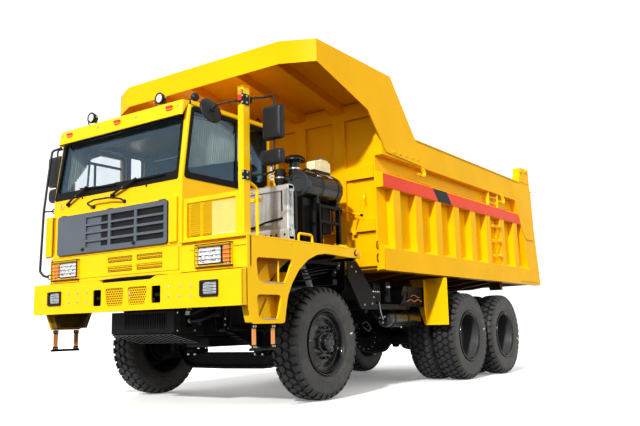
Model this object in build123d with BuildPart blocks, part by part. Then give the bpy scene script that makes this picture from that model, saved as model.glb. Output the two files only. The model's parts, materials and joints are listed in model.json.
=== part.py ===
"""Six-wheel mining dump truck with an offset cab, as separate named pieces.

Frame: +X forward, +Y to the truck's left, +Z up, millimetres. The origin is on
the ground under the middle of the truck's bounding box. Lengths along the truck
are written from the front axle, and the helpers below move them to that origin.
"""
from build123d import *
import math
import os

os.makedirs("parts", exist_ok=True)

# ---------------------------------------------------------------- driving dimensions
FRONT_AXLE_X = 2693.0        # front axle, ahead of the origin
REAR_AXLES = (-3700.0, -5200.0)   # from the front axle
WHEEL_Z = 685.0

TYRE_R = 685.0               # 14.00-25 tyre
TYRE_HALF = 187.5
RIM_R = 382.0
SEAT_R = 329.5               # rim barrel, half a millimetre inside the tyre's bead
FRONT_WHEEL_Y = 1412.5
DUAL_Y = 1427.5              # plane between twin tyres
DUAL_HALF = 215.0

KING_PIN_Y = 1050.0
KING_PIN_R = 40.0
SPINDLE_R = 70.0
REAR_SPINDLE_R = 90.0
RUNNING = 0.05               # radial clearance of a turning fit

RAIL_IN, RAIL_OUT = 360.0, 460.0
RAIL_LOW, RAIL_TOP = 930.0, 1250.0

CAB_LEFT, CAB_RIGHT = 760.0, -1620.0
CAB_REAR, CAB_FRONT = 50.0, 1640.0
CAB_FLOOR = 1500.0
CAB_SILL = 2600.0
CAB_EAVE = 3490.0
CAB_TOP = 3540.0
CAB_BROW = 1515.0            # front edge of the eave, above the leaning windscreen
CAB_WALL = 55.0

SIDE_Y = 1775.0              # outer face of fenders and bumper ends
DECK_TOP = 1850.0

BED_PIVOT = (-6150.0, 1420.0)
BED_Y = 1800.0               # outer face of the bed's side boxes
BED_SKIN = 1660.0            # inner face of the bed's side skin
BED_FRONT = -1120.0
BED_LOW, BED_TOP = 1610.0, 3600.0
FLOOR_LOW, FLOOR_TOP = 1640.0, 1680.0

HOIST_FOOT = (-870.0, 1050.0)
HOIST_EYE = (-900.0, 3300.0)
GATE_PIN = (-6820.0, 3880.0)


# ---------------------------------------------------------------- helpers
def bar(x0, x1, y0, y1, z0, z1, mode=Mode.ADD):
    """A rectangular bar between two corners."""
    with Locations((FRONT_AXLE_X + (x0 + x1) / 2, (y0 + y1) / 2, (z0 + z1) / 2)):
        Box(abs(x1 - x0), abs(y1 - y0), abs(z1 - z0), mode=mode)


def side_plate(points, y0, y1, mode=Mode.ADD):
    """A side outline of (x, z) points, from y0 to y1."""
    low, high = min(y0, y1), max(y0, y1)
    with BuildSketch(Plane.XZ.offset(-low)) as outline:
        with BuildLine():
            Polyline(*[(FRONT_AXLE_X + x, z) for x, z in points], close=True)
        make_face()
    extrude(outline.sketch, amount=-(high - low), mode=mode)


def front_plate(points, x0, x1, mode=Mode.ADD):
    """A front outline of (y, z) points, from x0 to x1."""
    low, high = min(x0, x1), max(x0, x1)
    with BuildSketch(Plane.YZ.offset(FRONT_AXLE_X + low)) as outline:
        with BuildLine():
            Polyline(*points, close=True)
        make_face()
    extrude(outline.sketch, amount=high - low, mode=mode)


def deck_plate(points, z0, z1, mode=Mode.ADD):
    """A plan outline of (x, y) points, from z0 to z1."""
    with BuildSketch(Plane.XY.offset(z0)) as outline:
        with BuildLine():
            Polyline(*[(FRONT_AXLE_X + x, y) for x, y in points], close=True)
        make_face()
    extrude(outline.sketch, amount=z1 - z0, mode=mode)


def turned(points, x, z, mode=Mode.ADD):
    """A section of (radius, y) points, turned about the crosswise axle at (x, z)."""
    centre = (FRONT_AXLE_X + x, 0, z)
    with BuildSketch(Plane(origin=centre)) as section:
        with BuildLine():
            Polyline(*points, close=True)
        make_face()
    revolve(section.sketch, axis=Axis(centre, (0, 1, 0)), mode=mode)


def rod(p0, p1, radius, mode=Mode.ADD):
    """A round bar between two points."""
    start = Vector(FRONT_AXLE_X + p0[0], p0[1], p0[2])
    run = Vector(FRONT_AXLE_X + p1[0], p1[1], p1[2]) - start
    with BuildSketch(Plane(origin=start, z_dir=run)) as disc:
        Circle(radius)
    extrude(disc.sketch, amount=run.length, mode=mode)


def pipe(points, radius, bend):
    """A bent round tube through (x, y, z) points."""
    with BuildLine() as path:
        FilletPolyline(*[(FRONT_AXLE_X + x, y, z) for x, y, z in points], radius=bend)
    line = path.wire()
    with BuildSketch(Plane(origin=line @ 0, z_dir=line % 0)) as disc:
        Circle(radius)
    sweep(disc.sketch, path=line)


def save(piece, name):
    piece.part.label = name
    export_step(piece.part, f"parts/{name}.step")


# ---------------------------------------------------------------- chassis
FRONT_CROSS = (960.0, -560.0)
REAR_CROSS = (-2150.0, -3000.0, -4450.0, -5700.0, -6220.0)
PADS = (-1500.0, -2500.0, -3500.0, -4500.0, -5500.0)
with BuildPart() as chassis_frame:
    for s in (1, -1):
        side_plate([(1640, 1120), (1640, RAIL_TOP), (-6280, RAIL_TOP), (-6280, 1010),
                    (-6100, RAIL_LOW), (1000, RAIL_LOW), (1130, 1120)], s * RAIL_IN, s * RAIL_OUT)
        for x in PADS:
            bar(x - 150, x + 150, s * 370, s * 450, RAIL_TOP, RAIL_TOP + 18)
    for x in FRONT_CROSS + REAR_CROSS:
        bar(x - 50, x + 50, -RAIL_IN, RAIL_IN, 980, 1200)
    # hoist foot: a cross plate with two ears and the pin
    bar(-1000, -740, -RAIL_IN, RAIL_IN, 930, 975)
    hx, hz = HOIST_FOOT
    for s in (1, -1):
        side_plate([(hx - 60, 975), (hx + 60, 975), (hx + 45, hz + 30), (hx, hz + 60), (hx - 45, hz + 30)],
                   s * 85, s * 115)
    rod((hx, -115, hz), (hx, 115, hz), 35)
    # bed pivot: ears each side of each bed stringer, with the pins
    px, pz = BED_PIVOT
    for s in (1, -1):
        for y0, y1 in ((300, 360), (460, 520)):
            side_plate([(px - 130, 1010), (px + 230, 1010), (px + 130, pz), (px + 50, pz + 85),
                        (px - 50, pz + 85), (px - 110, pz)], s * y0, s * y1)
        rod((px, s * 300, pz), (px, s * 520, pz), 45)
save(chassis_frame, "chassis_frame")

# outriggers that carry the deck, the fenders and the cab: x, top z
with BuildPart() as deck_supports:
    for x, z in ((1130.0, 1470.0), (-380.0, 1475.0)):
        for s in (1, -1):
            bar(x - 50, x + 50, s * 370, s * 450, RAIL_TOP, z)
            bar(x - 50, x + 50, s * 370, s * 1462, z - 70, z)
save(deck_supports, "deck_supports")

# towing lugs behind the bumper's two windows, and one at the tail
TOW_PIN_R = 26.0
with BuildPart() as tow_lugs:
    for s in (1, -1):
        bar(1600, 1755, s * 462, s * 560, 1255, 1295)
        bar(1560, 1600, s * 462, s * 560, 1150, 1295)
    bar(-6420, -6282, -80, 80, 1060, 1100)
    for x, y, z in ((1700, 508, 1275), (1700, -508, 1275), (-6362, 0, 1080)):
        with Locations((FRONT_AXLE_X + x, y, z)):
            Cylinder(TOW_PIN_R, 60, mode=Mode.SUBTRACT)
save(tow_lugs, "tow_lugs")

with BuildPart() as engine_block:
    bar(-450, 850, -330, 330, 800, 1440)
save(engine_block, "engine_block")

# ---------------------------------------------------------------- front axle and steering
with BuildPart() as front_axle:
    front_plate([(-720, 360), (720, 360), (900, 590), (1050, 590), (1050, 780), (840, 780), (700, 570),
                 (-700, 570), (-840, 780), (-1050, 780), (-1050, 590), (-900, 590)], -95, 95)
    for s in (1, -1):
        with Locations((FRONT_AXLE_X, s * KING_PIN_Y, 685)):
            Cylinder(85, 200)
        with Locations((FRONT_AXLE_X, s * KING_PIN_Y, 685)):
            Cylinder(KING_PIN_R + RUNNING, 200, mode=Mode.SUBTRACT)
        # leaf spring and its hangers on the rail
        side_plate([(-780, 860), (-780, 900), (-120, 745), (120, 745), (780, 900), (780, 860), (500, 730),
                    (130, 570), (-130, 570), (-500, 730)], s * 545, s * 655)
        for x in (-780.0, 780.0):
            bar(x - 45, x + 45, s * RAIL_OUT, s * 655, 850, 1040)
save(front_axle, "front_axle")

ARM_X = -300.0
for name, s in (("left", 1), ("right", -1)):
    with BuildPart() as knuckle:
        for z0, z1 in ((500, 580), (790, 870)):
            bar(-80, 80, s * 970, s * 1200, z0, z1)
        bar(-90, 90, s * 1140, s * 1200, 500, 870)
        rod((0, s * KING_PIN_Y, 500), (0, s * KING_PIN_Y, 870), KING_PIN_R)
        rod((0, s * 1190, WHEEL_Z), (0, s * 1440, WHEEL_Z), SPINDLE_R)
        turned([(0, s * 1200), (215, s * 1200), (215, s * 1225), (0, s * 1225)], 0, WHEEL_Z)
        side_plate([(-60, 505), (-60, 560), (ARM_X, 560), (ARM_X, 520)], s * 1020, s * 1080)
        rod((ARM_X, s * KING_PIN_Y, 505), (ARM_X, s * KING_PIN_Y, 575), 30)
    save(knuckle, f"steering_knuckle_{name}")

with BuildPart() as tie_rod:
    rod((ARM_X, -985, 540), (ARM_X, 985, 540), 24)
save(tie_rod, "tie_rod")

# ---------------------------------------------------------------- rear axles and springs
with BuildPart() as rear_axles:
    for x in REAR_AXLES:
        turned([(0, -1360), (REAR_SPINDLE_R, -1360), (REAR_SPINDLE_R, -1010), (125, -1000), (125, -330), (250, -200),
                (290, 0), (250, 200), (125, 330), (125, 1000), (REAR_SPINDLE_R, 1010), (REAR_SPINDLE_R, 1360),
                (0, 1360)], x, WHEEL_Z)
    rod((-456, 0, 870), (REAR_AXLES[0] + 200, 0, 700), 48)
    rod((REAR_AXLES[0] - 200, 0, 700), (REAR_AXLES[1] + 200, 0, 700), 48)
save(rear_axles, "rear_axles")

with BuildPart() as rear_springs:
    mid = sum(REAR_AXLES) / 2
    for s in (1, -1):
        side_plate([(mid + 900, 812), (mid + 900, 850), (mid + 180, 1090), (mid - 180, 1090), (mid - 900, 850),
                    (mid - 900, 812), (mid - 500, 830), (mid - 160, 920), (mid + 160, 920), (mid + 500, 830)],
                   s * 545, s * 665)
        side_plate([(mid - 200, 860), (mid + 200, 860), (mid + 130, 1180), (mid - 130, 1180)], s * 462, s * 545)
    rod((mid, -545, 870), (mid, 545, 870), 60)
save(rear_springs, "rear_springs")

# ---------------------------------------------------------------- wheels
# tyre section: radius, half width there
TYRE_SECTION = ((330, 150), (385, 155), (450, 178), (510, TYRE_HALF), (600, 184), (655, 172), (678, 155),
                (TYRE_R, 120))
# front rim section about the tyre's middle: radius, distance outward
FRONT_RIM = ((SPINDLE_R + RUNNING, -130), (SPINDLE_R + RUNNING, 45), (0, 45), (0, 232), (80, 232), (90, 152),
             (165, 152), (165, 122), (215, 122), (300, 78), (300, 178), (RIM_R, 178), (RIM_R, 162),
             (SEAT_R, 158), (SEAT_R, -158), (RIM_R, -162), (RIM_R, -178), (300, -178), (300, 45), (228, 88),
             (228, -120), (208, -120), (208, 70), (165, 70), (165, -130))
# twin rim section about the plane between the tyres: radius, distance outward
DUAL_RIM = ((REAR_SPINDLE_R + RUNNING, -150), (REAR_SPINDLE_R + RUNNING, -40), (0, -40), (0, 175), (95, 175),
            (120, 160), (150, 60), (205, 50), (205, 22), (300, 70), (300, 393), (RIM_R, 393), (RIM_R, 377),
            (SEAT_R, 373), (SEAT_R, 57), (RIM_R, 53), (RIM_R, 37), (318, 37), (318, -37), (RIM_R, -37),
            (RIM_R, -53), (SEAT_R, -57), (SEAT_R, -373), (RIM_R, -377), (RIM_R, -393), (300, -393),
            (300, -60), (205, -15), (150, -15), (150, -150))


def tyre_ring(x, y):
    half = list(TYRE_SECTION)
    turned([(r, y - w) for r, w in half] + [(r, y + w) for r, w in reversed(half)], x, WHEEL_Z)


# wheel sets: name, side, axle x, twin
WHEELS = (
    ("front_left", 1, 0.0, False),
    ("front_right", -1, 0.0, False),
    ("middle_left", 1, REAR_AXLES[0], True),
    ("middle_right", -1, REAR_AXLES[0], True),
    ("rear_left", 1, REAR_AXLES[1], True),
    ("rear_right", -1, REAR_AXLES[1], True),
)
for name, side, x, twin in WHEELS:
    with BuildPart() as tyre:
        for y in ((DUAL_Y - DUAL_HALF, DUAL_Y + DUAL_HALF) if twin else (FRONT_WHEEL_Y,)):
            tyre_ring(x, side * y)
    save(tyre, f"{name}_tyre{'s' if twin else ''}")
    with BuildPart() as rim:
        mid_y = DUAL_Y if twin else FRONT_WHEEL_Y
        turned([(r, side * (mid_y + d)) for r, d in (DUAL_RIM if twin else FRONT_RIM)], x, WHEEL_Z)
    save(rim, f"{name}_rim{'s' if twin else ''}")

# ---------------------------------------------------------------- bumper and front cooler
with BuildPart() as front_bumper:
    front_plate([(-SIDE_Y, 1110), (SIDE_Y, 1110), (SIDE_Y, 1487), (500, 1487), (410, 1450), (-410, 1450),
                 (-500, 1487), (-SIDE_Y, 1487)], 1765, 1780)
    for s in (1, -1):
        bar(1765, 1696, s * (SIDE_Y - 15), s * SIDE_Y, 1110, 1487)
        bar(1765, 1640, s * 345, s * 475, 1125, 1245)
    bar(1765, 1700, -SIDE_Y, SIDE_Y, 1110, 1122)
    for s in (1, -1):
        bar(1750, 1790, s * 430, s * 586, 1180, 1376, Mode.SUBTRACT)
save(front_bumper, "front_bumper")

with BuildPart() as cooler_box:
    bar(1150, 1530, -540, 540, 846, 1100)
    bar(1180, 1470, -480, 480, 880, 1120, Mode.SUBTRACT)
    bar(1490, 1510, -470, 470, 860, 1100)
    for s in (1, -1):
        bar(1250, 1350, s * 470, s * 540, 1090, 1120)
        bar(1250, 1350, s * 462, s * 540, 1090, 1160)
    side_plate([(1530, 846), (1530, 836), (1120, 730), (1100, 730), (1100, 740), (1150, 850)], -520, 520)
save(cooler_box, "cooler_box")

# ---------------------------------------------------------------- deck and fenders
# outline of the fender's side plate: x, z
FENDER = ((1684, 1832), (-546, 1832), (-525, 1733), (-229, 1724), (101, 1735), (271, 1737), (437, 1712),
          (622, 1640), (802, 1512), (934, 1352), (1011, 1211), (1046, 1060), (1070, 937), (1100, 922),
          (1606, 919), (1684, 1127))
STEP_WINDOWS = (
    ((1540, 1608), (916, 1622), (1058, 1373), (1507, 1362)),
    ((1538, 1218), (1123, 1221), (1189, 974), (1505, 975)),
)


# the cab side's fender stands closer in, ends at the bumper's top in front and is cut higher at the step's rear
RIGHT_FENDER_Y = 1650.0
FENDER_RIGHT = ((1636, 1832),) + FENDER[1:11] + ((1062, 1105), (1150, 937), (1180, 922), (1606, 919), (1684, 1127),
                                                 (1684, 1478), (1636, 1490))
POD = 130.0                  # depth of the lower step box


def fender_side(s, outline, out, back):
    side_plate(outline, s * (out - 15), s * out)
    for window in STEP_WINDOWS:
        side_plate(window, s * (out - 30), s * (out + 20), Mode.SUBTRACT)
    # treads, the walls behind the steps and the plates that close the wheel side
    bar(1060, 1520, s * 1480, s * (out - 15), 1338, 1350)
    bar(1180 + back, 1520, s * (out - POD), s * (out - 15), 950, 962)
    bar(1090, 1640, s * 1468, s * 1480, 1338, 1500)
    side_plate([(1640, 1350), (1640, 1150), (1575, 950), (1260, 950), (1130, 1120), (1090, 1300), (1090, 1350)],
               s * (out - POD), s * (out - POD + 12))
    side_plate([(1075 + back, 940), (1090 + back, 940), (1060, 1215), (995, 1330), (978, 1325), (1040, 1205)],
               s * (out - POD), s * (out - 15))
    side_plate([(995, 1330), (840, 1500), (822, 1500), (960, 1350), (978, 1325)], s * 1480, s * (out - 15))


with BuildPart() as left_deck:
    fender_side(1, FENDER, SIDE_Y, 0)
    bar(1620, 1640, 766, SIDE_Y, 1510, DECK_TOP)
    deck_plate([(1684, SIDE_Y), (-546, SIDE_Y), (-546, 770), (1684, 770)], DECK_TOP - 18, DECK_TOP)
    for y in (820, 1300):
        bar(-540, 1620, y, y + 30, 1740, DECK_TOP - 18)
    bar(-520, 1170, 790, 850, 1560, 1740)
    pipe([(430, 1700, 1845), (430, 1700, 1950), (700, 1700, 1950), (700, 1700, 1845)], 16, 60)
save(left_deck, "left_deck")

with BuildPart() as right_fender:
    fender_side(-1, FENDER_RIGHT, RIGHT_FENDER_Y, 70)
    deck_plate([(1636, -RIGHT_FENDER_Y), (-546, -RIGHT_FENDER_Y), (-546, -1560), (30, -1560), (30, -1626),
                (1636, -1626)], 1820, 1832)
    bar(-540, 30, -1635, -1605, 1760, 1820)
    bar(-540, -500, -1635, -1560, 1740, 1820)
save(right_fender, "right_fender")

with BuildPart() as hanging_steps:
    for s, y in ((1, 1740), (-1, 1615)):
        for x in (1552, 1240):
            bar(x - 32, x + 32, s * (y - 5), s * (y + 5), 660, 919)
        bar(1197, 1610, s * (y - 25), s * (y + 25), 644, 680)
save(hanging_steps, "hanging_steps")

# ---------------------------------------------------------------- cab
CAB_OUTLINE = ((CAB_REAR, CAB_FLOOR), (CAB_FRONT, CAB_FLOOR), (CAB_FRONT, CAB_SILL), (CAB_BROW, CAB_EAVE),
               (CAB_REAR, CAB_EAVE))
DOOR = (480.0, 1430.0, 1850.0, 3430.0)      # opening: rear x, front x, low z, high z
SIDE_WINDOW = ((1590, 2612), (1478, 3440), (1440, 3465), (130, 3465), (130, 2740), (200, 2700), (670, 2612))
SIDE_PANE = ((1587, 2615), (1475, 3438), (1438, 3462), (133, 3462), (133, 2742), (201, 2703), (671, 2615))
HINGE_X, HINGE_Y, HINGE_R = 1438.0, -1652.0, 12.0
HINGE_Z = (2050.0, 2480.0)
with BuildPart() as cab_shell:
    side_plate(CAB_OUTLINE, CAB_RIGHT, CAB_LEFT)
    side_plate([(CAB_REAR + CAB_WALL, CAB_FLOOR + 60), (CAB_FRONT - CAB_WALL, CAB_FLOOR + 60),
                (CAB_FRONT - CAB_WALL, CAB_SILL), (CAB_BROW - CAB_WALL, CAB_EAVE + 20),
                (CAB_REAR + CAB_WALL, CAB_EAVE + 20)],
               CAB_RIGHT + CAB_WALL, CAB_LEFT - CAB_WALL, Mode.SUBTRACT)
    # windscreen, side window, rear window, pane behind the door, door
    bar(1400, 1700, -1560, 680, 2625, 3440, Mode.SUBTRACT)
    side_plate(SIDE_WINDOW, 700, 800, Mode.SUBTRACT)
    bar(0, 200, -1350, 500, 2700, 3250, Mode.SUBTRACT)
    bar(140, 400, CAB_RIGHT - 20, CAB_RIGHT + 70, 2720, DOOR[3], Mode.SUBTRACT)
    bar(DOOR[0], DOOR[1], CAB_RIGHT - 20, CAB_RIGHT + 70, DOOR[2], DOOR[3], Mode.SUBTRACT)
    # the cab's half of the door hinges: two lugs and a pin each
    for z in HINGE_Z:
        for z0, z1 in ((z - 60, z - 25), (z + 25, z + 60)):
            bar(1424, 1500, HINGE_Y - 14, CAB_RIGHT, z0, z1)
        rod((HINGE_X, HINGE_Y, z - 60), (HINGE_X, HINGE_Y, z + 60), HINGE_R)
save(cab_shell, "cab_shell")

with BuildPart() as cab_roof:
    bar(30, 1500, CAB_RIGHT - 10, CAB_LEFT + 10, CAB_EAVE, CAB_TOP)
    side_plate([(1480, CAB_EAVE), (1480, CAB_TOP), (1600, 3535), (1630, 3352), (1604, 3350), (1560, 3430),
                (CAB_BROW + 6, CAB_EAVE)], -1576, 735)
save(cab_roof, "cab_roof")

with BuildPart() as cab_glass:
    side_plate([(1612, 2627), (1620, 2627), (1507, 3438), (1499, 3438)], -1558, 678)
    side_plate(SIDE_PANE, 738, 744)
    bar(70, 76, -1345, 495, 2705, 3245)
    bar(142, 398, CAB_RIGHT + 20, CAB_RIGHT + 26, 2722, DOOR[3] - 2)
save(cab_glass, "cab_glass")

with BuildPart() as cab_door:
    gap = 8.0
    bar(DOOR[0] + gap, DOOR[1] - gap, CAB_RIGHT + 3, CAB_RIGHT + 48, DOOR[2] + gap, DOOR[3] - gap)
    bar(DOOR[0] + 80, DOOR[1] - 80, CAB_RIGHT - 20, CAB_RIGHT + 70, 2620, DOOR[3] - 70, Mode.SUBTRACT)
    # the door's half of the hinges: a knuckle on a joggled strap each
    for z in HINGE_Z:
        bar(1290, HINGE_X, HINGE_Y - 8, HINGE_Y + 12, z - 22, z + 22)
        bar(1290, 1400, HINGE_Y + 6, CAB_RIGHT + 3, z - 22, z + 22)
        rod((HINGE_X, HINGE_Y, z - 22), (HINGE_X, HINGE_Y, z + 22), 22)
        rod((HINGE_X, HINGE_Y, z - 24), (HINGE_X, HINGE_Y, z + 24), HINGE_R + RUNNING, Mode.SUBTRACT)
save(cab_door, "cab_door")

with BuildPart() as cab_door_glass:
    bar(DOOR[0] + 81, DOOR[1] - 81, CAB_RIGHT + 20, CAB_RIGHT + 26, 2621, DOOR[3] - 71)
save(cab_door_glass, "cab_door_glass")

with BuildPart() as grille_panel:
    bar(CAB_FRONT, 1672, -1475, 560, 1858, 2362)
save(grille_panel, "grille_panel")

with BuildPart() as driver_seat:
    bar(450, 950, -950, -450, 2080, 2200)
    bar(450, 570, -950, -450, 2200, 2900)
    bar(550, 850, -850, -550, CAB_FLOOR + 60, 2080)
save(driver_seat, "driver_seat")

with BuildPart() as dashboard:
    side_plate([(1580, 1900), (1580, 2560), (1380, 2560), (1280, 2400), (1380, 1900)], -1560, 700)
    rod((1330, -700, 2400), (1172, -700, 2652), 25)
    with Locations(Plane(origin=(FRONT_AXLE_X + 1175, -700, 2650), z_dir=(-0.53, 0, 0.85))):
        Torus(215, 17)
        Box(420, 40, 20)
save(dashboard, "dashboard")

# ---------------------------------------------------------------- front furniture
with BuildPart() as mesh_panel:
    bar(1585, 1615, 765, 1635, DECK_TOP, 2340)
    bar(1580, 1596, 820, 1560, 1893, 2285, Mode.SUBTRACT)
    bar(1604, 1620, 820, 1560, 1893, 2285, Mode.SUBTRACT)
save(mesh_panel, "mesh_panel")

with BuildPart() as headlamps:
    for s in (1, -1):
        bar(CAB_FRONT, 1695, s * 1035, s * 1546, 1540, 1790)
        bar(1780, 1812, s * 1205, s * 1457, 1218, 1390)
save(headlamps, "headlamps")

with BuildPart() as mirror_post:
    bar(1560, 1660, 1636, 1716, DECK_TOP, 3470)
    pipe([(1430, 1700, DECK_TOP), (1430, 1700, 2370), (1560, 1700, 2425)], 18, 60)
save(mirror_post, "mirror_post")

with BuildPart() as mirrors:
    # left: two arms behind the post, the tall and the wide mirror on one upright
    pipe([(1545, 1690, 3345), (1400, 1760, 3385), (1400, 1930, 3385), (1400, 1930, 2540), (1400, 1800, 2520),
          (1545, 1690, 2500)], 11, 45)
    bar(1390, 1470, 1796, 2064, 2882, 3262)
    bar(1390, 1470, 1777, 2062, 2606, 2774)
    # left: round mirror on its own arm
    pipe([(1675, 1676, 3290), (1740, 1600, 3310), (1792, 1400, 3260)], 11, 45)
    with Locations(Plane(origin=(FRONT_AXLE_X + 1790, 1360, 3230), z_dir=(0.75, 0.55, 0.35))):
        Cylinder(150, 40)
    # right: grab rail at the cab's corner, and two mirrors on one upright
    pipe([(1530, -1640, 3350), (1600, -1750, 3310), (1722, -1750, 1680), (1660, -1655, 1600)], 15, 60)
    pipe([(1500, -1632, 3400), (1390, -1760, 3385), (1390, -1930, 3385), (1390, -1930, 2620), (1390, -1800, 2600),
          (1500, -1632, 2600)], 11, 45)
    bar(1385, 1465, -2064, -1796, 2866, 3290)
    bar(1385, 1465, -2062, -1777, 2640, 2846)
save(mirrors, "mirrors")

# ---------------------------------------------------------------- deck equipment
with BuildPart() as radiator:
    bar(750, 880, 900, 1755, DECK_TOP, 2515)
save(radiator, "radiator")

with BuildPart() as air_cleaner:
    rod((-690, 1250, 2678), (-60, 1250, 2678), 200)
    rod((-70, 1250, 2678), (100, 1250, 2678), 172)
    for x in (-590.0, -140.0):
        bar(x - 25, x + 25, 1090, 1400, DECK_TOP, 2560)
    rod((20, 1150, 2740), (20, 1150, 3010), 75)
    rod((20, 1150, 3000), (20, 1150, 3080), 150)
save(air_cleaner, "air_cleaner")

with BuildPart() as expansion_tank:
    bar(-700, -330, 1080, 1225, 2930, 3120)
    bar(-600, -420, 1100, 1200, 2882, 2930)
save(expansion_tank, "expansion_tank")

with BuildPart() as service_rack:
    for x in (-545.0, -100.0):
        bar(x - 20, x + 20, 1410, 1460, DECK_TOP, 2430)
    for z in (1870.0, 2205.0, 2405.0):
        bar(-545, -100, 1415, 1455, z - 20, z + 20)
save(service_rack, "service_rack")

# ---------------------------------------------------------------- side equipment
with BuildPart() as fuel_tank:
    side_plate([(-1000, 760), (-2600, 760), (-2600, 1340), (-1000, 1340)], -1560, -700)
    for x in (-1350.0, -2250.0):
        bar(x - 40, x + 40, -710, -RAIL_OUT, 1000, 1200)
save(fuel_tank, "fuel_tank")

with BuildPart() as tank_rack:
    side_plate([(-700, 1738), (-930, 1738), (-1400, 1268), (-1406, 1100), (-1000, 1100), (-700, 1500)], 1440, 1452)
    bar(-2860, -2170, 1000, 1452, 1170, 1450)
    rod((-2800, 1330, 970), (-1780, 1330, 970), 117)
    for x in (-1250.0, -2350.0):
        bar(x - 40, x + 40, RAIL_OUT, 1440, 1100, 1180)
        bar(x - 40, x + 40, 1280, 1380, 1050, 1110)
    bar(-2350, -1250, 1380, 1440, 1100, 1180)
save(tank_rack, "tank_rack")

with BuildPart() as stone_guards:
    for s in (1, -1):
        bar(-2875, -2865, s * 1450, s * 1842, 866, 1580)
        bar(-2865, -2800, s * 1470, s * 1480, 900, 1560)
        bar(-2950, -2875, s * RAIL_OUT, s * 1600, 1150, 1230)
save(stone_guards, "stone_guards")

# ---------------------------------------------------------------- dump bed
STRINGER = (370.0, 450.0)
STRINGER_TOP = 1520.0
RECESS_Y = 240.0             # half width of the hoist's recess, outside
BOLSTERS = (-1950.0, -2500.0, -3250.0, -3950.0, -4650.0, -5350.0, -5900.0, -6600.0, -7100.0)
with BuildPart() as bed_floor:
    bar(-7230, -1200, -BED_SKIN, BED_SKIN, FLOOR_LOW, FLOOR_TOP)
    bar(-1720, -1100, -RECESS_Y, RECESS_Y, 1500, 1700, Mode.SUBTRACT)
save(bed_floor, "bed_floor")

with BuildPart() as bed_bolsters:
    for x in BOLSTERS:
        low = STRINGER_TOP if x > -6300 else BED_LOW
        bar(x - 50, x + 50, -BED_SKIN, BED_SKIN, low, FLOOR_LOW)
save(bed_bolsters, "bed_bolsters")

px, pz = BED_PIVOT
with BuildPart() as bed_stringers:
    for s in (1, -1):
        bar(px, -1240, s * STRINGER[0], s * STRINGER[1], 1275, STRINGER_TOP)
        rod((px, s * STRINGER[0], pz), (px, s * STRINGER[1], pz), 145)
        bar(px - 145, px, s * STRINGER[0], s * STRINGER[1], pz, STRINGER_TOP)
        rod((px, s * 360, pz), (px, s * 460, pz), 45 + RUNNING, Mode.SUBTRACT)
save(bed_stringers, "bed_stringers")

RIB_FIRST, RIB_PITCH, RIB_COUNT, RIB_WIDE = -1496.0, 653.5, 8, 200.0
SKIN_OUT = BED_SKIN + 25
# long boxes along the skin: rear end x, low z, high z outside, high z at the skin
SIDE_BOXES = ((-7400.0, BED_LOW, 1908.0, 1975.0), (-6600.0, 2755.0, 2945.0, 3008.0), (-7400.0, 3205.0, BED_TOP, BED_TOP))
# the sloping rear end and the post in front of it: x, z
REAR_END = ((-7290, 1500), (-7290, BED_LOW), (-7084, 2853), (-7020, BED_TOP), (-7020, 3700), (-7600, 3700), (-7600, 1500))
REAR_POST = ((-6690, 1900), (-6420, 2700), (-6141, 3215), (-7400, 3215), (-7400, 1900))
TAIL_PLATE = ((-6060, 3500), (-6141, 3215), (-6414, 2661), (-6609, 2483), (-7000, 2490), (-7062, 2853), (-7010, 3500))
with BuildPart() as bed_sides:
    for s in (1, -1):
        side_plate([(BED_FRONT, BED_LOW), (-7400, BED_LOW), (-7400, BED_TOP), (BED_FRONT, BED_TOP)],
                   s * BED_SKIN, s * SKIN_OUT)
        for rear, low, high, skin in SIDE_BOXES:
            front_plate([(s * SKIN_OUT, low), (s * BED_Y, low), (s * BED_Y, high), (s * SKIN_OUT, skin)],
                        rear, BED_FRONT)
        side_plate(REAR_POST, s * SKIN_OUT, s * BED_Y)
        for i in range(RIB_COUNT):
            x = RIB_FIRST - RIB_PITCH * i
            bar(x - RIB_WIDE / 2, x + RIB_WIDE / 2, s * SKIN_OUT, s * (BED_Y - 5), 1905, 2760)
        side_plate(REAR_END, s * (BED_SKIN - 20), s * (BED_Y + 20), Mode.SUBTRACT)
        side_plate(TAIL_PLATE, s * BED_Y, s * (BED_Y + 12))
        # gate hinge block on the top rail, with its pin
        side_plate([(-6450, BED_TOP), (-7000, BED_TOP), (-6985, 3932), (-6500, 3905), (-6490, 3745), (-6450, 3740)],
                   s * 1665, s * BED_Y)
        rod((GATE_PIN[0], s * 1605, GATE_PIN[1]), (GATE_PIN[0], s * 1700, GATE_PIN[1]), 30)
save(bed_sides, "bed_sides")

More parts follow.
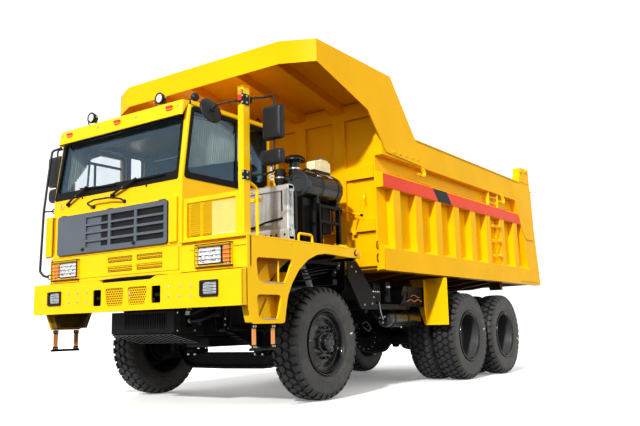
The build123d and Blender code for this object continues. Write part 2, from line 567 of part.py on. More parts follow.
WALL_RIBS = (-1108.0, -421.0, 421.0, 1108.0)
RIB_HALF = 95.0
WALL_BEAMS = ((2160.0, 2330.0), (2900.0, 3080.0))     # low z, high z
BEAM_TOP = 3774.0
WALL_TOP = 4000.0
with BuildPart() as bed_front_wall:
    bar(-1200, -1150, -BED_SKIN, BED_SKIN, FLOOR_TOP, WALL_TOP)
    for s in (1, -1):
        bar(-1200, BED_FRONT, s * BED_SKIN, s * (BED_Y - 1), BED_TOP, WALL_TOP)
    for low, high in WALL_BEAMS + ((BEAM_TOP, WALL_TOP),):
        bar(-1150, -1100, -BED_SKIN, BED_SKIN, low, high)
    for y in WALL_RIBS:
        bar(-1150, -1100, y - RIB_HALF, y + RIB_HALF, FLOOR_TOP, 3890)
        bar(-1150, -1100, y - RIB_HALF, y + RIB_HALF, 3890, WALL_TOP, Mode.SUBTRACT)
    bar(-1210, -1090, -RECESS_Y + 20, RECESS_Y - 20, FLOOR_TOP - 10, 3180, Mode.SUBTRACT)
    for s in (1, -1):
        side_plate([(-1160, FLOOR_TOP), (-1690, FLOOR_TOP), (-1180, 3200)], s * (RECESS_Y - 20), s * RECESS_Y)
        side_plate([(-1160, 3380), (-1160, 3200), (-960, 3200), (-840, 3260), (-840, 3350), (-960, 3380)],
                   s * 75, s * 105)
    side_plate([(-1690, FLOOR_TOP), (-1710, FLOOR_TOP), (-1200, 3230), (-1180, 3200)], -RECESS_Y, RECESS_Y)
save(bed_front_wall, "bed_front_wall")

# canopy: plan outlines x, y, and the side plates' outline x, z
SIDE_OUT = BED_Y + 15
CANOPY_PLAN = ((-1200, -SIDE_OUT), (410, -SIDE_OUT), (620, -1387), (620, 1387), (410, SIDE_OUT), (-1200, SIDE_OUT))
CANOPY_INNER = ((-1300, -BED_Y), (400, -BED_Y), (605, -1380), (605, 1380), (400, BED_Y), (-1300, BED_Y))
CANOPY_SIDE = ((405, 4092), (405, 4385), (-1400, 4385), (-2100, 3588), (-2367, 3214), (-1225, 3252), (-1125, 3365),
               (-1111, 3379), (-761, 3749))
CEILING = ((700, 4384), (-1200, 4026), (-1200, 4001), (700, 4359))
with BuildPart() as canopy_ceiling:
    deck_plate(CANOPY_INNER, 3900, 4500)
    side_plate(CEILING, -1900, 1900, Mode.INTERSECT)
with BuildPart() as bed_canopy:
    deck_plate(CANOPY_PLAN, 4092, 4385)
    deck_plate(CANOPY_INNER, 4000, 4500, Mode.SUBTRACT)
    bar(-1300, 395, -1900, 1900, 4000, 4500, Mode.SUBTRACT)
    for s in (1, -1):
        side_plate(CANOPY_SIDE, s * BED_Y, s * SIDE_OUT)
    add(canopy_ceiling.part)
    for y in WALL_RIBS:
        side_plate([(606, 4340), (-1100, 4022), (-1149, 4012), (-1149, 3891), (-1100, 3891), (606, 4212)],
                   y - RIB_HALF, y + RIB_HALF)
save(bed_canopy, "bed_canopy")

with BuildPart() as tailgate:
    side_plate([(-7000, 3560), (-7060, 2853), (-7232, 1690), (-7262, 1690), (-7100, 2850), (-7050, 3560)],
               -1645, 1645)
    for s in (1, -1):
        side_plate([(-6755, 3880), (-6790, 3940), (-6880, 3945), (-6985, 3780), (-7050, 3560), (-7020, 3400),
                    (-6990, 3500), (-6930, 3700), (-6800, 3815)], s * 1600, s * 1645)
        rod((GATE_PIN[0], s * 1590, GATE_PIN[1]), (GATE_PIN[0], s * 1650, GATE_PIN[1]), 30 + RUNNING, Mode.SUBTRACT)
save(tailgate, "tailgate")

# ---------------------------------------------------------------- telescopic hoist
fx, fz = HOIST_FOOT
ex, ez = HOIST_EYE
reach = math.hypot(ex - fx, ez - fz)
along = ((ex - fx) / reach, (ez - fz) / reach)


def hoist_point(d):
    """A point on the hoist's centre line, d above its foot pin."""
    return (fx + along[0] * d, 0, fz + along[1] * d)


# tubes: name, outer radius, bore radius, start and end above the foot pin
HOIST_TUBES = (
    ("hoist_barrel", 125.0, 112.0, 80.0, 1980.0),
    ("hoist_stage_1", 107.0, 94.0, 130.0, 2030.0),
    ("hoist_stage_2", 89.0, 76.0, 150.0, 2080.0),
    ("hoist_rod", 71.0, 0.0, 170.0, 2190.0),
)
for name, outer, bore, start, end in HOIST_TUBES:
    with BuildPart() as tube:
        rod(hoist_point(start), hoist_point(end), outer)
        if bore:
            rod(hoist_point(start + (40 if name == "hoist_barrel" else 0)), hoist_point(end + 5), bore, Mode.SUBTRACT)
        if name == "hoist_barrel":
            rod((fx, -80, fz), (fx, 80, fz), 68)
            rod(hoist_point(10), hoist_point(start + 5), 68)
            rod((fx, -90, fz), (fx, 90, fz), 35 + RUNNING, Mode.SUBTRACT)
        if name == "hoist_rod":
            rod((ex, -50, ez), (ex, 50, ez), 62)
            rod((ex, -66, ez), (ex, 66, ez), 32)
    save(tube, name)
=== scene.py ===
import json
import math
import random

import bmesh
import bpy
from mathutils import Matrix, Vector

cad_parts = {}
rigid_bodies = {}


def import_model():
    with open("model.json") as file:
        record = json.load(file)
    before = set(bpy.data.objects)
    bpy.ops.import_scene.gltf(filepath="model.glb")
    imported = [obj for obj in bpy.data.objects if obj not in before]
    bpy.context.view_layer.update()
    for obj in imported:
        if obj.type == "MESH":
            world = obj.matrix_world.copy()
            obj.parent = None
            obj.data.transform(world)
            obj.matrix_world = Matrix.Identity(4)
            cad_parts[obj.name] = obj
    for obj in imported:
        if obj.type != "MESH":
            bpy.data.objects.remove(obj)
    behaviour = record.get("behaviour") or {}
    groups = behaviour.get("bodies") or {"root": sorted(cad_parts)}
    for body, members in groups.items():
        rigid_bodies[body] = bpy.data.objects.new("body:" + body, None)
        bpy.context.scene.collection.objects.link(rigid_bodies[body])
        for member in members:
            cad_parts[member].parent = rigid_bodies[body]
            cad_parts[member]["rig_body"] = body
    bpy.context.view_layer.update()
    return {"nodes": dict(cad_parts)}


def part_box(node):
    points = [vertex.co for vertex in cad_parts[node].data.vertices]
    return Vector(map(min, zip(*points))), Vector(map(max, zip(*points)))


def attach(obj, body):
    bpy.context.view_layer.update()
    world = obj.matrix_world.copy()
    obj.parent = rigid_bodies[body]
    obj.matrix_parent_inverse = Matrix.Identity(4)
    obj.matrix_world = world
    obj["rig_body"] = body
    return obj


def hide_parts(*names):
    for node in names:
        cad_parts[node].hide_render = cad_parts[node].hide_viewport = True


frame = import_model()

_lo, _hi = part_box("front_left_tyre")
FX = (_lo.x + _hi.x) / 2          # front axle; every x below is measured from it
RNG = random.Random(7)
SCENE = bpy.context.scene


# ------------------------------------------------------------------ materials
class Nodes:
    """A small wrapper that adds and links nodes of one material."""

    def __init__(self, name):
        self.mat = bpy.data.materials.new(name)
        self.mat.use_nodes = True
        self.tree = self.mat.node_tree
        self.bsdf = self.tree.nodes["Principled BSDF"]
        self.out = self.tree.nodes["Material Output"]

    def add(self, kind, **inputs):
        n = self.tree.nodes.new(kind)
        for k, v in inputs.items():
            if k in n.inputs:
                n.inputs[k].default_value = v
            else:
                setattr(n, k, v)
        return n

    def link(self, a, b):
        self.tree.links.new(a, b)

    def coords(self):
        return self.add("ShaderNodeTexCoord").outputs["Object"]

    def noise(self, scale, detail=3.0, rough=0.55, vector=None, stretch=None):
        n = self.add("ShaderNodeTexNoise", Scale=scale, Detail=detail, Roughness=rough)
        v = vector or self.coords()
        if stretch:
            m = self.add("ShaderNodeMapping")
            m.inputs["Scale"].default_value = stretch
            self.link(v, m.inputs["Vector"])
            v = m.outputs["Vector"]
        self.link(v, n.inputs["Vector"])
        return n.outputs["Fac"]

    def ramp(self, fac, stops):
        r = self.add("ShaderNodeValToRGB")
        e = r.color_ramp.elements
        while len(e) < len(stops):
            e.new(0.5)
        for item, (p, c) in zip(e, stops):
            item.position = p
            item.color = (*c, 1.0) if len(c) == 3 else c
        self.link(fac, r.inputs["Fac"])
        return r.outputs["Color"]

    def span(self, fac, a, b, lo=0.3, hi=0.7):
        m = self.add("ShaderNodeMapRange")
        for k, v in (("From Min", lo), ("From Max", hi), ("To Min", a), ("To Max", b)):
            m.inputs[k].default_value = v
        self.link(fac, m.inputs["Value"])
        return m.outputs["Result"]

    def bump(self, height, strength, distance=0.002, normal=None):
        b = self.add("ShaderNodeBump", Strength=strength, Distance=distance)
        self.link(height, b.inputs["Height"])
        if normal is not None:
            self.link(normal, b.inputs["Normal"])
        return b.outputs["Normal"]

    def set(self, **values):
        for k, v in values.items():
            self.bsdf.inputs[k.replace("_", " ")].default_value = v


def shade(c, k):
    return tuple(min(1.0, x * k) for x in c)


def simple(name, base, rough=0.4, metal=0.0, coat=0.0, coat_rough=0.05, vary=0.10, scale=6.0, fine=220.0, bump=0.06,
           depth=0.0006, spread=0.08, spec=0.5, stretch=None, dust=0.0, dust_colour=(0.42, 0.38, 0.32)):
    """Painted, moulded or bare surface: slow colour drift, a fine grain in the normal and patchy roughness."""
    m = Nodes(name)
    slow = m.noise(scale, 4.0, stretch=stretch)
    colour = m.ramp(slow, [(0.30, shade(base, 1 - vary)), (0.70, shade(base, 1 + vary))])
    if dust:
        mask = m.noise(scale * 2.3, 6.0, 0.7)
        mix = m.add("ShaderNodeMix", data_type="RGBA")
        m.link(m.span(mask, 0.0, dust, 0.45, 0.75), mix.inputs["Factor"])
        m.link(colour, mix.inputs["A"])
        mix.inputs["B"].default_value = (*dust_colour, 1)
        colour = mix.outputs["Result"]
    m.link(colour, m.bsdf.inputs["Base Color"])
    grain = m.noise(fine, 2.0)
    m.link(m.span(m.noise(scale * 3, 5.0), rough - spread * rough, rough + spread), m.bsdf.inputs["Roughness"])
    m.link(m.bump(grain, bump, depth), m.bsdf.inputs["Normal"])
    m.set(Metallic=metal, Coat_Weight=coat, Coat_Roughness=coat_rough, Specular_IOR_Level=spec)
    return m.mat


YELLOW = (0.92, 0.545, 0.004)
MAT = {}
MAT["yellow"] = simple("paint_yellow", YELLOW, 0.36, coat=0.05, coat_rough=0.10, spec=0.16, vary=0.035, scale=1.7, fine=90,
                       bump=0.05, depth=0.0008, spread=0.07)
MAT["yellow_bed"] = simple("paint_yellow_plate", (0.90, 0.485, 0.0010), 0.40, coat=0.02, coat_rough=0.14, spec=0.09, vary=0.05, scale=1.1,
                           fine=40, bump=0.10, depth=0.0014, spread=0.08)
# darker orange copy of the yellow paint: painted shade, with a dust mask on top
MAT["yellow_in"] = simple("paint_yellow_worn_inside", (0.78, 0.36, 0.003), 0.48, coat=0.02, spec=0.12, coat_rough=0.3, vary=0.10,
                          scale=1.5, fine=60, bump=0.12, depth=0.0015, dust=0.22)
MAT["black"] = simple("paint_chassis_black", (0.0035, 0.0035, 0.0038), 0.45, coat=0.03, spec=0.16, vary=0.25, scale=5, fine=150, bump=0.10)
MAT["black_cast"] = simple("cast_iron_black", (0.005, 0.005, 0.0053), 0.55, spec=0.18, vary=0.3, scale=7, fine=260, bump=0.35, depth=0.001)
MAT["gloss_black"] = simple("paint_gloss_black", (0.010, 0.010, 0.011), 0.24, coat=0.30, coat_rough=0.06, spec=0.3, vary=0.2, fine=70, bump=0.03)
MAT["plastic"] = simple("moulded_plastic_black", (0.013, 0.0135, 0.015), 0.38, spec=0.3, vary=0.12, scale=9, fine=900, bump=0.12, depth=0.0004)
MAT["plastic_matte"] = simple("moulded_plastic_matte", (0.014, 0.0145, 0.016), 0.6, spec=0.25, vary=0.15, scale=9, fine=700, bump=0.25, depth=0.0005)
MAT["seal"] = simple("rubber_seal", (0.004, 0.004, 0.0045), 0.5, spec=0.2, vary=0.2, fine=500, bump=0.1)
MAT["hose"] = simple("rubber_hose", (0.007, 0.007, 0.0075), 0.45, spec=0.25, vary=0.25, scale=12, fine=300, bump=0.15)
MAT["grille"] = simple("paint_grille_blue_grey", (0.085, 0.100, 0.125), 0.38, coat=0.2, coat_rough=0.2, vary=0.06, scale=3, fine=260, bump=0.06)
MAT["mesh_dark"] = simple("wire_mesh_dark", (0.020, 0.020, 0.022), 0.4, metal=0.3, vary=0.2, fine=300, bump=0.1)
MAT["steel"] = simple("zinc_plated_steel", (0.50, 0.47, 0.40), 0.32, metal=1.0, vary=0.12, scale=14, fine=400, bump=0.10)
MAT["chrome"] = simple("ground_chrome_rod", (0.74, 0.75, 0.77), 0.12, metal=1.0, vary=0.04, scale=4, fine=240, bump=0.03, stretch=(1, 1, 0.1))
MAT["alu"] = simple("brushed_aluminium", (0.50, 0.52, 0.54), 0.42, metal=0.55, vary=0.07, scale=5, fine=180, bump=0.10, stretch=(14, 14, 1))
MAT["alu_matte"] = simple("cast_aluminium", (0.46, 0.48, 0.50), 0.5, metal=0.45, vary=0.10, scale=9, fine=380, bump=0.3, depth=0.0008)
MAT["red"] = simple("stripe_film_red", (0.80, 0.070, 0.022), 0.34, coat=0.05, spec=0.2, vary=0.05, scale=0.9, fine=70, bump=0.04)
# flat black film: the stripe's black panel and seams, and also black sheets set behind holes and gaps as painted shade
MAT["black_film_and_painted_shade"] = simple("stripe_film_black", (0.004, 0.004, 0.005), 0.32, coat=0.05, spec=0.2, vary=0.15, scale=1.5, fine=70, bump=0.04)
MAT["strap"] = simple("webbing_strap_orange", (0.86, 0.36, 0.12), 0.7, vary=0.08, scale=18, fine=90, bump=0.4, depth=0.001, stretch=(60, 60, 6))
MAT["tread"] = simple("stamped_tread_plate", (0.36, 0.37, 0.40), 0.42, metal=0.8, vary=0.15, scale=30, fine=120, bump=0.6, depth=0.002)
MAT["cream"] = simple("blow_moulded_cream", (0.80, 0.74, 0.48), 0.42, vary=0.05, scale=8, fine=500, bump=0.08)
MAT["bright_film"] = simple("white_tank_shell", (0.93, 0.91, 0.80), 0.5, vary=0.04, scale=6, fine=300, bump=0.1)
# dark olive copy of the yellow paint: painted shade for the shaded inner faces of the right step box
MAT["yellow_painted_deep_shade"] = simple("paint_yellow_in_grime", (0.16, 0.105, 0.010), 0.55, spec=0.15, vary=0.22, scale=9, fine=240, bump=0.2)
# very dark copy of the yellow paint: painted shade for the bed's underside and bearers
MAT["yellow_under"] = simple("paint_yellow_under_grime", (0.22, 0.090, 0.002), 0.6, spec=0.10, vary=0.2, scale=2.5, fine=200, bump=0.15)
MAT["cover_grey"] = simple("moulded_cover_slate", (0.038, 0.043, 0.048), 0.5, spec=0.3, vary=0.1, scale=8, fine=600, bump=0.15)
# grey, lighter than the rims' black paint: painted bounce light in the rim's shaded inside
MAT["rim_painted_bounce_light"] = simple("rim_disc_grey_black", (0.055, 0.056, 0.058), 0.42, spec=0.4, vary=0.15, scale=8, fine=300, bump=0.15)
MAT["blue"] = simple("cap_blue", (0.02, 0.10, 0.42), 0.35, vary=0.08, fine=400, bump=0.1)
MAT["headlining"] = simple("cab_lining_grey", (0.030, 0.060, 0.090), 0.85, vary=0.08, scale=10, fine=900, bump=0.3)
MAT["floor_mat"] = simple("cab_floor_rubber", (0.025, 0.026, 0.028), 0.7, vary=0.2, scale=12, fine=300, bump=0.4)
MAT["orange_lens"] = None


def lens(name, colour, rough=0.12, ribs=160.0, trans=0.35, weight=0.6):
    """Ribbed lamp lens over a bright reflector."""
    m = Nodes(name)
    wave = m.add("ShaderNodeTexWave", wave_type="BANDS", bands_direction="Y", Scale=ribs / 20)
    m.link(m.coords(), wave.inputs["Vector"])
    tone = m.ramp(wave.outputs["Fac"], [(0.2, shade(colour, 0.95)), (0.8, shade(colour, 1.05))])
    m.link(tone, m.bsdf.inputs["Base Color"])
    m.link(m.bump(wave.outputs["Fac"], 0.35, 0.002), m.bsdf.inputs["Normal"])
    m.link(m.span(m.noise(30), rough, rough * 2), m.bsdf.inputs["Roughness"])
    m.set(Coat_Weight=0.5, Coat_Roughness=0.04, IOR=1.49)
    return m.mat


MAT["amber"] = lens("lens_amber", (0.95, 0.28, 0.015))
MAT["red_lens"] = lens("lens_red", (0.70, 0.02, 0.012))
MAT["clear_lens"] = lens("lens_clear_white", (0.66, 0.68, 0.70), rough=0.05, ribs=60.0)


def reflector():
    m = Nodes("lamp_reflector")
    v = m.add("ShaderNodeTexVoronoi", Scale=28.0)
    m.link(m.coords(), v.inputs["Vector"])
    tone = m.ramp(v.outputs["Distance"], [(0.1, (0.55, 0.57, 0.60)), (0.6, (0.92, 0.93, 0.95))])
    m.link(tone, m.bsdf.inputs["Base Color"])
    m.link(m.bump(v.outputs["Distance"], 0.5, 0.01), m.bsdf.inputs["Normal"])
    m.link(m.span(m.noise(12), 0.08, 0.18), m.bsdf.inputs["Roughness"])
    m.set(Metallic=1.0)
    return m.mat


MAT["reflector"] = reflector()


def glass(name, tint, alpha_like=0.85, rough=0.02):
    """Thin tinted pane: mostly clear, with a reflecting face."""
    m = Nodes(name)
    t = m.tree
    clear = m.add("ShaderNodeBsdfTransparent")
    tone = m.ramp(m.noise(1.3, 2.0), [(0.3, shade(tint, 0.94)), (0.7, shade(tint, 1.04))])
    m.link(tone, clear.inputs["Color"])
    gloss = m.add("ShaderNodeBsdfGlossy")
    gloss.inputs["Color"].default_value = (0.55, 0.78, 1.0, 1)
    m.link(m.span(m.noise(5.0), rough, rough * 2.2), gloss.inputs["Roughness"])
    face = m.add("ShaderNodeLayerWeight", Blend=0.5)
    mix = m.add("ShaderNodeMixShader")
    m.link(m.ramp(face.outputs["Facing"], [(0.0, (0.06, 0.06, 0.06)), (0.6, (0.08, 0.08, 0.08)), (0.85, (0.14, 0.14, 0.14)), (1.0, (0.6, 0.6, 0.6))]), mix.inputs["Fac"])
    m.link(clear.outputs["BSDF"], mix.inputs[1])
    m.link(gloss.outputs["BSDF"], mix.inputs[2])
    m.link(mix.outputs["Shader"], m.out.inputs["Surface"])
    t.nodes.remove(m.bsdf)
    return m.mat


MAT["glass"] = glass("cab_glass_tinted", (0.955, 0.978, 0.985))
MAT["lamp_glass"] = glass("lamp_cover_glass", (0.93, 0.95, 0.96))


def mirror_face():
    m = Nodes("mirror_silver")
    m.link(m.ramp(m.noise(4.0), [(0.3, (0.60, 0.62, 0.64)), (0.7, (0.88, 0.90, 0.92))]), m.bsdf.inputs["Base Color"])
    m.link(m.span(m.noise(9.0), 0.02, 0.06), m.bsdf.inputs["Roughness"])
    m.set(Metallic=1.0)
    return m.mat


MAT["mirror"] = mirror_face()


def tyre_rubber(name, base, dusty):
    m = Nodes(name)
    c = m.coords()
    slow = m.noise(3.5, 5.0, 0.65, c)
    tone = m.ramp(slow, [(0.30, shade(base, 0.72)), (0.72, shade(base, 1.25))])
    mask = m.noise(9.0, 6.0, 0.7, c)
    mix = m.add("ShaderNodeMix", data_type="RGBA")
    m.link(m.span(mask, 0.0, dusty, 0.42, 0.74), mix.inputs["Factor"])
    m.link(tone, mix.inputs["A"])
    mix.inputs["B"].default_value = (0.16, 0.145, 0.125, 1)
    m.link(mix.outputs["Result"], m.bsdf.inputs["Base Color"])
    m.link(m.span(slow, 0.50, 0.68), m.bsdf.inputs["Roughness"])
    grain = m.noise(420.0, 3.0, 0.6, c)
    m.link(m.bump(grain, 0.30, 0.0008), m.bsdf.inputs["Normal"])
    m.set(Specular_IOR_Level=0.42)
    return m.mat


MAT["tyre_side"] = tyre_rubber("tyre_sidewall_rubber", (0.042, 0.041, 0.040), 0.30)
MAT["tyre_tread"] = tyre_rubber("tyre_tread_rubber", (0.026, 0.027, 0.029), 0.10)
# near-black rubber: painted shade for groove floors and the rims' hand holes
MAT["groove_and_hole_painted_shade"] = tyre_rubber("tyre_groove_rubber", (0.0035, 0.0035, 0.004), 0.02)


def cloth(name, base, weave, rough=0.85, sheen=0.4, bump=0.5, folds=None):
    m = Nodes(name)
    c = m.coords()
    a = m.add("ShaderNodeTexWave", wave_type="BANDS", bands_direction="X", Scale=weave)
    b = m.add("ShaderNodeTexWave", wave_type="BANDS", bands_direction="Z", Scale=weave)
    m.link(c, a.inputs["Vector"])
    m.link(c, b.inputs["Vector"])
    mul = m.add("ShaderNodeMath", operation="MULTIPLY")
    m.link(a.outputs["Fac"], mul.inputs[0])
    m.link(b.outputs["Fac"], mul.inputs[1])
    slow = m.noise(7.0, 4.0, 0.6, c)
    add = m.add("ShaderNodeMath", operation="MULTIPLY_ADD")
    m.link(mul.outputs[0], add.inputs[0])
    add.inputs[1].default_value = 0.35
    m.link(slow, add.inputs[2])
    m.link(m.ramp(add.outputs[0], [(0.30, shade(base, 0.75)), (0.85, shade(base, 1.20))]), m.bsdf.inputs["Base Color"])
    m.link(m.bump(mul.outputs[0], bump, 0.0008), m.bsdf.inputs["Normal"])
    m.link(m.span(slow, rough - 0.08, min(1.0, rough + 0.08)), m.bsdf.inputs["Roughness"])
    m.set(Sheen_Weight=sheen, Sheen_Roughness=0.5)
    return m.mat


MAT["seat"] = cloth("seat_cloth_charcoal", (0.035, 0.037, 0.045), 160.0)
MAT["seat_wing"] = cloth("seat_cloth_wing_grey", (0.10, 0.11, 0.13), 160.0)
MAT["curtain"] = cloth("curtain_grey_green", (0.30, 0.34, 0.30), 220.0, sheen=0.3, bump=0.3)


def fins(name, base, pitch, direction="Y"):
    """Radiator core: close rows of thin fins, with painted shade darkening the gaps between them."""
    m = Nodes(name)
    c = m.coords()
    w = m.add("ShaderNodeTexWave", wave_type="BANDS", bands_direction=direction, Scale=pitch)
    m.link(c, w.inputs["Vector"])
    z = m.add("ShaderNodeTexWave", wave_type="BANDS", bands_direction="Z", Scale=pitch * 2.5)
    m.link(c, z.inputs["Vector"])
    mul = m.add("ShaderNodeMath", operation="MULTIPLY")
    m.link(w.outputs["Fac"], mul.inputs[0])
    m.link(z.outputs["Fac"], mul.inputs[1])
    # troughs of the fin bands drop to 15% of the base colour: painted shade in the gaps
    m.link(m.ramp(mul.outputs[0], [(0.05, shade(base, 0.15)), (0.55, base)]), m.bsdf.inputs["Base Color"])
    m.link(m.bump(w.outputs["Fac"], 0.8, 0.004), m.bsdf.inputs["Normal"])
    m.link(m.span(m.noise(6.0), 0.35, 0.5), m.bsdf.inputs["Roughness"])
    m.set(Metallic=0.6)
    return m.mat


MAT["fins"] = fins("radiator_core_fins", (0.30, 0.31, 0.33), 42.0)
MAT["fins_dark"] = fins("cooler_core_fins", (0.060, 0.062, 0.066), 34.0)
del MAT["orange_lens"]


# ------------------------------------------------------------------ mesh pieces
class Piece:
    """Collects parts of one object, then makes it. Coordinates are metres from the front axle's ground point."""

    def __init__(self, name, body, slot=None):
        self.name, self.body, self.slot = name, body, slot
        self.v, self.f, self.m, self.smooth, self.mats = [], [], [], [], []

    def index(self, mat):
        if mat not in self.mats:
            self.mats.append(mat)
        return self.mats.index(mat)

    def add(self, part, mat, smooth=True):
        verts, faces = part
        base = len(self.v)
        self.v.extend(Vector(p) for p in verts)
        i = self.index(mat)
        for face in faces:
            self.f.append([base + k for k in face])
            self.m.append(i)
            self.smooth.append(smooth)
        return self

    def done(self, replaces=(), angle=40.0, weighted=True, fixed_x=False):
        me = bpy.data.meshes.new(self.name)
        off = Vector((0.0 if fixed_x else FX, 0, 0))
        me.from_pydata([tuple(p + off) for p in self.v], [], self.f)
        me.validate()
        for k in self.mats:
            me.materials.append(MAT[k])
        if len(me.polygons) == len(self.m):
            me.polygons.foreach_set("material_index", self.m)
            me.polygons.foreach_set("use_smooth", self.smooth)
        else:
            print("faces dropped in", self.name, len(self.m) - len(me.polygons))
        me.set_sharp_from_angle(angle=math.radians(angle))
        ob = bpy.data.objects.new(self.name, me)
        SCENE.collection.objects.link(ob)
        if weighted:
            weigh(ob)
        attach(ob, self.body)
        for node in replaces:
            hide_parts(node)
        return ob


def weigh(ob):
    mod = ob.modifiers.new("weigh", "WEIGHTED_NORMAL")
    mod.keep_sharp = True
    apply(ob)


def apply(ob):
    """Bakes an object's modifiers into its mesh."""
    bpy.context.view_layer.update()
    dg = bpy.context.evaluated_depsgraph_get()
    me = bpy.data.meshes.new_from_object(ob.evaluated_get(dg), preserve_all_data_layers=True, depsgraph=dg)
    old = ob.data
    ob.modifiers.clear()
    ob.data = me
    me.name = ob.name
    if old.users == 0:
        bpy.data.meshes.remove(old)


def block(lo, hi, c=0.003):
    """Box with chamfered edges."""
    lo, hi = Vector(lo), Vector(hi)
    c = min(c, *(0.45 * (b - a) for a, b in zip(lo, hi)))
    verts, index = [], {}
    for sx in (0, 1):
        for sy in (0, 1):
            for sz in (0, 1):
                s = (sx, sy, sz)
                for axis in range(3):
                    p = [(hi if s[i] else lo)[i] for i in range(3)]
                    for i in range(3):
                        if i != axis:
                            p[i] += -c if s[i] else c
                    index[s, axis] = len(verts)
                    verts.append(tuple(p))
    faces = []
    for axis in range(3):
        o = [i for i in range(3) if i != axis]
        for side in (0, 1):
            loop = []
            for a, b in ((0, 0), (1, 0), (1, 1), (0, 1)):
                s = [0, 0, 0]
                s[axis] = side
                s[o[0]], s[o[1]] = a, b
                loop.append(index[tuple(s), axis])
            faces.append(loop)
        for a in (0, 1):
            for b in (0, 1):
                s0, s1 = [0, 0, 0], [0, 0, 0]
                s0[o[0]] = s1[o[0]] = a
                s0[o[1]] = s1[o[1]] = b
                s1[axis] = 1
                s0, s1 = tuple(s0), tuple(s1)
                faces.append([index[s0, o[0]], index[s0, o[1]], index[s1, o[1]], index[s1, o[0]]])
    for sx in (0, 1):
        for sy in (0, 1):
            for sz in (0, 1):
                faces.append([index[(sx, sy, sz), k] for k in range(3)])
    mid = (lo + hi) / 2
    out = []
    for f in faces:
        p = [Vector(verts[i]) for i in f]
        n = (p[1] - p[0]).cross(p[2] - p[0])
        centre = sum(p, Vector()) / len(p)
        out.append(f if n.dot(centre - mid) > 0 else f[::-1])
    return verts, out


def from_bmesh(bm):
    bm.verts.ensure_lookup_table()
    bm.verts.index_update()
    out = [v.co.copy() for v in bm.verts], [[v.index for v in f.verts] for f in bm.faces]
    bm.free()
    return out


def prism(points, plane, a0, a1, c=0.003, seg=1, holes=()):
    """Outline extruded between a0 and a1. plane "xz" runs along y, "yz" along x, "xy" along z."""
    def place(p, a):
        if plane == "xz":
            return (p[0], a, p[1])
        if plane == "yz":
            return (a, p[0], p[1])
        return (p[0], p[1], a)
    bm = bmesh.new()
    low = [bm.verts.new(place(p, a0)) for p in points]
    high = [bm.verts.new(place(p, a1)) for p in points]
    n = len(points)
    bm.faces.new(low)
    bm.faces.new(high[::-1])
    for i in range(n):
        j = (i + 1) % n
        bm.faces.new([low[i], low[j], high[j], high[i]])
    bmesh.ops.recalc_face_normals(bm, faces=bm.faces)
    if c:
        edges = [e for e in bm.edges if len(e.link_faces) == 2 and e.calc_face_angle(0) > math.radians(25)]
        bmesh.ops.bevel(bm, geom=edges, offset=c, segments=seg, profile=0.5, affect="EDGES", clamp_overlap=True)
    return from_bmesh(bm)


def frame_of(normal, up=(0, 0, 1)):
    z = Vector(normal).normalized()
    x = Vector(up).cross(z)
    if x.length < 1e-4:
        x = Vector((1, 0, 0)).cross(z)
        if x.length < 1e-4:
            x = Vector((0, 1, 0)).cross(z)
    x.normalize()
    y = z.cross(x)
    return Matrix((x, y, z)).transposed()


def lathe(profile, at, axis=(0, 0, 1), seg=32, start=0.0, closed=False):
    """Turned part. profile is (radius, distance along the axis) pairs."""
    m = frame_of(axis)
    at = Vector(at)
    verts, rings = [], []
    for r, t in profile:
        if r < 1e-6:
            rings.append([len(verts)])
            verts.append(at + m @ Vector((0, 0, t)))
        else:
            ring = []
            for i in range(seg):
                a = start + 2 * math.pi * i / seg
                ring.append(len(verts))
                verts.append(at + m @ Vector((r * math.cos(a), r * math.sin(a), t)))
            rings.append(ring)
    faces = []
    pairs = list(zip(rings, rings[1:]))
    if closed:
        pairs.append((rings[-1], rings[0]))
    for a, b in pairs:
        for i in range(seg):
            j = (i + 1) % seg
            if len(a) == 1 and len(b) == 1:
                continue
            if len(a) == 1:
                faces.append([a[0], b[j], b[i]])
            elif len(b) == 1:
                faces.append([a[i], a[j], b[0]])
            else:
                faces.append([a[i], a[j], b[j], b[i]])
    return verts, faces


def drum(at, axis, r, length, c=0.004, seg=28):
    """Solid cylinder from at along axis, with chamfered rims."""
    return lathe([(0, 0), (r - c, 0), (r, c), (r, length - c), (r - c, length), (0, length)], at, axis, seg)


def bolt(at, normal, r=0.011, h=0.008, washer=True):
    """Hexagon head with a domed top, on a washer."""
    w = 0.0025 if washer else 0.0
    rings = []
    if washer:
        rings.append(lathe([(r * 1.45, 0), (r * 1.45, w), (0, w)], at, normal, 16))
    rings.append(lathe([(r, w), (r, w + h * 0.8), (r * 0.82, w + h), (0, w + h)], at, normal, 6))
    return join(*rings)


def join(*parts):
    verts, faces = [], []
    for v, f in parts:
        base = len(verts)
        verts.extend(v)
        faces.extend([[base + i for i in face] for face in f])
    return verts, faces


def moved(part, matrix=None, offset=(0, 0, 0)):
    v, f = part
    off = Vector(offset)
    return [(matrix @ Vector(p) if matrix else Vector(p)) + off for p in v], f


def mirrored(part):
    v, f = part
    return [Vector((p[0], -p[1], p[2])) for p in v], [face[::-1] for face in f]


def path_points(points, bend, steps=6):
    """Runs joined by round corners."""
    pts = [Vector(p) for p in points]
    if bend <= 0 or len(pts) < 3:
        return pts
    out = [pts[0]]
    for a, b, c in zip(pts, pts[1:], pts[2:]):
        u, w = (a - b), (c - b)
        if u.length < 1e-6 or w.length < 1e-6:
            continue
        turn = math.pi - u.angle(w)
        if turn < 0.02:
            out.append(b)
            continue
        cut = min(bend * math.tan(turn / 2), 0.45 * u.length, 0.45 * w.length)
        p, q = b + u.normalized() * cut, b + w.normalized() * cut
        for i in range(steps + 1):
            t = i / steps
            out.append((1 - t) ** 2 * p + 2 * t * (1 - t) * b + t * t * q)
    out.append(pts[-1])
    return out


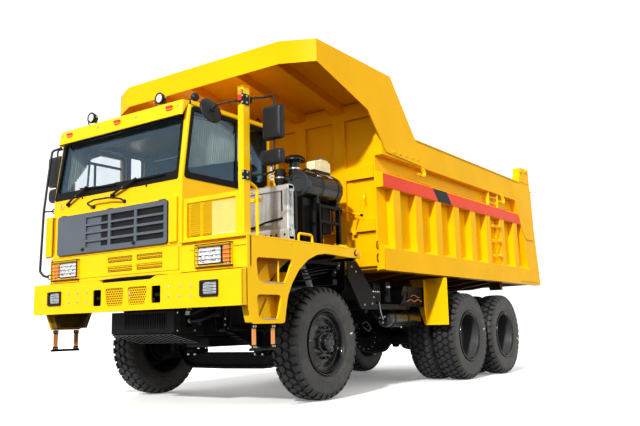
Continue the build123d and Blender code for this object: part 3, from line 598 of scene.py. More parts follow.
def tube(points, r, bend=0.05, seg=12, steps=6, caps=True, flat=1.0, ring=None):
    """Round bar or pipe along a path. flat squeezes it across; ring is not used."""
    pts = path_points(points, bend, steps)
    verts, rings = [], []
    side = None
    for i, p in enumerate(pts):
        d = (pts[min(i + 1, len(pts) - 1)] - pts[max(i - 1, 0)]).normalized()
        if side is None:
            side = d.orthogonal().normalized() if abs(d.z) > 0.9 else d.cross(Vector((0, 0, 1))).normalized()
        else:
            side = (side - d * side.dot(d)).normalized()
        other = d.cross(side)
        row = []
        rr = r[min(i, len(r) - 1)] if isinstance(r, (list, tuple)) else r
        for k in range(seg):
            a = 2 * math.pi * k / seg
            row.append(len(verts))
            verts.append(p + side * (rr * math.cos(a)) + other * (rr * flat * math.sin(a)))
        rings.append(row)
    faces = []
    for a, b in zip(rings, rings[1:]):
        for k in range(seg):
            j = (k + 1) % seg
            faces.append([a[k], a[j], b[j], b[k]])
    if caps:
        faces.append(rings[0][::-1])
        faces.append(rings[-1])
    return verts, faces


def strip(points, width, thick, across, bend=0.02, steps=5):
    """Flat band along a path; across is the direction of its width."""
    pts = path_points(points, bend, steps)
    w = Vector(across).normalized() * (width / 2)
    verts, faces = [], []
    for i, p in enumerate(pts):
        d = (pts[min(i + 1, len(pts) - 1)] - pts[max(i - 1, 0)]).normalized()
        n = d.cross(w).normalized() * (thick / 2)
        verts += [p + w + n, p - w + n, p - w - n, p + w - n]
    for i in range(len(pts) - 1):
        a, b = 4 * i, 4 * i + 4
        for k in range(4):
            j = (k + 1) % 4
            faces.append([a + k, b + k, b + j, a + j])
    faces.append([0, 1, 2, 3])
    e = 4 * (len(pts) - 1)
    faces.append([e + 3, e + 2, e + 1, e])
    return verts, faces


def perforated(inside, y0, y1, z0, z1, x, pitch, hole, thick=0.003, sides=6, skew=None):
    """Sheet with staggered round holes, facing +x. inside(y, z) says whether a cell is kept."""
    verts, faces = [], []
    row_h = pitch * math.sqrt(3) / 2
    rows = int((z1 - z0) / row_h) + 1
    cols = int((y1 - y0) / pitch) + 1
    R = pitch / math.sqrt(3)
    for j in range(rows + 1):
        for i in range(cols + 1):
            cy = y0 + i * pitch + (pitch / 2 if j % 2 else 0)
            cz = z0 + j * row_h
            if not inside(cy, cz):
                continue
            base = len(verts)
            for k in range(6):
                a = math.radians(30 + 60 * k)
                verts.append((x, cy + R * math.cos(a), cz + R * math.sin(a)))
            for k in range(6):
                a = math.radians(30 + 60 * k)
                verts.append((x, cy + hole * math.cos(a), cz + hole * math.sin(a)))
            for k in range(6):
                a = math.radians(30 + 60 * k)
                verts.append((x - thick, cy + hole * math.cos(a), cz + hole * math.sin(a)))
            for k in range(6):
                j2 = (k + 1) % 6
                faces.append([base + k, base + j2, base + 6 + j2, base + 6 + k])
                faces.append([base + 6 + k, base + 6 + j2, base + 12 + j2, base + 12 + k])
    return verts, faces


def rounded(points, r, seg=5):
    """2-D outline with rounded corners; r is one radius or one per corner."""
    out = []
    n = len(points)
    for i in range(n):
        a, b, c = (Vector(points[(i + k) % n]) for k in (-1, 0, 1))
        rr = r[i] if isinstance(r, (list, tuple)) else r
        if rr <= 0:
            out.append(tuple(b))
            continue
        u, w = (a - b), (c - b)
        turn = math.pi - u.angle(w)
        cut = min(rr * math.tan(turn / 2), 0.48 * u.length, 0.48 * w.length)
        p, q = b + u.normalized() * cut, b + w.normalized() * cut
        for k in range(seg + 1):
            t = k / seg
            out.append(tuple((1 - t) ** 2 * p + 2 * t * (1 - t) * b + t * t * q))
    return out


def ring_frame(outer, inner, plane, a0, a1, c=0.0):
    """Flat frame between two outlines of the same number of points."""
    def place(p, a):
        if plane == "xz":
            return (p[0], a, p[1])
        if plane == "yz":
            return (a, p[0], p[1])
        return (p[0], p[1], a)
    n = len(outer)
    verts = [place(p, a) for a in (a0, a1) for ring in (outer, inner) for p in ring]
    faces = []
    for i in range(n):
        j = (i + 1) % n
        faces += [[i, j, n + j, n + i], [2 * n + i, 3 * n + i, 3 * n + j, 2 * n + j],
                  [i, 2 * n + i, 2 * n + j, j], [n + i, n + j, 3 * n + j, 3 * n + i]]
    bm = bmesh.new()
    vs = [bm.verts.new(v) for v in verts]
    for f in faces:
        bm.faces.new([vs[k] for k in f])
    bmesh.ops.recalc_face_normals(bm, faces=bm.faces)
    if c:
        edges = [e for e in bm.edges if e.calc_face_angle(0) > math.radians(30)]
        bmesh.ops.bevel(bm, geom=edges, offset=c, segments=1, affect="EDGES", clamp_overlap=True)
    return from_bmesh(bm)


def cad_copy(node, name, mat, bevel=0.004, seg=2, angle=28.0, drop=None, keep=None, mats=None, show=True):
    """The CAD node's own shape with softened edges, standing for the node. mats is a list of (material, test on a face's
    centre and normal) for faces that take another material."""
    src = frame["nodes"][node]
    me = src.data.copy()
    me.materials.clear()
    bm = bmesh.new()
    bm.from_mesh(me)
    bmesh.ops.remove_doubles(bm, verts=bm.verts, dist=1e-5)
    bmesh.ops.dissolve_limit(bm, angle_limit=math.radians(0.8), verts=bm.verts, edges=bm.edges, delimit={"NORMAL"})
    if drop:
        gone = [f for f in bm.faces if drop(f.calc_center_median() - Vector((FX, 0, 0)), f.normal)]
        bmesh.ops.delete(bm, geom=gone, context="FACES")
    bm.to_mesh(me)
    bm.free()
    me.materials.append(MAT[mat])
    for p in me.polygons:
        p.material_index = 0
        p.use_smooth = True
    ob = bpy.data.objects.new(name, me)
    SCENE.collection.objects.link(ob)
    if bevel:
        b = ob.modifiers.new("bevel", "BEVEL")
        b.width = bevel
        b.segments = seg
        b.limit_method = "ANGLE"
        b.angle_limit = math.radians(angle)
        b.use_clamp_overlap = True
        b.miter_outer = "MITER_SHARP"
        apply(ob)
    me = ob.data
    if mats:
        for k, test in mats:
            me.materials.append(MAT[k])
            i = len(me.materials) - 1
            for p in me.polygons:
                if test(p.center - Vector((FX, 0, 0)), p.normal):
                    p.material_index = i
    for p in me.polygons:
        p.use_smooth = True
    me.set_sharp_from_angle(angle=math.radians(35))
    weigh(ob)
    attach(ob, src["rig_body"])
    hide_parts(node)
    return ob


def dress(node, mat):
    """A CAD node that keeps its own mesh and gets a finished material."""
    o = frame["nodes"][node]
    for s in o.material_slots:
        s.material = MAT[mat]
    if not o.material_slots:
        o.data.materials.append(MAT[mat])


# ------------------------------------------------------------------ tyres and rims
TYRE_R = 0.685
WHEEL_Z = 0.685
PITCHES = 38
# unrolled distance from the middle, tread radius and offset, groove radius and offset
CROWN = ((0.000, 0.6850, 0.000, 0.6600, 0.000), (0.060, 0.6845, 0.060, 0.6595, 0.060), (0.100, 0.6820, 0.0995, 0.6570, 0.098),
         (0.125, 0.6785, 0.1245, 0.6530, 0.121), (0.145, 0.6730, 0.1435, 0.6475, 0.138), (0.160, 0.6660, 0.1570, 0.6410, 0.149),
         (0.176, 0.6540, 0.1690, 0.6320, 0.159), (0.193, 0.6385, 0.1775, 0.6210, 0.169), (0.214, 0.6180, 0.1845, 0.6080, 0.180))


def crown(s, depth):
    """(radius, offset) at unrolled distance s; depth 0 is the tread's top and 1 the groove's bottom."""
    k = abs(s)
    for a, b in zip(CROWN, CROWN[1:]):
        if k <= b[0] or b is CROWN[-1]:
            t = (k - a[0]) / (b[0] - a[0])
            r = [a[i] + (b[i] - a[i]) * t for i in range(1, 5)]
            break
    radius = r[0] + (r[2] - r[0]) * depth
    offset = r[1] + (r[3] - r[1]) * depth
    return radius, math.copysign(offset, s)


def tread_block(rows, sign, shift):
    """One block about angle 0. rows are (distance from the middle, half length); sign picks the side."""
    c = 0.0035
    n = len(rows)
    side, top = [], []
    for i, (s, half) in enumerate(rows):
        side.append((s, half))
        st = s + (c if i == 0 else -c if i == n - 1 else 0)
        top.append((st, max(0.0, half - c)))
    verts, faces = [], []

    def put(s, u, h):
        r, y = crown(sign * s if s >= 0 else -sign * abs(s), h)
        a = (u + shift) / TYRE_R
        verts.append((r * math.cos(a), y, r * math.sin(a)))
        return len(verts) - 1

    levels = []
    for ring, h in ((side, 1.0), (side, 0.14), (top, 0.0)):
        levels.append([(put(s, -half, h), put(s, half, h)) for s, half in ring])
    low, mid, high = levels
    for a, b in zip(high, high[1:]):
        faces.append([a[0], a[1], b[1], b[0]])
    for lo, up in ((low, mid), (mid, high)):
        for k in range(n - 1):
            faces.append([lo[k][0], up[k][0], up[k + 1][0], lo[k + 1][0]])
            faces.append([lo[k][1], lo[k + 1][1], up[k + 1][1], up[k][1]])
        faces.append([lo[0][0], lo[0][1], up[0][1], up[0][0]])
        faces.append([lo[-1][0], up[-1][0], up[-1][1], lo[-1][1]])
    return verts, faces


def tread_mesh():
    bm = bmesh.new()
    pitch = 2 * math.pi * TYRE_R / PITCHES
    inner = ((-0.002, 0.0), (0.024, 0.0410), (0.050, 0.0430), (0.072, 0.0410), (0.094, 0.0))
    outer = ((0.100, 0.0), (0.126, 0.0385), (0.145, 0.0395), (0.160, 0.0395), (0.176, 0.0385), (0.193, 0.0370), (0.2135, 0.0350))
    groups = []
    for k in range(PITCHES):
        for sign, base in ((1, 0.0), (-1, 0.5)):
            groups.append(tread_block(inner, sign, (k + base) * pitch))
            groups.append(tread_block(outer, sign, (k + base + 0.5) * pitch))
    for verts, faces in groups:
        vs = [bm.verts.new(v) for v in verts]
        for f in faces:
            try:
                bm.faces.new([vs[i] for i in f])
            except ValueError:
                pass
    bmesh.ops.remove_doubles(bm, verts=bm.verts, dist=1e-5)
    bmesh.ops.dissolve_degenerate(bm, edges=bm.edges, dist=1e-5)
    bmesh.ops.recalc_face_normals(bm, faces=bm.faces)
    return from_bmesh(bm)


SIDEWALL = ((0.6045, 0.1815), (0.6000, 0.1850), (0.5850, 0.1868), (0.5815, 0.1852), (0.5760, 0.1852), (0.5725, 0.1872),
            (0.5450, 0.1875), (0.5150, 0.1872), (0.4900, 0.1852), (0.4740, 0.1832), (0.4700, 0.1852), (0.4640, 0.1850),
            (0.4610, 0.1812), (0.4400, 0.1745), (0.4260, 0.1690), (0.4200, 0.1712), (0.4130, 0.1690), (0.4080, 0.1625),
            (0.3960, 0.1570), (0.3860, 0.1500), (0.3800, 0.1400))
TREAD = tread_mesh()


def carcass():
    half = [(r, y) for _, _, _, r, y in CROWN] + list(SIDEWALL)
    prof = [(r, -y) for r, y in reversed(half[1:])] + half
    return lathe(prof, (0, 0, 0), (0, 1, 0), 108)


CARCASS = carcass()


def side_text_free_marks(side):
    """Raised radial ribs in a ring on the sidewall by the shoulder."""
    parts = []
    for k in range(PITCHES * 2):
        a = 2 * math.pi * (k + 0.5) / (PITCHES * 2)
        m = Matrix.Rotation(-a, 3, "Y")
        parts.append(moved(block((0.588, side * 0.1860 - 0.0012, -0.0035), (0.600, side * 0.1860 + 0.0008, 0.0035), 0.0006), m))
    return join(*parts)


MARKS = side_text_free_marks(1)


def add_tyre(piece, at, flip, turn):
    m = Matrix.Rotation(turn, 3, "Y") @ (Matrix.Diagonal((1, -1, 1)) if flip else Matrix.Identity(3))
    def put(part, mat):
        v, f = moved(part, m, at)
        piece.add((v, [x[::-1] for x in f] if flip else f), mat)
    put(CARCASS, "tyre_side")
    put(TREAD, "tyre_tread")
    put(MARKS, "tyre_side")
    # painted shade: a near-black floor darkens the grooves
    ring = [(r + 0.0006, y) for _, _, _, r, y in CROWN[:7]]
    put(lathe([(r, -y) for r, y in reversed(ring[1:])] + ring, (0, 0, 0), (0, 1, 0), 108), "groove_and_hole_painted_shade")


def stud_ring(piece, centre, out, radius, count, y, r=0.019, h=0.030, mat="gloss_black", turn=0.0, steel="black_cast"):
    for k in range(count):
        a = turn + 2 * math.pi * k / count
        p = Vector((centre[0] + radius * math.cos(a), centre[1] + out * y, centre[2] + radius * math.sin(a)))
        n = (0, out, 0)
        piece.add(lathe([(r * 1.5, 0), (r * 1.5, 0.004), (r * 1.1, 0.009), (0, 0.009)], p, n, 20), mat)
        piece.add(lathe([(r, 0.009), (r, 0.006 + h * 0.8), (r * 0.86, 0.006 + h), (0.011, 0.006 + h)], p, n, 6), steel)
        piece.add(lathe([(0.011, 0.006 + h - 0.002), (0.011, h + 0.020), (0.008, h + 0.024), (0, h + 0.024)], p, n, 12), mat)


def hole_ring(piece, centre, out, radius, count, y, r, tilt=0.0, turn=0.0):
    for k in range(count):
        a = turn + 2 * math.pi * k / count
        rad = Vector((math.cos(a), 0, math.sin(a)))
        n = (Vector((0, out, 0)) + rad * tilt).normalized()
        p = Vector((centre[0], centre[1] + out * y, centre[2])) + rad * radius
        piece.add(lathe([(r * 1.22, -0.001), (r * 1.20, 0.0022), (r * 1.02, 0.0030), (r * 0.94, 0.0005)], p, n, 18), "gloss_black")
        # near-black disc in each hole: painted shade seen through it
        piece.add(lathe([(r, 0.0012), (0, 0.0010)], p, n, 18), "groove_and_hole_painted_shade")


def front_rim(name, side):
    p = Piece(name, name.replace("_rim_body", "_wheel"), "rim_paint")
    c = (0.0, side * 1.4125, WHEEL_Z)
    ax = (0, side, 0)
    face = [(0.340, -0.02), (0.372, 0.080), (0.384, 0.148), (0.3905, 0.156), (0.3920, 0.168), (0.3880, 0.1765), (0.3790, 0.1775), (0.3720, 0.170),
            (0.3650, 0.152), (0.3560, 0.147), (0.3545, 0.156), (0.3480, 0.1585), (0.3430, 0.152), (0.3385, 0.118),
            (0.3300, 0.100), (0.3120, 0.093), (0.2800, 0.098), (0.2450, 0.112), (0.2280, 0.121), (0.2150, 0.124),
            (0.1250, 0.124)]
    p.add(lathe(face, c, ax, 72), "gloss_black")
    p.add(lathe([(0.130, 0.120), (0.128, 0.132), (0.120, 0.140), (0.104, 0.143), (0.100, 0.150), (0.098, 0.196),
                 (0.094, 0.208), (0.084, 0.215), (0.060, 0.218), (0.056, 0.2225), (0.030, 0.2235), (0.026, 0.221),
                 (0.0, 0.221)], c, ax, 40), "gloss_black")
    for k in range(6):
        a = math.radians(30 + 60 * k)
        q = Vector(c) + Vector((0.081 * math.cos(a), side * 0.2145, 0.081 * math.sin(a)))
        p.add(bolt(q, ax, 0.0075, 0.006), "black_cast")
    stud_ring(p, c, side, 0.188, 12, 0.124, turn=math.radians(15))
    for k in range(8):
        a = 2 * math.pi * (k + 0.5) / 8
        q = Vector(c) + Vector((0.142 * math.cos(a), side * 0.124, 0.142 * math.sin(a)))
        p.add(bolt(q, ax, 0.009, 0.010), "black_cast")
    hole_ring(p, c, side, 0.286, 15, 0.0975, 0.0135, tilt=0.16)
    # lock-ring split and valve
    p.add(tube([Vector(c) + Vector((0.305, side * 0.096, 0.03)), Vector(c) + Vector((0.325, side * 0.125, 0.032)),
                Vector(c) + Vector((0.330, side * 0.150, 0.034))], 0.005, 0.01, 8), "steel")
    # inner side: barrel, flange and brake drum
    p.add(lathe([(0.3385, 0.118), (0.336, 0.0), (0.345, -0.120), (0.3820, -0.148), (0.3910, -0.158), (0.3910, -0.172),
                 (0.3840, -0.1775), (0.3760, -0.172), (0.3400, -0.110), (0.318, 0.0), (0.318, 0.085), (0.300, 0.088),
                 (0.240, 0.090), (0.232, 0.050), (0.232, -0.112), (0.224, -0.1195), (0.212, -0.1195), (0.206, -0.100),
                 (0.206, 0.070), (0.075, 0.070)], c, ax, 64), "black_cast")
    for k in range(24):
        a = 2 * math.pi * k / 24
        m = Matrix.Rotation(-a, 3, "Y")
        p.add(moved(block((0.2315, -0.10, -0.004), (0.2365, 0.045, 0.004), 0.001), m @ (Matrix.Diagonal((1, side, 1))),
                    c), "black_cast")
    return p.done(replaces=(name.replace("_body", ""),))


def dual_rim(name, side, x):
    p = Piece(name, name.replace("_rims_body", "_wheels"), "rim_paint")
    c = (x, side * 1.4275, WHEEL_Z)
    ax = (0, side, 0)
    face = [(0.350, 0.20), (0.374, 0.300), (0.384, 0.363), (0.3905, 0.371), (0.3920, 0.383), (0.3880, 0.3915), (0.3790, 0.3925), (0.3720, 0.385),
            (0.3650, 0.367), (0.3560, 0.362), (0.3545, 0.371), (0.3480, 0.3735), (0.3430, 0.367)]
    p.add(lathe(face, c, ax, 72), "gloss_black")
    # dish and hub in the lighter grey: painted bounce light on the rim's shaded inside
    p.add(lathe([(0.3430, 0.367), (0.3370, 0.330), (0.3300, 0.230), (0.3230, 0.140), (0.3100, 0.100), (0.2900, 0.082), (0.2600, 0.073),
                 (0.2250, 0.064), (0.2150, 0.062), (0.1450, 0.062)], c, ax, 72), "rim_painted_bounce_light")
    p.add(lathe([(0.150, 0.058), (0.149, 0.074), (0.142, 0.082), (0.130, 0.086), (0.122, 0.128), (0.112, 0.138),
                 (0.104, 0.141), (0.100, 0.170), (0.090, 0.178), (0.050, 0.181), (0.0, 0.181)], c, ax, 40), "rim_painted_bounce_light")
    for k in range(10):
        a = 2 * math.pi * k / 10
        q = Vector(c) + Vector((0.1165, 0, 0)) * math.cos(a) + Vector((0, 0, 0.1165)) * math.sin(a) + Vector((0, side * 0.134, 0))
        p.add(bolt(q, ax, 0.0075, 0.007), "black_cast")
    stud_ring(p, c, side, 0.188, 12, 0.062, turn=math.radians(15))
    hole_ring(p, c, side, 0.272, 15, 0.0765, 0.0135, tilt=0.2)
    p.add(tube([Vector(c) + Vector((0.300, side * 0.088, 0.03)), Vector(c) + Vector((0.316, side * 0.20, 0.032)),
                Vector(c) + Vector((0.325, side * 0.330, 0.034))], 0.005, 0.03, 8), "steel")
    # middle spacer, inner wheel and drum
    p.add(lathe([(0.337, 0.330), (0.340, 0.070), (0.3840, 0.062), (0.3905, 0.052), (0.3900, 0.040), (0.3800, 0.0365),
                 (0.330, 0.036), (0.330, -0.036), (0.3800, -0.0365), (0.3900, -0.040), (0.3905, -0.052), (0.3840, -0.062),
                 (0.340, -0.075), (0.340, -0.330), (0.3820, -0.362), (0.3910, -0.372), (0.3910, -0.385), (0.3840, -0.3925),
                 (0.3760, -0.387), (0.3300, -0.320), (0.306, -0.10), (0.302, -0.062), (0.250, -0.045), (0.236, -0.060),
                 (0.236, -0.300), (0.226, -0.310), (0.212, -0.306), (0.206, -0.250), (0.206, -0.050), (0.100, -0.050)],
                c, ax, 64), "black_cast")
    return p.done(replaces=(name.replace("_body", ""),))


def wheels():
    for name, side, x, mids in (("front_left", 1, 0.0, (1.4125,)), ("front_right", -1, 0.0, (1.4125,)),
                                ("middle_left", 1, -3.7, (1.2125, 1.6425)), ("middle_right", -1, -3.7, (1.2125, 1.6425)),
                                ("rear_left", 1, -5.2, (1.2125, 1.6425)), ("rear_right", -1, -5.2, (1.2125, 1.6425))):
        twin = len(mids) == 2
        node = name + ("_tyres" if twin else "_tyre")
        p = Piece(node + "_treaded", name + ("_wheels" if twin else "_wheel"), "tyre")
        for i, mid in enumerate(mids):
            add_tyre(p, Vector((x, side * mid, WHEEL_Z)), side < 0, RNG.uniform(0, 6.28) if x else 0.35)
        if side > 0:
            # small blank pale label on the outer sidewall
            a = math.radians(190 if x < -4 else 169)
            m = Matrix.Rotation(-a, 3, "Y")
            p.add(moved(block((0.500, 0.1868, -0.011), (0.555, 0.1880, 0.011), 0.0004), m,
                        (x, mids[-1], WHEEL_Z)), "cream")
        p.done(replaces=(node,), angle=32)
        if twin:
            dual_rim(name + "_rims_body", side, x)
        else:
            front_rim(name + "_rim_body", side)


wheels()


# ------------------------------------------------------------------ more shape helpers
def holed(outer, holes, plane, a0, a1, c=0.003):
    """Plate between a0 and a1 with holes through it."""
    from mathutils.geometry import tessellate_polygon

    def place(p, a):
        if plane == "xz":
            return (p[0], a, p[1])
        if plane == "yz":
            return (a, p[0], p[1])
        return (p[0], p[1], a)
    loops = [list(outer)] + [list(h) for h in holes]
    flat = [p for loop in loops for p in loop]
    tris = tessellate_polygon([[Vector((p[0], p[1], 0)) for p in loop] for loop in loops])
    bm = bmesh.new()
    low = [bm.verts.new(place(p, a0)) for p in flat]
    high = [bm.verts.new(place(p, a1)) for p in flat]
    for t in tris:
        bm.faces.new([low[i] for i in t])
        bm.faces.new([high[i] for i in reversed(t)])
    base = 0
    for loop in loops:
        n = len(loop)
        for i in range(n):
            j = (i + 1) % n
            bm.faces.new([low[base + i], low[base + j], high[base + j], high[base + i]])
        base += n
    bmesh.ops.recalc_face_normals(bm, faces=bm.faces)
    if c:
        edges = [e for e in bm.edges if len(e.link_faces) == 2 and e.calc_face_angle(0) > math.radians(30)]
        bmesh.ops.bevel(bm, geom=edges, offset=c, segments=1, affect="EDGES", clamp_overlap=True)
    return from_bmesh(bm)


def rect(y0, y1, z0, z1):
    return [(y0, z0), (y1, z0), (y1, z1), (y0, z1)]


def cutter(part, name="cut"):
    v, f = part
    me = bpy.data.meshes.new(name)
    me.from_pydata([tuple(Vector(p) + Vector((FX, 0, 0))) for p in v], [], f)
    bm = bmesh.new()
    bm.from_mesh(me)
    bmesh.ops.recalc_face_normals(bm, faces=bm.faces)
    bm.to_mesh(me)
    bm.free()
    ob = bpy.data.objects.new(name, me)
    SCENE.collection.objects.link(ob)
    return ob


def cut_copy(node, name, mat, cuts, corner=None, corner_r=0.04, bevel=0.005, mats=None, replaces=True):
    """A CAD node's shape with recesses cut in it and its corners rounded."""
    src = frame["nodes"][node]
    me = src.data.copy()
    me.materials.clear()
    me.materials.append(MAT[mat])
    for p in me.polygons:
        p.material_index = 0
    bm = bmesh.new()
    bm.from_mesh(me)
    bmesh.ops.remove_doubles(bm, verts=bm.verts, dist=1e-5)
    bmesh.ops.dissolve_limit(bm, angle_limit=math.radians(0.8), verts=bm.verts, edges=bm.edges)
    bm.to_mesh(me)
    bm.free()
    ob = bpy.data.objects.new(name, me)
    SCENE.collection.objects.link(ob)
    tools = []
    for part in cuts:
        t = cutter(part)
        tools.append(t)
        mod = ob.modifiers.new("cut", "BOOLEAN")
        mod.operation = "DIFFERENCE"
        mod.solver = "EXACT"
        mod.object = t
    if tools:
        apply(ob)
        for t in tools:
            bpy.data.objects.remove(t)
    if corner:
        bm = bmesh.new()
        bm.from_mesh(ob.data)
        bmesh.ops.dissolve_limit(bm, angle_limit=math.radians(0.8), verts=bm.verts, edges=bm.edges)
        edges = [e for e in bm.edges if len(e.link_faces) == 2 and e.calc_face_angle(0) > math.radians(20)
                 and corner(e.verts[0].co - Vector((FX, 0, 0)), e.verts[1].co - Vector((FX, 0, 0)))]
        bmesh.ops.bevel(bm, geom=edges, offset=corner_r, segments=5, profile=0.5, affect="EDGES", clamp_overlap=True)
        bm.to_mesh(ob.data)
        bm.free()
    if bevel:
        b = ob.modifiers.new("bevel", "BEVEL")
        b.width = bevel
        b.segments = 2
        b.limit_method = "ANGLE"
        b.angle_limit = math.radians(28)
        b.use_clamp_overlap = True
        apply(ob)
    me = ob.data
    for k, test in mats or ():
        me.materials.append(MAT[k])
        i = len(me.materials) - 1
        for p in me.polygons:
            if test(p.center - Vector((FX, 0, 0)), p.normal):
                p.material_index = i
    for p in me.polygons:
        p.use_smooth = True
    me.set_sharp_from_angle(angle=math.radians(35))
    weigh(ob)
    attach(ob, src["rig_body"])
    if replaces:
        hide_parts(node)
    return ob


def in_poly(poly):
    def test(y, z, m=0.0):
        hit = False
        n = len(poly)
        for i in range(n):
            (y0, z0), (y1, z1) = poly[i], poly[(i + 1) % n]
            if (z0 > z) != (z1 > z) and y < (y1 - y0) * (z - z0) / (z1 - z0) + y0:
                hit = not hit
        return hit
    return test


def wire_guard(p, x, y0, y1, z0, z1, back, rows, mat="plastic", r=0.0042):
    """Bent wire guard standing off a lamp: a frame and horizontal wires that bend back at both ends."""
    for k in range(rows):
        z = z0 + (z1 - z0) * (k + 0.5) / rows
        p.add(tube([(back, y0, z), (x, y0, z), (x, y1, z), (back, y1, z)], r, 0.02, 8, 4), mat)
    for y in (y0, y1):
        p.add(tube([(x - 0.004, y, z0), (x - 0.004, y, z1)], r * 1.1, 0, 8), mat)


# ------------------------------------------------------------------ bumper
GRILLE_TRAP = ((0.036, 1.380), (0.365, 1.380), (0.330, 1.175), (0.052, 1.175))


def bumper():
    p = Piece("front_bumper_plate", "chassis", "yellow_paint")
    outer = rounded([(-1.775, 1.110), (1.775, 1.110), (1.775, 1.487), (0.500, 1.487), (0.410, 1.452), (-0.410, 1.452),
                     (-0.500, 1.487), (-1.775, 1.487)], [0.012, 0.012, 0.012, 0.03, 0.03, 0.03, 0.03, 0.012], 4)
    holes = []
    for s in (1, -1):
        holes.append([(s * y, z) for y, z in rounded(rect(0.436, 0.584, 1.182, 1.374), 0.020, 4)])
        holes.append([(s * y, z) for y, z in rounded(GRILLE_TRAP, 0.034, 5)])
        holes.append([(s * y, z) for y, z in rounded(rect(1.212, 1.450, 1.224, 1.384), 0.010, 3)])
    p.add(holed(outer, holes, "yz", 1.766, 1.780, 0.0035), "yellow")
    for s in (1, -1):
        # returns at the ends, with a rounded front corner, and the folded top and bottom lips
        p.add(prism(rounded([(1.779, s * 1.757), (1.779, s * 1.775), (1.696, s * 1.775), (1.696, s * 1.757)], 0.006, 2),
                    "xy", 1.110, 1.487, 0.003), "yellow")
        p.add(block((1.700, min(s * 0.5, s * 1.758), 1.475), (1.768, max(s * 0.5, s * 1.758), 1.487), 0.003), "yellow")
        trap = [(s * y, z) for y, z in rounded(GRILLE_TRAP, 0.034, 5)]
        inside = in_poly([(s * y, z) for y, z in GRILLE_TRAP])
        p.add(perforated(lambda y, z: inside(y, z), min(s * 0.036, s * 0.365), max(s * 0.036, s * 0.365), 1.178, 1.379,
                         1.7715, 0.0310, 0.0125, 0.003), "yellow")
        # black sheet behind the perforations: painted shade seen through the holes
        p.add(prism([(s * 0.02, 1.165), (s * 0.385, 1.165), (s * 0.385, 1.392), (s * 0.02, 1.392)], "yz", 1.735, 1.737, 0), "black_film_and_painted_shade")
        # fog lamp: recessed bowl, lens, black bezel and wire guard
        y0, y1 = sorted((s * 1.212, s * 1.450))
        p.add(holed(rounded(rect(y0 - 0.008, y1 + 0.008, 1.216, 1.392), 0.014, 3),
                    [rounded(rect(y0 + 0.012, y1 - 0.012, 1.236, 1.372), 0.012, 3)], "yz", 1.778, 1.796, 0.003), "plastic")
        p.add(block((1.735, y0 + 0.004, 1.228), (1.772, y1 - 0.004, 1.380), 0.008), "reflector")
        p.add(prism(rounded(rect(y0 + 0.020, y1 - 0.020, 1.244, 1.364), 0.020, 4), "yz", 1.770, 1.784, 0.005), "clear_lens")
        p.add(lathe([(0.052, 0), (0.050, 0.004), (0.020, 0.006), (0.0, 0.006)], (1.7835, s * 1.331, 1.304), (1, 0, 0), 32), "lamp_glass")
        wire_guard(p, 1.809, y0 - 0.004, y1 + 0.004, 1.222, 1.386, 1.782, 5)
        for y in (0.711, 0.880, 1.053):
            for z in (1.350, 1.240):
                p.add(lathe([(0.0155, 0), (0.0150, 0.0025), (0.0115, 0.003), (0.011, 0.0075), (0.007, 0.0098), (0, 0.010)],
                            (1.780, s * y, z), (1, 0, 0), 16), "steel")
        # brackets to the rails
        p.add(block((1.640, min(s * 0.345, s * 0.475), 1.125), (1.766, max(s * 0.345, s * 0.475), 1.245), 0.004), "black")
        for y in (0.66, 1.10, 1.60):
            p.add(prism([(1.700, 1.122), (1.768, 1.122), (1.768, 1.475), (1.752, 1.475)], "xz", s * y - 0.004, s * y + 0.004, 0.002), "yellow")
    p.add(block((1.700, -1.758, 1.110), (1.768, 1.758, 1.121), 0.003), "yellow")
    # tow pockets behind the windows, lined in black film as painted shade
    for s in (1, -1):
        a, b = sorted((s * 0.420, s * 0.600))
        p.add(block((1.640, a, 1.160), (1.648, b, 1.400), 0.002), "black_film_and_painted_shade")
        p.add(block((1.648, a, 1.160), (1.764, a + 0.008, 1.400), 0.002), "black_film_and_painted_shade")
        p.add(block((1.648, b - 0.008, 1.160), (1.764, b, 1.400), 0.002), "black_film_and_painted_shade")
        p.add(block((1.648, a, 1.392), (1.764, b, 1.400), 0.002), "black_film_and_painted_shade")
        p.add(block((1.648, a, 1.160), (1.764, b, 1.168), 0.002), "black_film_and_painted_shade")
    # dark radiator-guard plate seen in the dip between bumper and cab
    p.add(block((1.560, -0.62, 1.462), (1.700, 0.62, 1.478), 0.004), "black")
    p.add(tube([(1.66, -0.56, 1.492), (1.69, -0.2, 1.496), (1.69, 0.25, 1.496), (1.66, 0.56, 1.492)], 0.014, 0.05, 10), "hose")
    p.done(replaces=("front_bumper",))


bumper()


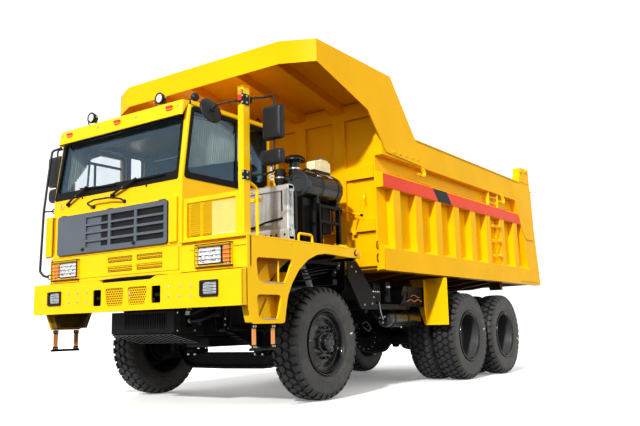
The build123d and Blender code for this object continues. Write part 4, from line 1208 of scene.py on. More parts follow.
# ------------------------------------------------------------------ headlamps beside the grille
def headlamps():
    p = Piece("head_lamp_set", "chassis", "lamp_metal")
    for s, y_in, y_out in ((1, 1.018, 1.540), (-1, 1.042, 1.562)):
        lo, hi = sorted((s * y_in, s * y_out))
        z0, z1 = 1.538, 1.788
        # tray and bezel
        p.add(holed(rounded(rect(lo, hi, z0, z1), 0.016, 3),
                    [rounded(rect(lo + 0.022, hi - 0.020, z0 + 0.026, z1 - 0.026), 0.014, 3)], "yz", 1.641, 1.664, 0.004), "yellow")
        p.add(block((1.641, lo + 0.010, z0 + 0.010), (1.646, hi - 0.010, z1 - 0.010), 0.001), "reflector")
        a, b = sorted((s * (y_in + 0.034), s * (y_in + 0.366)))
        p.add(prism(rounded(rect(a - 0.012, b + 0.012, z0 + 0.028, z1 - 0.028), 0.02, 4), "yz", 1.644, 1.666, 0.004), "plastic")
        p.add(prism(rounded(rect(a, b, z0 + 0.038, z1 - 0.038), 0.022, 4), "yz", 1.650, 1.672, 0.006), "clear_lens")
        c = (a + b) / 2
        for off, r in ((-0.085, 0.070), (0.085, 0.064)):
            p.add(lathe([(r, 0.0), (r, 0.004), (r * 0.93, 0.0065), (r * 0.9, 0.004), (r * 0.5, 0.001), (r * 0.22, 0.001),
                         (r * 0.2, 0.010), (r * 0.12, 0.014), (0, 0.0145)], (1.6715, c + off, 1.662), (1, 0, 0), 36), "reflector")
        a, b = sorted((s * (y_in + 0.394), s * (y_in + 0.500)))
        p.add(prism(rounded(rect(a, b, z0 + 0.040, z1 - 0.036), 0.022, 4), "yz", 1.644, 1.674, 0.008), "amber")
        for k in range(1, 5):
            z = z0 + 0.040 + (z1 - z0 - 0.076) * k / 5
            p.add(block((1.673, a + 0.006, z - 0.0015), (1.6765, b - 0.006, z + 0.0015), 0.0008), "amber")
        wire_guard(p, 1.692, lo + 0.004, hi - 0.004, z0 + 0.012, z1 - 0.010, 1.645, 5, r=0.0034)
        # black top and bottom bars of the guard
        for z in (z0 + 0.002, z1 - 0.002):
            p.add(tube([(1.645, lo, z), (1.691, lo, z), (1.691, hi, z), (1.645, hi, z)], 0.0065, 0.02, 8, 4), "plastic")
        for y in (lo + 0.010, hi - 0.010):
            for z in (z0 + 0.010, z1 - 0.010):
                p.add(bolt((1.663, y, z), (1, 0, 0), 0.006, 0.004), "steel")
    p.done(replaces=("headlamps",))


headlamps()


# ------------------------------------------------------------------ decks with step boxes
FENDER = ((1.684, 1.832), (-0.546, 1.832), (-0.525, 1.733), (-0.229, 1.724), (0.101, 1.735), (0.271, 1.737), (0.437, 1.712),
          (0.622, 1.640), (0.802, 1.512), (0.934, 1.352), (1.011, 1.211), (1.046, 1.060), (1.070, 0.937), (1.100, 0.922),
          (1.606, 0.919), (1.684, 1.127))
FENDER_RIGHT = ((1.636, 1.832),) + FENDER[1:11] + ((1.062, 1.105), (1.150, 0.937), (1.180, 0.922), (1.606, 0.919), (1.684, 1.127),
                                                    (1.684, 1.478), (1.636, 1.490))
WINDOWS = (((1.545, 1.614), (0.905, 1.628), (1.050, 1.366), (1.512, 1.356)), ((1.542, 1.224), (1.112, 1.228), (1.184, 0.968), (1.508, 0.969)))
WINDOW_R = ((0.05, 0.035, 0.07, 0.085), (0.05, 0.055, 0.06, 0.07))
TREADS = ((1.060, 1.520, 1.350), (1.180, 1.520, 0.962))


def fender(name, s, node):
    p = Piece(name, "chassis", "yellow_paint")
    out, back = (1.775, 0.0) if s > 0 else (1.650, 0.070)
    shape = FENDER if s > 0 else FENDER_RIGHT
    radii = ([0.004, 0.03, 0.03, 0.3, 0.3, 0.2, 0.2, 0.2, 0.2, 0.2, 0.2, 0.15, 0.02, 0.02, 0.03, 0.05] if s > 0 else
             [0.004, 0.03, 0.03, 0.3, 0.3, 0.2, 0.2, 0.2, 0.2, 0.2, 0.2, 0.10, 0.02, 0.02, 0.03, 0.05, 0.005, 0.005])

    def span(y0, y1):
        return sorted((s * y0, s * y1))
    outline = rounded(shape, radii, 4)
    holes = [rounded(w, r, 5) for w, r in zip(WINDOWS, WINDOW_R)]
    a, b = span(out - 0.015, out)
    p.add(holed(outline, holes, "xz", a, b, 0.003), "yellow")
    # turned-in lips around the windows and along the wheel arch
    for h in holes:
        n = len(h)
        mid = (sum(q[0] for q in h) / n, sum(q[1] for q in h) / n)
        outer = [(q[0] + (q[0] - mid[0]) * 0.028, q[1] + (q[1] - mid[1]) * 0.035) for q in h]
        a, b = span(out - 0.027, out - 0.014)
        p.add(ring_frame(outer, h, "xz", a, b), "yellow")
    arch = shape[2:11]
    p.add(strip([(x, s * (out - 0.023), z) for x, z in arch], 0.030, 0.006, (0, 1, 0), 0.0), "yellow")
    # the right box's inner faces take the dark olive copy of the yellow: painted shade
    inside = "yellow" if s > 0 else "yellow_painted_deep_shade"
    for x0, x1, z, deep in ((1.060, 1.520, 1.350, 0.295), (1.180 + back, 1.520, 0.962, 0.130)):
        a, b = span(out - deep if z < 1.2 else 1.480, out - 0.015)
        p.add(block((x0, a, z - 0.012), (x1, b, z), 0.002), inside)
        # serrated tread strip on the sill
        a, b = span(out - 0.075, out + 0.004)
        xa, xb = (1.086, 1.452) if z > 1.2 else (1.214 + back, 1.452)
        p.add(block((xa, a, z + 0.002), (xb, b, z + 0.010), 0.002), "tread")
        a, b = span(out - 0.005, out + 0.007)
        teeth = [block((xa + 0.008 + 0.02 * k, a, z + 0.008), (xa + 0.018 + 0.02 * k, b, z + 0.014), 0.001)
                 for k in range(int((xb - xa - 0.01) / 0.02))]
        p.add(join(*teeth), "tread")
    # walls behind the steps: the upper one further in
    a, b = span(1.468, 1.480)
    top = 1.738 if s > 0 else 1.500
    p.add(prism(rounded([(0.84, top), (1.640, top), (1.640, 1.338), (1.060, 1.338), (0.96, 1.40), (0.84, 1.498)], 0.01, 2), "xz", a, b, 0.002), "yellow")
    a, b = span(out - 0.130, out - 0.118)
    p.add(prism(rounded([(1.640, 1.350), (1.640, 1.150), (1.575, 0.950), (1.260, 0.950), (1.130, 1.120), (1.090, 1.300), (1.090, 1.350)],
                        [0.002, 0.03, 0.03, 0.05, 0.05, 0.02, 0.002], 3), "xz", a, b, 0.002), inside)
    # front closure of the box
    c = s * (out - 0.065)
    p.add(strip([(1.655, c, 1.500), (1.650, c, 1.140), (1.585, c, 0.938), (1.560, c, 0.936)], 0.112, 0.010, (0, 1, 0), 0.03), inside)
    # closure against the wheel
    a, b = span(out - 0.130, out - 0.013)
    p.add(prism([(1.075 + back, 0.940), (1.090 + back, 0.940), (1.060, 1.215), (0.995, 1.330), (0.978, 1.325), (1.040, 1.205)], "xz", a, b, 0.002), inside)
    a, b = span(1.480, out - 0.013)
    p.add(prism([(0.995, 1.330), (0.840, 1.500), (0.822, 1.500), (0.960, 1.350), (0.978, 1.325)], "xz", a, b, 0.002), "yellow")
    # slanted gussets inside the step boxes
    for zz, x0, x1, y in ((1.352, 1.10, 1.42, out - 0.175), (0.966, 1.19 + back, 1.42, out - 0.095)):
        p.add(prism([(x0, zz), (x1, zz), (x1 - 0.02, zz + 0.012), (x0 + 0.06, zz + 0.235)], "xz", *span(y - 0.003, y + 0.003), 0.001), "yellow")
    p.add(tube([(1.135, s * (out - 0.033), 1.37), (1.135, s * (out - 0.033), 1.60)], 0.011, 0, 10), "yellow")
    # side marker lamp
    c = Vector((-0.405, s * out, 1.786))
    p.add(lathe([(0.038, 0), (0.038, 0.006), (0.031, 0.010), (0.031, 0.016)], c, (0, s, 0), 24), "plastic")
    p.add(lathe([(0.030, 0.010), (0.029, 0.020), (0.020, 0.027), (0.0, 0.029)], c, (0, s, 0), 24), "amber")
    for x in (-0.46, 0.0, 0.5, 0.95):
        p.add(bolt((x, s * out, 1.808), (0, s, 0), 0.008, 0.005), "yellow")
    if s > 0:
        # front corner plate that carries the bumper's end
        p.add(prism([(1.672, 1.130), (1.684, 1.135), (1.684, 1.500), (1.672, 1.500)], "xz", 1.700, 1.774, 0.002), "yellow")
        p.add(block((-0.546, 0.770, 1.832), (1.684, 1.775, 1.850), 0.004), "yellow")
        p.add(holed(rounded(rect(0.766, 1.775, 1.510, 1.850), 0.006, 2), [], "yz", 1.620, 1.640, 0.003), "yellow")
        # raised slip ribs on the deck
        for i in range(13):
            for j in range(6):
                x, y = -0.45 + i * 0.085, 0.86 + j * 0.15
                if x < 0.66:
                    p.add(strip([(x - 0.018, y - 0.018, 1.851), (x + 0.018, y + 0.018, 1.851)], 0.008, 0.003, (1, -1, 0), 0), "yellow")
        for y in (0.835, 1.315):
            p.add(block((-0.540, y - 0.015, 1.740), (1.620, y + 0.015, 1.832), 0.003), "black")
        p.add(block((-0.520, 0.790, 1.560), (1.170, 0.850, 1.740), 0.004), "black")
        # yellow plates that close the step box towards the wheel and above
        p.add(strip([(0.60, 1.62, 1.742), (0.84, 1.62, 1.742), (1.64, 1.62, 1.742)], 0.290, 0.006, (0, 1, 0), 0.0), "yellow")
        p.add(prism([(0.60, 1.738), (0.84, 1.738), (0.84, 1.498), (0.70, 1.600), (0.60, 1.660)], "xz", 1.468, 1.480, 0.001), "yellow")
        p.add(prism([(1.095, 0.946), (1.555, 0.946), (1.590, 1.140), (1.600, 1.300), (1.020, 1.300), (1.065, 1.215)], "xz", 1.646, 1.652, 0.001), "yellow")
        p.add(block((-0.54, 0.85, 1.818), (0.78, 1.748, 1.831), 0.002), "black")
        p.add(block((0.80, 0.90, 1.738), (1.640, 1.760, 1.748), 0.002), "yellow")
        p.add(block((1.612, 0.90, 1.500), (1.620, 1.760, 1.745), 0.002), "yellow")
        p.add(tube([(0.430, 1.700, 1.845), (0.430, 1.700, 1.950), (0.700, 1.700, 1.950), (0.700, 1.700, 1.845)], 0.016, 0.06, 16, 7), "yellow")
        for x in (0.43, 0.70):
            p.add(lathe([(0.030, 0), (0.030, 0.004), (0.020, 0.008)], (x, 1.700, 1.850), (0, 0, 1), 20), "yellow")
        for z in (1.535, 1.825):
            for y in (0.80, 1.00, 1.60, 1.74):
                p.add(bolt((1.640, y, z), (1, 0, 0), 0.007, 0.004), "yellow")
    else:
        p.add(block((-0.546, -1.650, 1.820), (1.636, -1.626, 1.832), 0.003), "yellow")
        p.add(block((-0.546, -1.640, 1.820), (0.030, -1.560, 1.832), 0.003), "yellow")
        p.add(block((-0.540, -1.635, 1.760), (0.030, -1.605, 1.820), 0.003), "yellow")
        p.add(block((-0.540, -1.635, 1.740), (-0.500, -1.560, 1.820), 0.003), "yellow")
        for i in range(24):
            p.add(strip([(-0.48 + i * 0.088, -1.640, 1.8335), (-0.45 + i * 0.088, -1.628, 1.8335)], 0.010, 0.003, (1, 0.3, 0), 0), "yellow")
    p.done(replaces=(node,))


fender("left_deck_plates", 1, "left_deck")
fender("right_fender_plates", -1, "right_fender")


def hanging_steps():
    p = Piece("hanging_step_straps", "chassis", "strap_webbing")
    for s, y in ((1, 1.740), (-1, 1.615)):
        for x in (1.552, 1.240):
            a, b = sorted((s * (y - 0.0035), s * (y + 0.0035)))
            p.add(block((x - 0.032, a, 0.672), (x + 0.032, b, 0.915), 0.002), "strap")
            a, b = sorted((s * (y - 0.009), s * (y + 0.009)))
            for z in (0.893, 0.682):
                p.add(block((x - 0.036, a, z - 0.022), (x + 0.036, b, z + 0.022), 0.003), "black")
                for dx in (-0.017, 0.017):
                    p.add(bolt((x + dx, s * (y + 0.009), z), (0, s, 0), 0.0085, 0.006), "steel")
                    p.add(bolt((x + dx, s * (y - 0.009), z), (0, -s, 0), 0.0085, 0.006), "steel")
        a, b = sorted((s * (y - 0.024), s * (y + 0.024)))
        p.add(block((1.197, a, 0.644), (1.610, b, 0.668), 0.004), "black")
        teeth = [block((1.205 + 0.020 * k, a + 0.004, 0.667), (1.213 + 0.020 * k, b - 0.004, 0.673), 0.001) for k in range(20)]
        p.add(join(*teeth), "black")
    p.done(replaces=("hanging_steps",))


hanging_steps()


# ------------------------------------------------------------------ cab body
WS_O = Vector((1.640, 0.0, 2.600))
_v = Vector((-0.143, 0, 1)).normalized()
_n = Vector((1, 0, 0.143)).normalized()
WS = Matrix((Vector((0, 1, 0)), _v, _n)).transposed()


def on_screen(part, lift=0.0):
    """Places a part drawn in (across, up, outward) on the windscreen's plane."""
    return moved(part, WS, WS_O + _n * lift)


def screen_point(y, z, lift=0.0):
    return WS_O + Vector((-0.143 * (z - 2.6), y, z - 2.6)) + _n * lift


def cab():
    cuts = []
    for a, b in ((-0.500, -0.055), (0.020, 0.460)):
        for z0, z1 in ((1.703, 1.768), (1.588, 1.657)):
            cuts.append(prism(rounded(rect(a, b, z0, z1), 0.012, 3), "yz", 1.628, 1.70, 0))
    cuts.append(prism(rounded(rect(0.556, 0.578, 1.880, 2.372), 0.004, 2), "yz", 1.615, 1.70, 0))
    cuts.append(prism(rounded(rect(-1.598, -1.560, 1.880, 2.372), 0.004, 2), "yz", 1.615, 1.70, 0))
    corner = lambda a, b: (min(a.x, b.x) > 1.49 and abs(a.y - b.y) < 0.01 and abs(a.z - b.z) > 0.3
                           and (a.y > 0.755 or a.y < -1.615))
    cut_copy("cab_shell", "cab_shell_body", "yellow", cuts, corner, 0.042, 0.006,
             mats=[("headlining", lambda c, n: 0.10 < c.x < 1.60 and -1.575 < c.y < 0.715 and c.z > 1.9
                    and not (abs(n.x) > 0.5 and c.x > 1.55)),
                   ("floor_mat", lambda c, n: 0.10 < c.x < 1.60 and -1.575 < c.y < 0.715 and c.z <= 1.9 and c.z > 1.54)])
    p = Piece("cab_front_details", "chassis", "yellow_paint")
    # perforated sheets in the four slots, on a black backing that is painted shade behind the holes
    for a, b in ((-0.500, -0.055), (0.020, 0.460)):
        for z0, z1 in ((1.703, 1.768), (1.588, 1.657)):
            p.add(perforated(lambda y, z: a < y < b and z0 < z < z1, a, b, z0, z1, 1.6355, 0.0265, 0.0108, 0.002), "yellow")
            p.add(block((1.6285, a, z0), (1.6295, b, z1), 0.0002), "black_film_and_painted_shade")
    # air deflectors at both front corners
    for y0, y1 in ((0.582, 0.711), (-1.729, -1.604)):
        p.add(prism(rounded(rect(y0, y1, 1.862, 2.384), 0.012, 3), "yz", 1.648, 1.668, 0.006), "yellow")
        lo = [(1.640, 1.885), (1.662, 1.885), (1.662, 1.862), (1.650, 1.848), (1.640, 1.848)]
        p.add(prism(lo, "xz", y0 + 0.006, y1 - 0.006, 0.003), "yellow")
        p.add(prism([(1.640, 2.360), (1.662, 2.360), (1.662, 2.380), (1.640, 2.392)], "xz", y0 + 0.006, y1 - 0.006, 0.003), "yellow")
        for z in (1.95, 2.30):
            p.add(block((1.640 if y0 > 0 else 1.60, y0 + 0.02, z - 0.02), (1.650, y1 - 0.02, z + 0.02), 0.002), "yellow")
    p.add(strip([(1.6405, 0.727, 1.533), (1.6405, 0.727, 1.812)], 0.008, 0.002, (0, 1, 0), 0), "black_film_and_painted_shade")
    # black strip along the cab's lower edge above the bumper: painted shadow of the gap
    p.add(block((1.560, -1.66, 1.488), (1.640, 1.74, 1.506), 0.002), "black_film_and_painted_shade")
    # folded seams: below the screen and down the sides of the front panel
    p.add(block((1.6395, -1.575, 1.826), (1.6415, 0.700, 1.830), 0.0005), "black_film_and_painted_shade")
    p.add(strip([(1.6405, -1.56, 1.545), (1.6405, 0.72, 1.545)], 0.004, 0.002, (0, 0, 1), 0), "black_film_and_painted_shade")
    # black grab handle below the screen
    p.add(tube([(1.645, -0.782, 2.428), (1.690, -0.800, 2.440), (1.700, -0.852, 2.474), (1.712, -0.70, 2.500), (1.712, -0.42, 2.494),
                (1.700, -0.222, 2.462), (1.645, -0.205, 2.432)], 0.011, 0.03, 12), "plastic")
    for y, z in ((-0.782, 2.428), (-0.205, 2.432)):
        p.add(lathe([(0.026, 0), (0.025, 0.008), (0.014, 0.012)], (1.640, y, z), (1, 0, 0), 20), "plastic")
    # towing-cable hook, stud and washer jets
    p.add(tube([(1.640, -1.452, 2.535), (1.662, -1.455, 2.535), (1.668, -1.440, 2.495), (1.668, -1.412, 2.480), (1.668, -1.388, 2.500),
                (1.668, -1.385, 2.520)], 0.0045, 0.02, 8), "steel")
    p.add(tube([(1.640, -0.555, 2.518), (1.664, -0.555, 2.520), (1.664, -0.555, 2.548)], 0.005, 0.01, 8), "steel")
    for y in (-1.02, 0.18):
        p.add(lathe([(0.013, 0), (0.012, 0.008), (0.006, 0.014), (0, 0.015)], (1.640, y, 2.572), (1, 0, 0), 14), "plastic")
    # screen seal: a wide dark band below, narrow at the sides; along the top the seal is widened into painted shadow
    # under the visor
    H = 0.853
    outer = rounded([(-1.590, -0.012), (0.707, -0.012), (0.690, H), (-1.566, H)], [0.03, 0.03, 0.06, 0.06], 5)
    inner = rounded([(-1.552, 0.088), (0.668, 0.088), (0.648, H - 0.095), (-1.526, H - 0.095)], [0.05, 0.05, 0.05, 0.05], 5)
    p.add(on_screen(ring_frame(outer, inner, "xy", -0.022, 0.010, 0.004)), "seal")
    # side window seal
    o = rounded([(1.603, 2.598), (1.487, 3.455), (1.448, 3.482), (0.112, 3.482), (0.112, 2.728), (0.190, 2.684), (0.668, 2.598)],
                [0.05, 0.05, 0.05, 0.07, 0.05, 0.10, 0.08], 5)
    i = rounded([(1.548, 2.675), (1.442, 3.412), (1.420, 3.428), (0.168, 3.428), (0.168, 2.776), (0.222, 2.748), (0.690, 2.676)],
                [0.06, 0.05, 0.05, 0.08, 0.05, 0.10, 0.08], 5)
    p.add(ring_frame(o, i, "xz", 0.732, 0.768, 0.004), "seal")
    # bars of the sliding side pane
    p.add(block((0.690, 0.745, 2.660), (0.716, 0.762, 3.44), 0.004), "seal")
    # black filler behind the right deflector: painted shade in the gap beside it
    p.add(block((1.596, -1.664, 1.868), (1.649, -1.600, 2.378), 0.003), "black_film_and_painted_shade")
    # rear window and quarter pane seals
    o = rounded(rect(-1.362, 0.512, 2.688, 3.262), 0.06, 5)
    i = rounded(rect(-1.322, 0.472, 2.728, 3.222), 0.06, 5)
    p.add(ring_frame(o, i, "yz", 0.040, 0.078, 0.004), "seal")
    o = rounded(rect(0.128, 0.412, 2.708, 3.442), 0.04, 5)
    i = rounded(rect(0.162, 0.378, 2.742, 3.408), 0.04, 5)
    p.add(ring_frame(o, i, "xz", -1.628, -1.600, 0.003), "seal")
    # stiffening swages on the back wall
    for z in (1.78, 2.02, 2.26, 2.50):
        p.add(prism([(0.050, z - 0.030), (0.040, z - 0.018), (0.040, z + 0.018), (0.050, z + 0.030)], "xz", -1.45, 0.60, 0.002), "yellow")
    # lifting rings and rear marker lamp
    for x, y in ((0.24, 0.735), (0.24, -1.595), (1.30, -1.595)):
        p.add(tube([(x - 0.035, y, 3.540), (x - 0.035, y, 3.575), (x, y, 3.600), (x + 0.035, y, 3.575), (x + 0.035, y, 3.540)], 0.009, 0.03, 10), "black")
    p.add(drum((1.42, 0.700, 3.538), (0, 0, 1), 0.038, 0.045, 0.008), "plastic")
    p.done()


cab()


def wipers():
    p = Piece("screen_wipers", "chassis")
    for pivot, elbow, b0, b1 in (((-1.295, 2.516), (-0.902, 2.687), (-1.058, 2.690), (-0.374, 2.650)),
                                 ((-0.422, 2.528), (0.034, 2.668), (-0.167, 2.662), (0.493, 2.660))):
        base = Vector((1.640, pivot[0], pivot[1]))
        p.add(lathe([(0.030, 0), (0.030, 0.012), (0.022, 0.020), (0.021, 0.034), (0.012, 0.040), (0, 0.041)], base, (1, 0, 0), 24), "plastic")
        a = Vector((1.672, pivot[0], pivot[1]))
        e = screen_point(elbow[0], elbow[1], 0.050)
        mid = a.lerp(e, 0.45) + Vector((0.012, 0, 0))
        p.add(strip([a, mid, e], 0.032, 0.014, (-0.3, -0.35, 0.85), 0.05), "seal")
        p.add(tube([a + Vector((0, 0.03, 0.005)), a.lerp(e, 0.5) + Vector((0.018, 0.012, -0.004))], 0.006, 0, 8), "steel")
        s0, s1 = screen_point(b0[0], b0[1], 0.028), screen_point(b1[0], b1[1], 0.028)
        m = s0.lerp(s1, 0.5)
        p.add(strip([s0.lerp(s1, 0.15), e.lerp(m, 0.6), m + Vector((0.02, 0, 0)), s0.lerp(s1, 0.85)], 0.012, 0.007, (0, 0, 1), 0.1), "plastic")
        p.add(tube([s0, m, s1], 0.0100, 0, 8), "seal")
        p.add(tube([s0 - _n * 0.012, s1 - _n * 0.012], 0.004, 0, 6), "seal")
    p.done()


wipers()


def grille():
    p = Piece("grille_louvre_panel", "chassis", "grille_paint")
    y0, y1, z0, z1 = -1.475, 0.560, 1.858, 2.362
    holes, slots = [], []
    rows = ((2.226, 2.298), (2.130, 2.190), (2.027, 2.092), (1.930, 1.987))
    for a, b in ((-0.900, -0.475), (-0.424, 0.000), (0.046, 0.505)):
        for lo, hi in rows:
            slots.append((a, b, lo - 0.006, hi + 0.006))
            holes.append(rounded(rect(a, b, lo - 0.006, hi + 0.006), 0.008, 3))
    p.add(holed(rounded(rect(y0, y1, z0, z1), 0.040, 6), holes, "yz", 1.652, 1.672, 0.004), "grille")
    # black sheet behind the panel: painted shade seen through the openings
    p.add(block((1.641, y0 + 0.01, z0 + 0.01), (1.645, y1 - 0.01, z1 - 0.01), 0.001), "black_film_and_painted_shade")
    for a, b, lo, hi in slots:
        # hooded louvre above each slot and a bright turned edge at its left end
        p.add(prism([(1.656, hi + 0.004), (1.678, hi + 0.004), (1.682, hi - 0.004), (1.658, hi - 0.012)], "xz", a - 0.004, b + 0.004, 0.0015), "grille")
        p.add(block((1.650, a - 0.001, lo), (1.676, a + 0.006, hi), 0.001), "grille")
        if a < -0.6:
            cut = a + (b - a) * 0.66
            p.add(block((1.646, a, lo), (1.657, cut, hi), 0.002), "grille")
            a = cut
        p.add(perforated(lambda y, z: a < y < b and lo < z < hi, a, b, lo, hi, 1.6525, 0.0150, 0.0058, 0.002), "mesh_dark")
        p.add(block((1.6452, a, lo), (1.6462, b, hi), 0.0002), "fins_dark")
    for y in (-0.949, 0.006):
        p.add(drum((1.671, y, 1.905), (1, 0, 0), 0.024, 0.010, 0.003), "plastic")
        p.add(block((1.679, y - 0.030, 1.897), (1.690, y + 0.010, 1.911), 0.003), "plastic")
    for y in (y0 + 0.10, -0.46, y1 - 0.10):
        p.add(block((1.640, y - 0.05, z1 - 0.004), (1.662, y + 0.05, z1 + 0.012), 0.003), "plastic")
    p.done(replaces=("grille_panel",))


grille()


def roof():
    cut_copy("cab_roof", "cab_roof_body", "yellow", [], lambda a, b: min(a.x, b.x) > 1.40 and abs(a.y - b.y) < 0.02
             and (a.y > 0.72 or a.y < -1.56) and abs(a.z - b.z) > 0.1, 0.055, 0.007)
    p = Piece("roof_lamps_and_trim", "chassis")
    for y in (-1.354, -0.402, 0.530):
        c = Vector((1.612, y, 3.462))
        n = (1, 0, 0.16)
        p.add(moved(prism(rounded(rect(-0.060, 0.060, -0.030, 0.030), 0.024, 5), "yz", 0.0, 0.010, 0.003), None, c), "amber")
        p.add(moved(prism(rounded(rect(-0.052, 0.054, -0.008, 0.025), 0.015, 4), "yz", 0.008, 0.026, 0.007), None, c), "red_lens")
        p.add(moved(prism(rounded(rect(-0.052, 0.050, -0.026, -0.009), 0.008, 4), "yz", 0.008, 0.022, 0.005), None, c), "amber")
    for y in (-1.52, -0.783, -0.063, 0.659):
        p.add(bolt((1.612, y, 3.466), (1, 0, 0.15), 0.011, 0.007), "steel")
    # seam where the visor meets the roof
    p.add(strip([(1.481, -1.57, 3.5425), (1.481, 0.73, 3.5425)], 0.006, 0.003, (1, 0, 0), 0), "black_film_and_painted_shade")
    for y in (-1.040, 0.250):
        base = Vector((1.500, y, 3.540))
        p.add(prism(rounded(rect(1.475, 1.525, y - 0.035, y + 0.035), 0.01, 3), "xy", 3.538, 3.548, 0.002), "plastic")
        p.add(tube([(1.500, y - 0.085, 3.660), (1.500, y - 0.085, 3.590), (1.500, y, 3.556), (1.500, y + 0.085, 3.590),
                    (1.500, y + 0.085, 3.660)], 0.007, 0.04, 10), "plastic")
        p.add(drum((1.500, y, 3.540), (0, 0, 1), 0.014, 0.03, 0.002), "plastic")
        body = [(0, -0.066), (0.030, -0.064), (0.052, -0.044), (0.066, -0.010), (0.070, 0.010), (0.073, 0.014), (0.073, 0.030),
                (0.058, 0.034), (0.053, 0.026)]
        p.add(lathe(body, (1.500, y, 3.660), (1, 0, 0), 32), "plastic")
        p.add(lathe([(0.054, 0.026), (0.040, 0.031), (0.020, 0.033), (0, 0.0335)], (1.500, y, 3.660), (1, 0, 0), 32), "clear_lens")
        p.add(lathe([(0.022, 0.0335), (0.020, 0.037), (0, 0.038)], (1.500, y, 3.660), (1, 0, 0), 24), "reflector")
        p.add(bolt((1.500, y - 0.080, 3.660), (0, -1, 0), 0.010, 0.008), "steel")
        p.add(bolt((1.500, y + 0.080, 3.660), (0, 1, 0), 0.010, 0.008), "steel")
        p.add(tube([(1.46, y, 3.65), (1.43, y + 0.02, 3.60), (1.42, y + 0.03, 3.545)], 0.005, 0.02, 8), "hose")
    # shallow ribs and hatch on the roof
    for k in range(6):
        y = -1.38 + 0.38 * k
        p.add(prism([(y - 0.03, 3.540), (y - 0.015, 3.548), (y + 0.015, 3.548), (y + 0.03, 3.540)], "yz", 0.14, 0.55 if 0 < k < 5 else 1.35, 0.001), "yellow")
    p.add(prism(rounded([(0.66, -0.75), (1.20, -0.75), (1.20, -0.10), (0.66, -0.10)], 0.05, 5), "xy", 3.538, 3.560, 0.005), "plastic")
    # beacon and horn beside the roof's left edge
    p.add(drum((1.40, 0.680, 3.538), (0, 0, 1), 0.045, 0.020, 0.004), "plastic")
    p.add(drum((1.40, 0.700, 3.545), (0, 0, 1), 0.016, 0.05, 0.003), "plastic")
    p.add(lathe([(0, -0.05), (0.030, -0.046), (0.050, -0.020), (0.052, 0.0), (0.046, 0.014), (0.030, 0.024), (0.012, 0.028), (0, 0.028)], (1.40, 0.735, 3.612), (0.5, 0.85, 0.15), 32), "plastic")
    p.done()


roof()


def door_details():
    p = Piece("door_window_bars", "cab_door")
    o = rounded([(0.500, 2.605), (1.410, 2.605), (1.410, 3.378), (0.500, 3.378)], 0.05, 5)
    i = rounded([(0.530, 2.640), (1.380, 2.640), (1.380, 3.345), (0.530, 3.345)], 0.04, 5)
    p.add(ring_frame(o, i, "xz", -1.6215, -1.600), "seal")
    p.add(ring_frame(o, i, "xz", -1.590, -1.570), "seal")
    p.add(block((0.52, -1.606, 3.190), (1.39, -1.584, 3.225), 0.003), "seal")
    p.add(block((1.000, -1.606, 2.630), (1.030, -1.584, 3.200), 0.003), "seal")
    # outside handle in its dish, lock, lower trim, inner panel and pull
    p.add(prism(rounded([(0.560, 2.380), (0.760, 2.380), (0.760, 2.470), (0.560, 2.470)], 0.03, 4), "xz", -1.6205, -1.617, 0.001), "black_film_and_painted_shade")
    p.add(tube([(0.580, -1.617, 2.430), (0.585, -1.650, 2.432), (0.735, -1.650, 2.432), (0.740, -1.617, 2.430)], 0.011, 0.02, 10), "plastic")
    p.add(lathe([(0.016, 0), (0.015, 0.005), (0.006, 0.006), (0, 0.006)], (0.66, -1.617, 2.345), (0, -1, 0), 18), "steel")
    p.add(prism(rounded([(0.56, 1.92), (1.35, 1.92), (1.35, 2.52), (0.56, 2.52)], 0.05, 4), "xz", -1.572, -1.556, 0.006), "headlining")
    p.add(tube([(0.72, -1.556, 2.22), (0.72, -1.520, 2.24), (1.05, -1.520, 2.24), (1.05, -1.556, 2.22)], 0.012, 0.03, 10), "plastic")
    p.add(strip([(0.53, -1.6185, 2.020), (1.38, -1.6185, 2.020)], 0.012, 0.003, (0, 0, 1), 0), "yellow")
    for z in (2.05, 2.48):
        p.add(block((1.34, -1.630, z - 0.035), (1.425, -1.616, z + 0.035), 0.004), "black")
        for dx in (1.36, 1.39):
            p.add(bolt((dx, -1.630, z), (0, -1, 0), 0.007, 0.005), "steel")
    p.done()


door_details()


# ------------------------------------------------------------------ posts, mirrors, rails
def shell(outline, rings, at, plane="yz", caps=(True, True)):
    """Rings of one outline: (scale, offset outward) each, closed at both ends."""
    n = len(outline)
    cy = sum(p[0] for p in outline) / n
    cz = sum(p[1] for p in outline) / n
    half = min(max(abs(p[0] - cy) for p in outline), max(abs(p[1] - cz) for p in outline))
    verts, faces = [], []
    for k, off in rings:
        inset = (1 - k) * half
        for y, z in outline:
            dy, dz = y - cy, z - cz
            my = max(abs(p[0] - cy) for p in outline)
            mz = max(abs(p[1] - cz) for p in outline)
            sy, sz = (my - inset) / my, (mz - inset) / mz
            q = (cy + dy * max(sy, 0.02), cz + dz * max(sz, 0.02))
            if plane == "yz":
                verts.append((at + off, q[0], q[1]))
            elif plane == "xz":
                verts.append((q[0], at + off, q[1]))
            else:
                verts.append((q[0], q[1], at + off))
    m = len(rings)
    for a in range(m - 1):
        for i in range(n):
            j = (i + 1) % n
            faces.append((a * n + i, a * n + j, (a + 1) * n + j, (a + 1) * n + i))
    if caps[0]:
        faces.append(tuple(reversed(range(n))))
    if caps[1]:
        faces.append(tuple(range((m - 1) * n, m * n)))
    return verts, faces


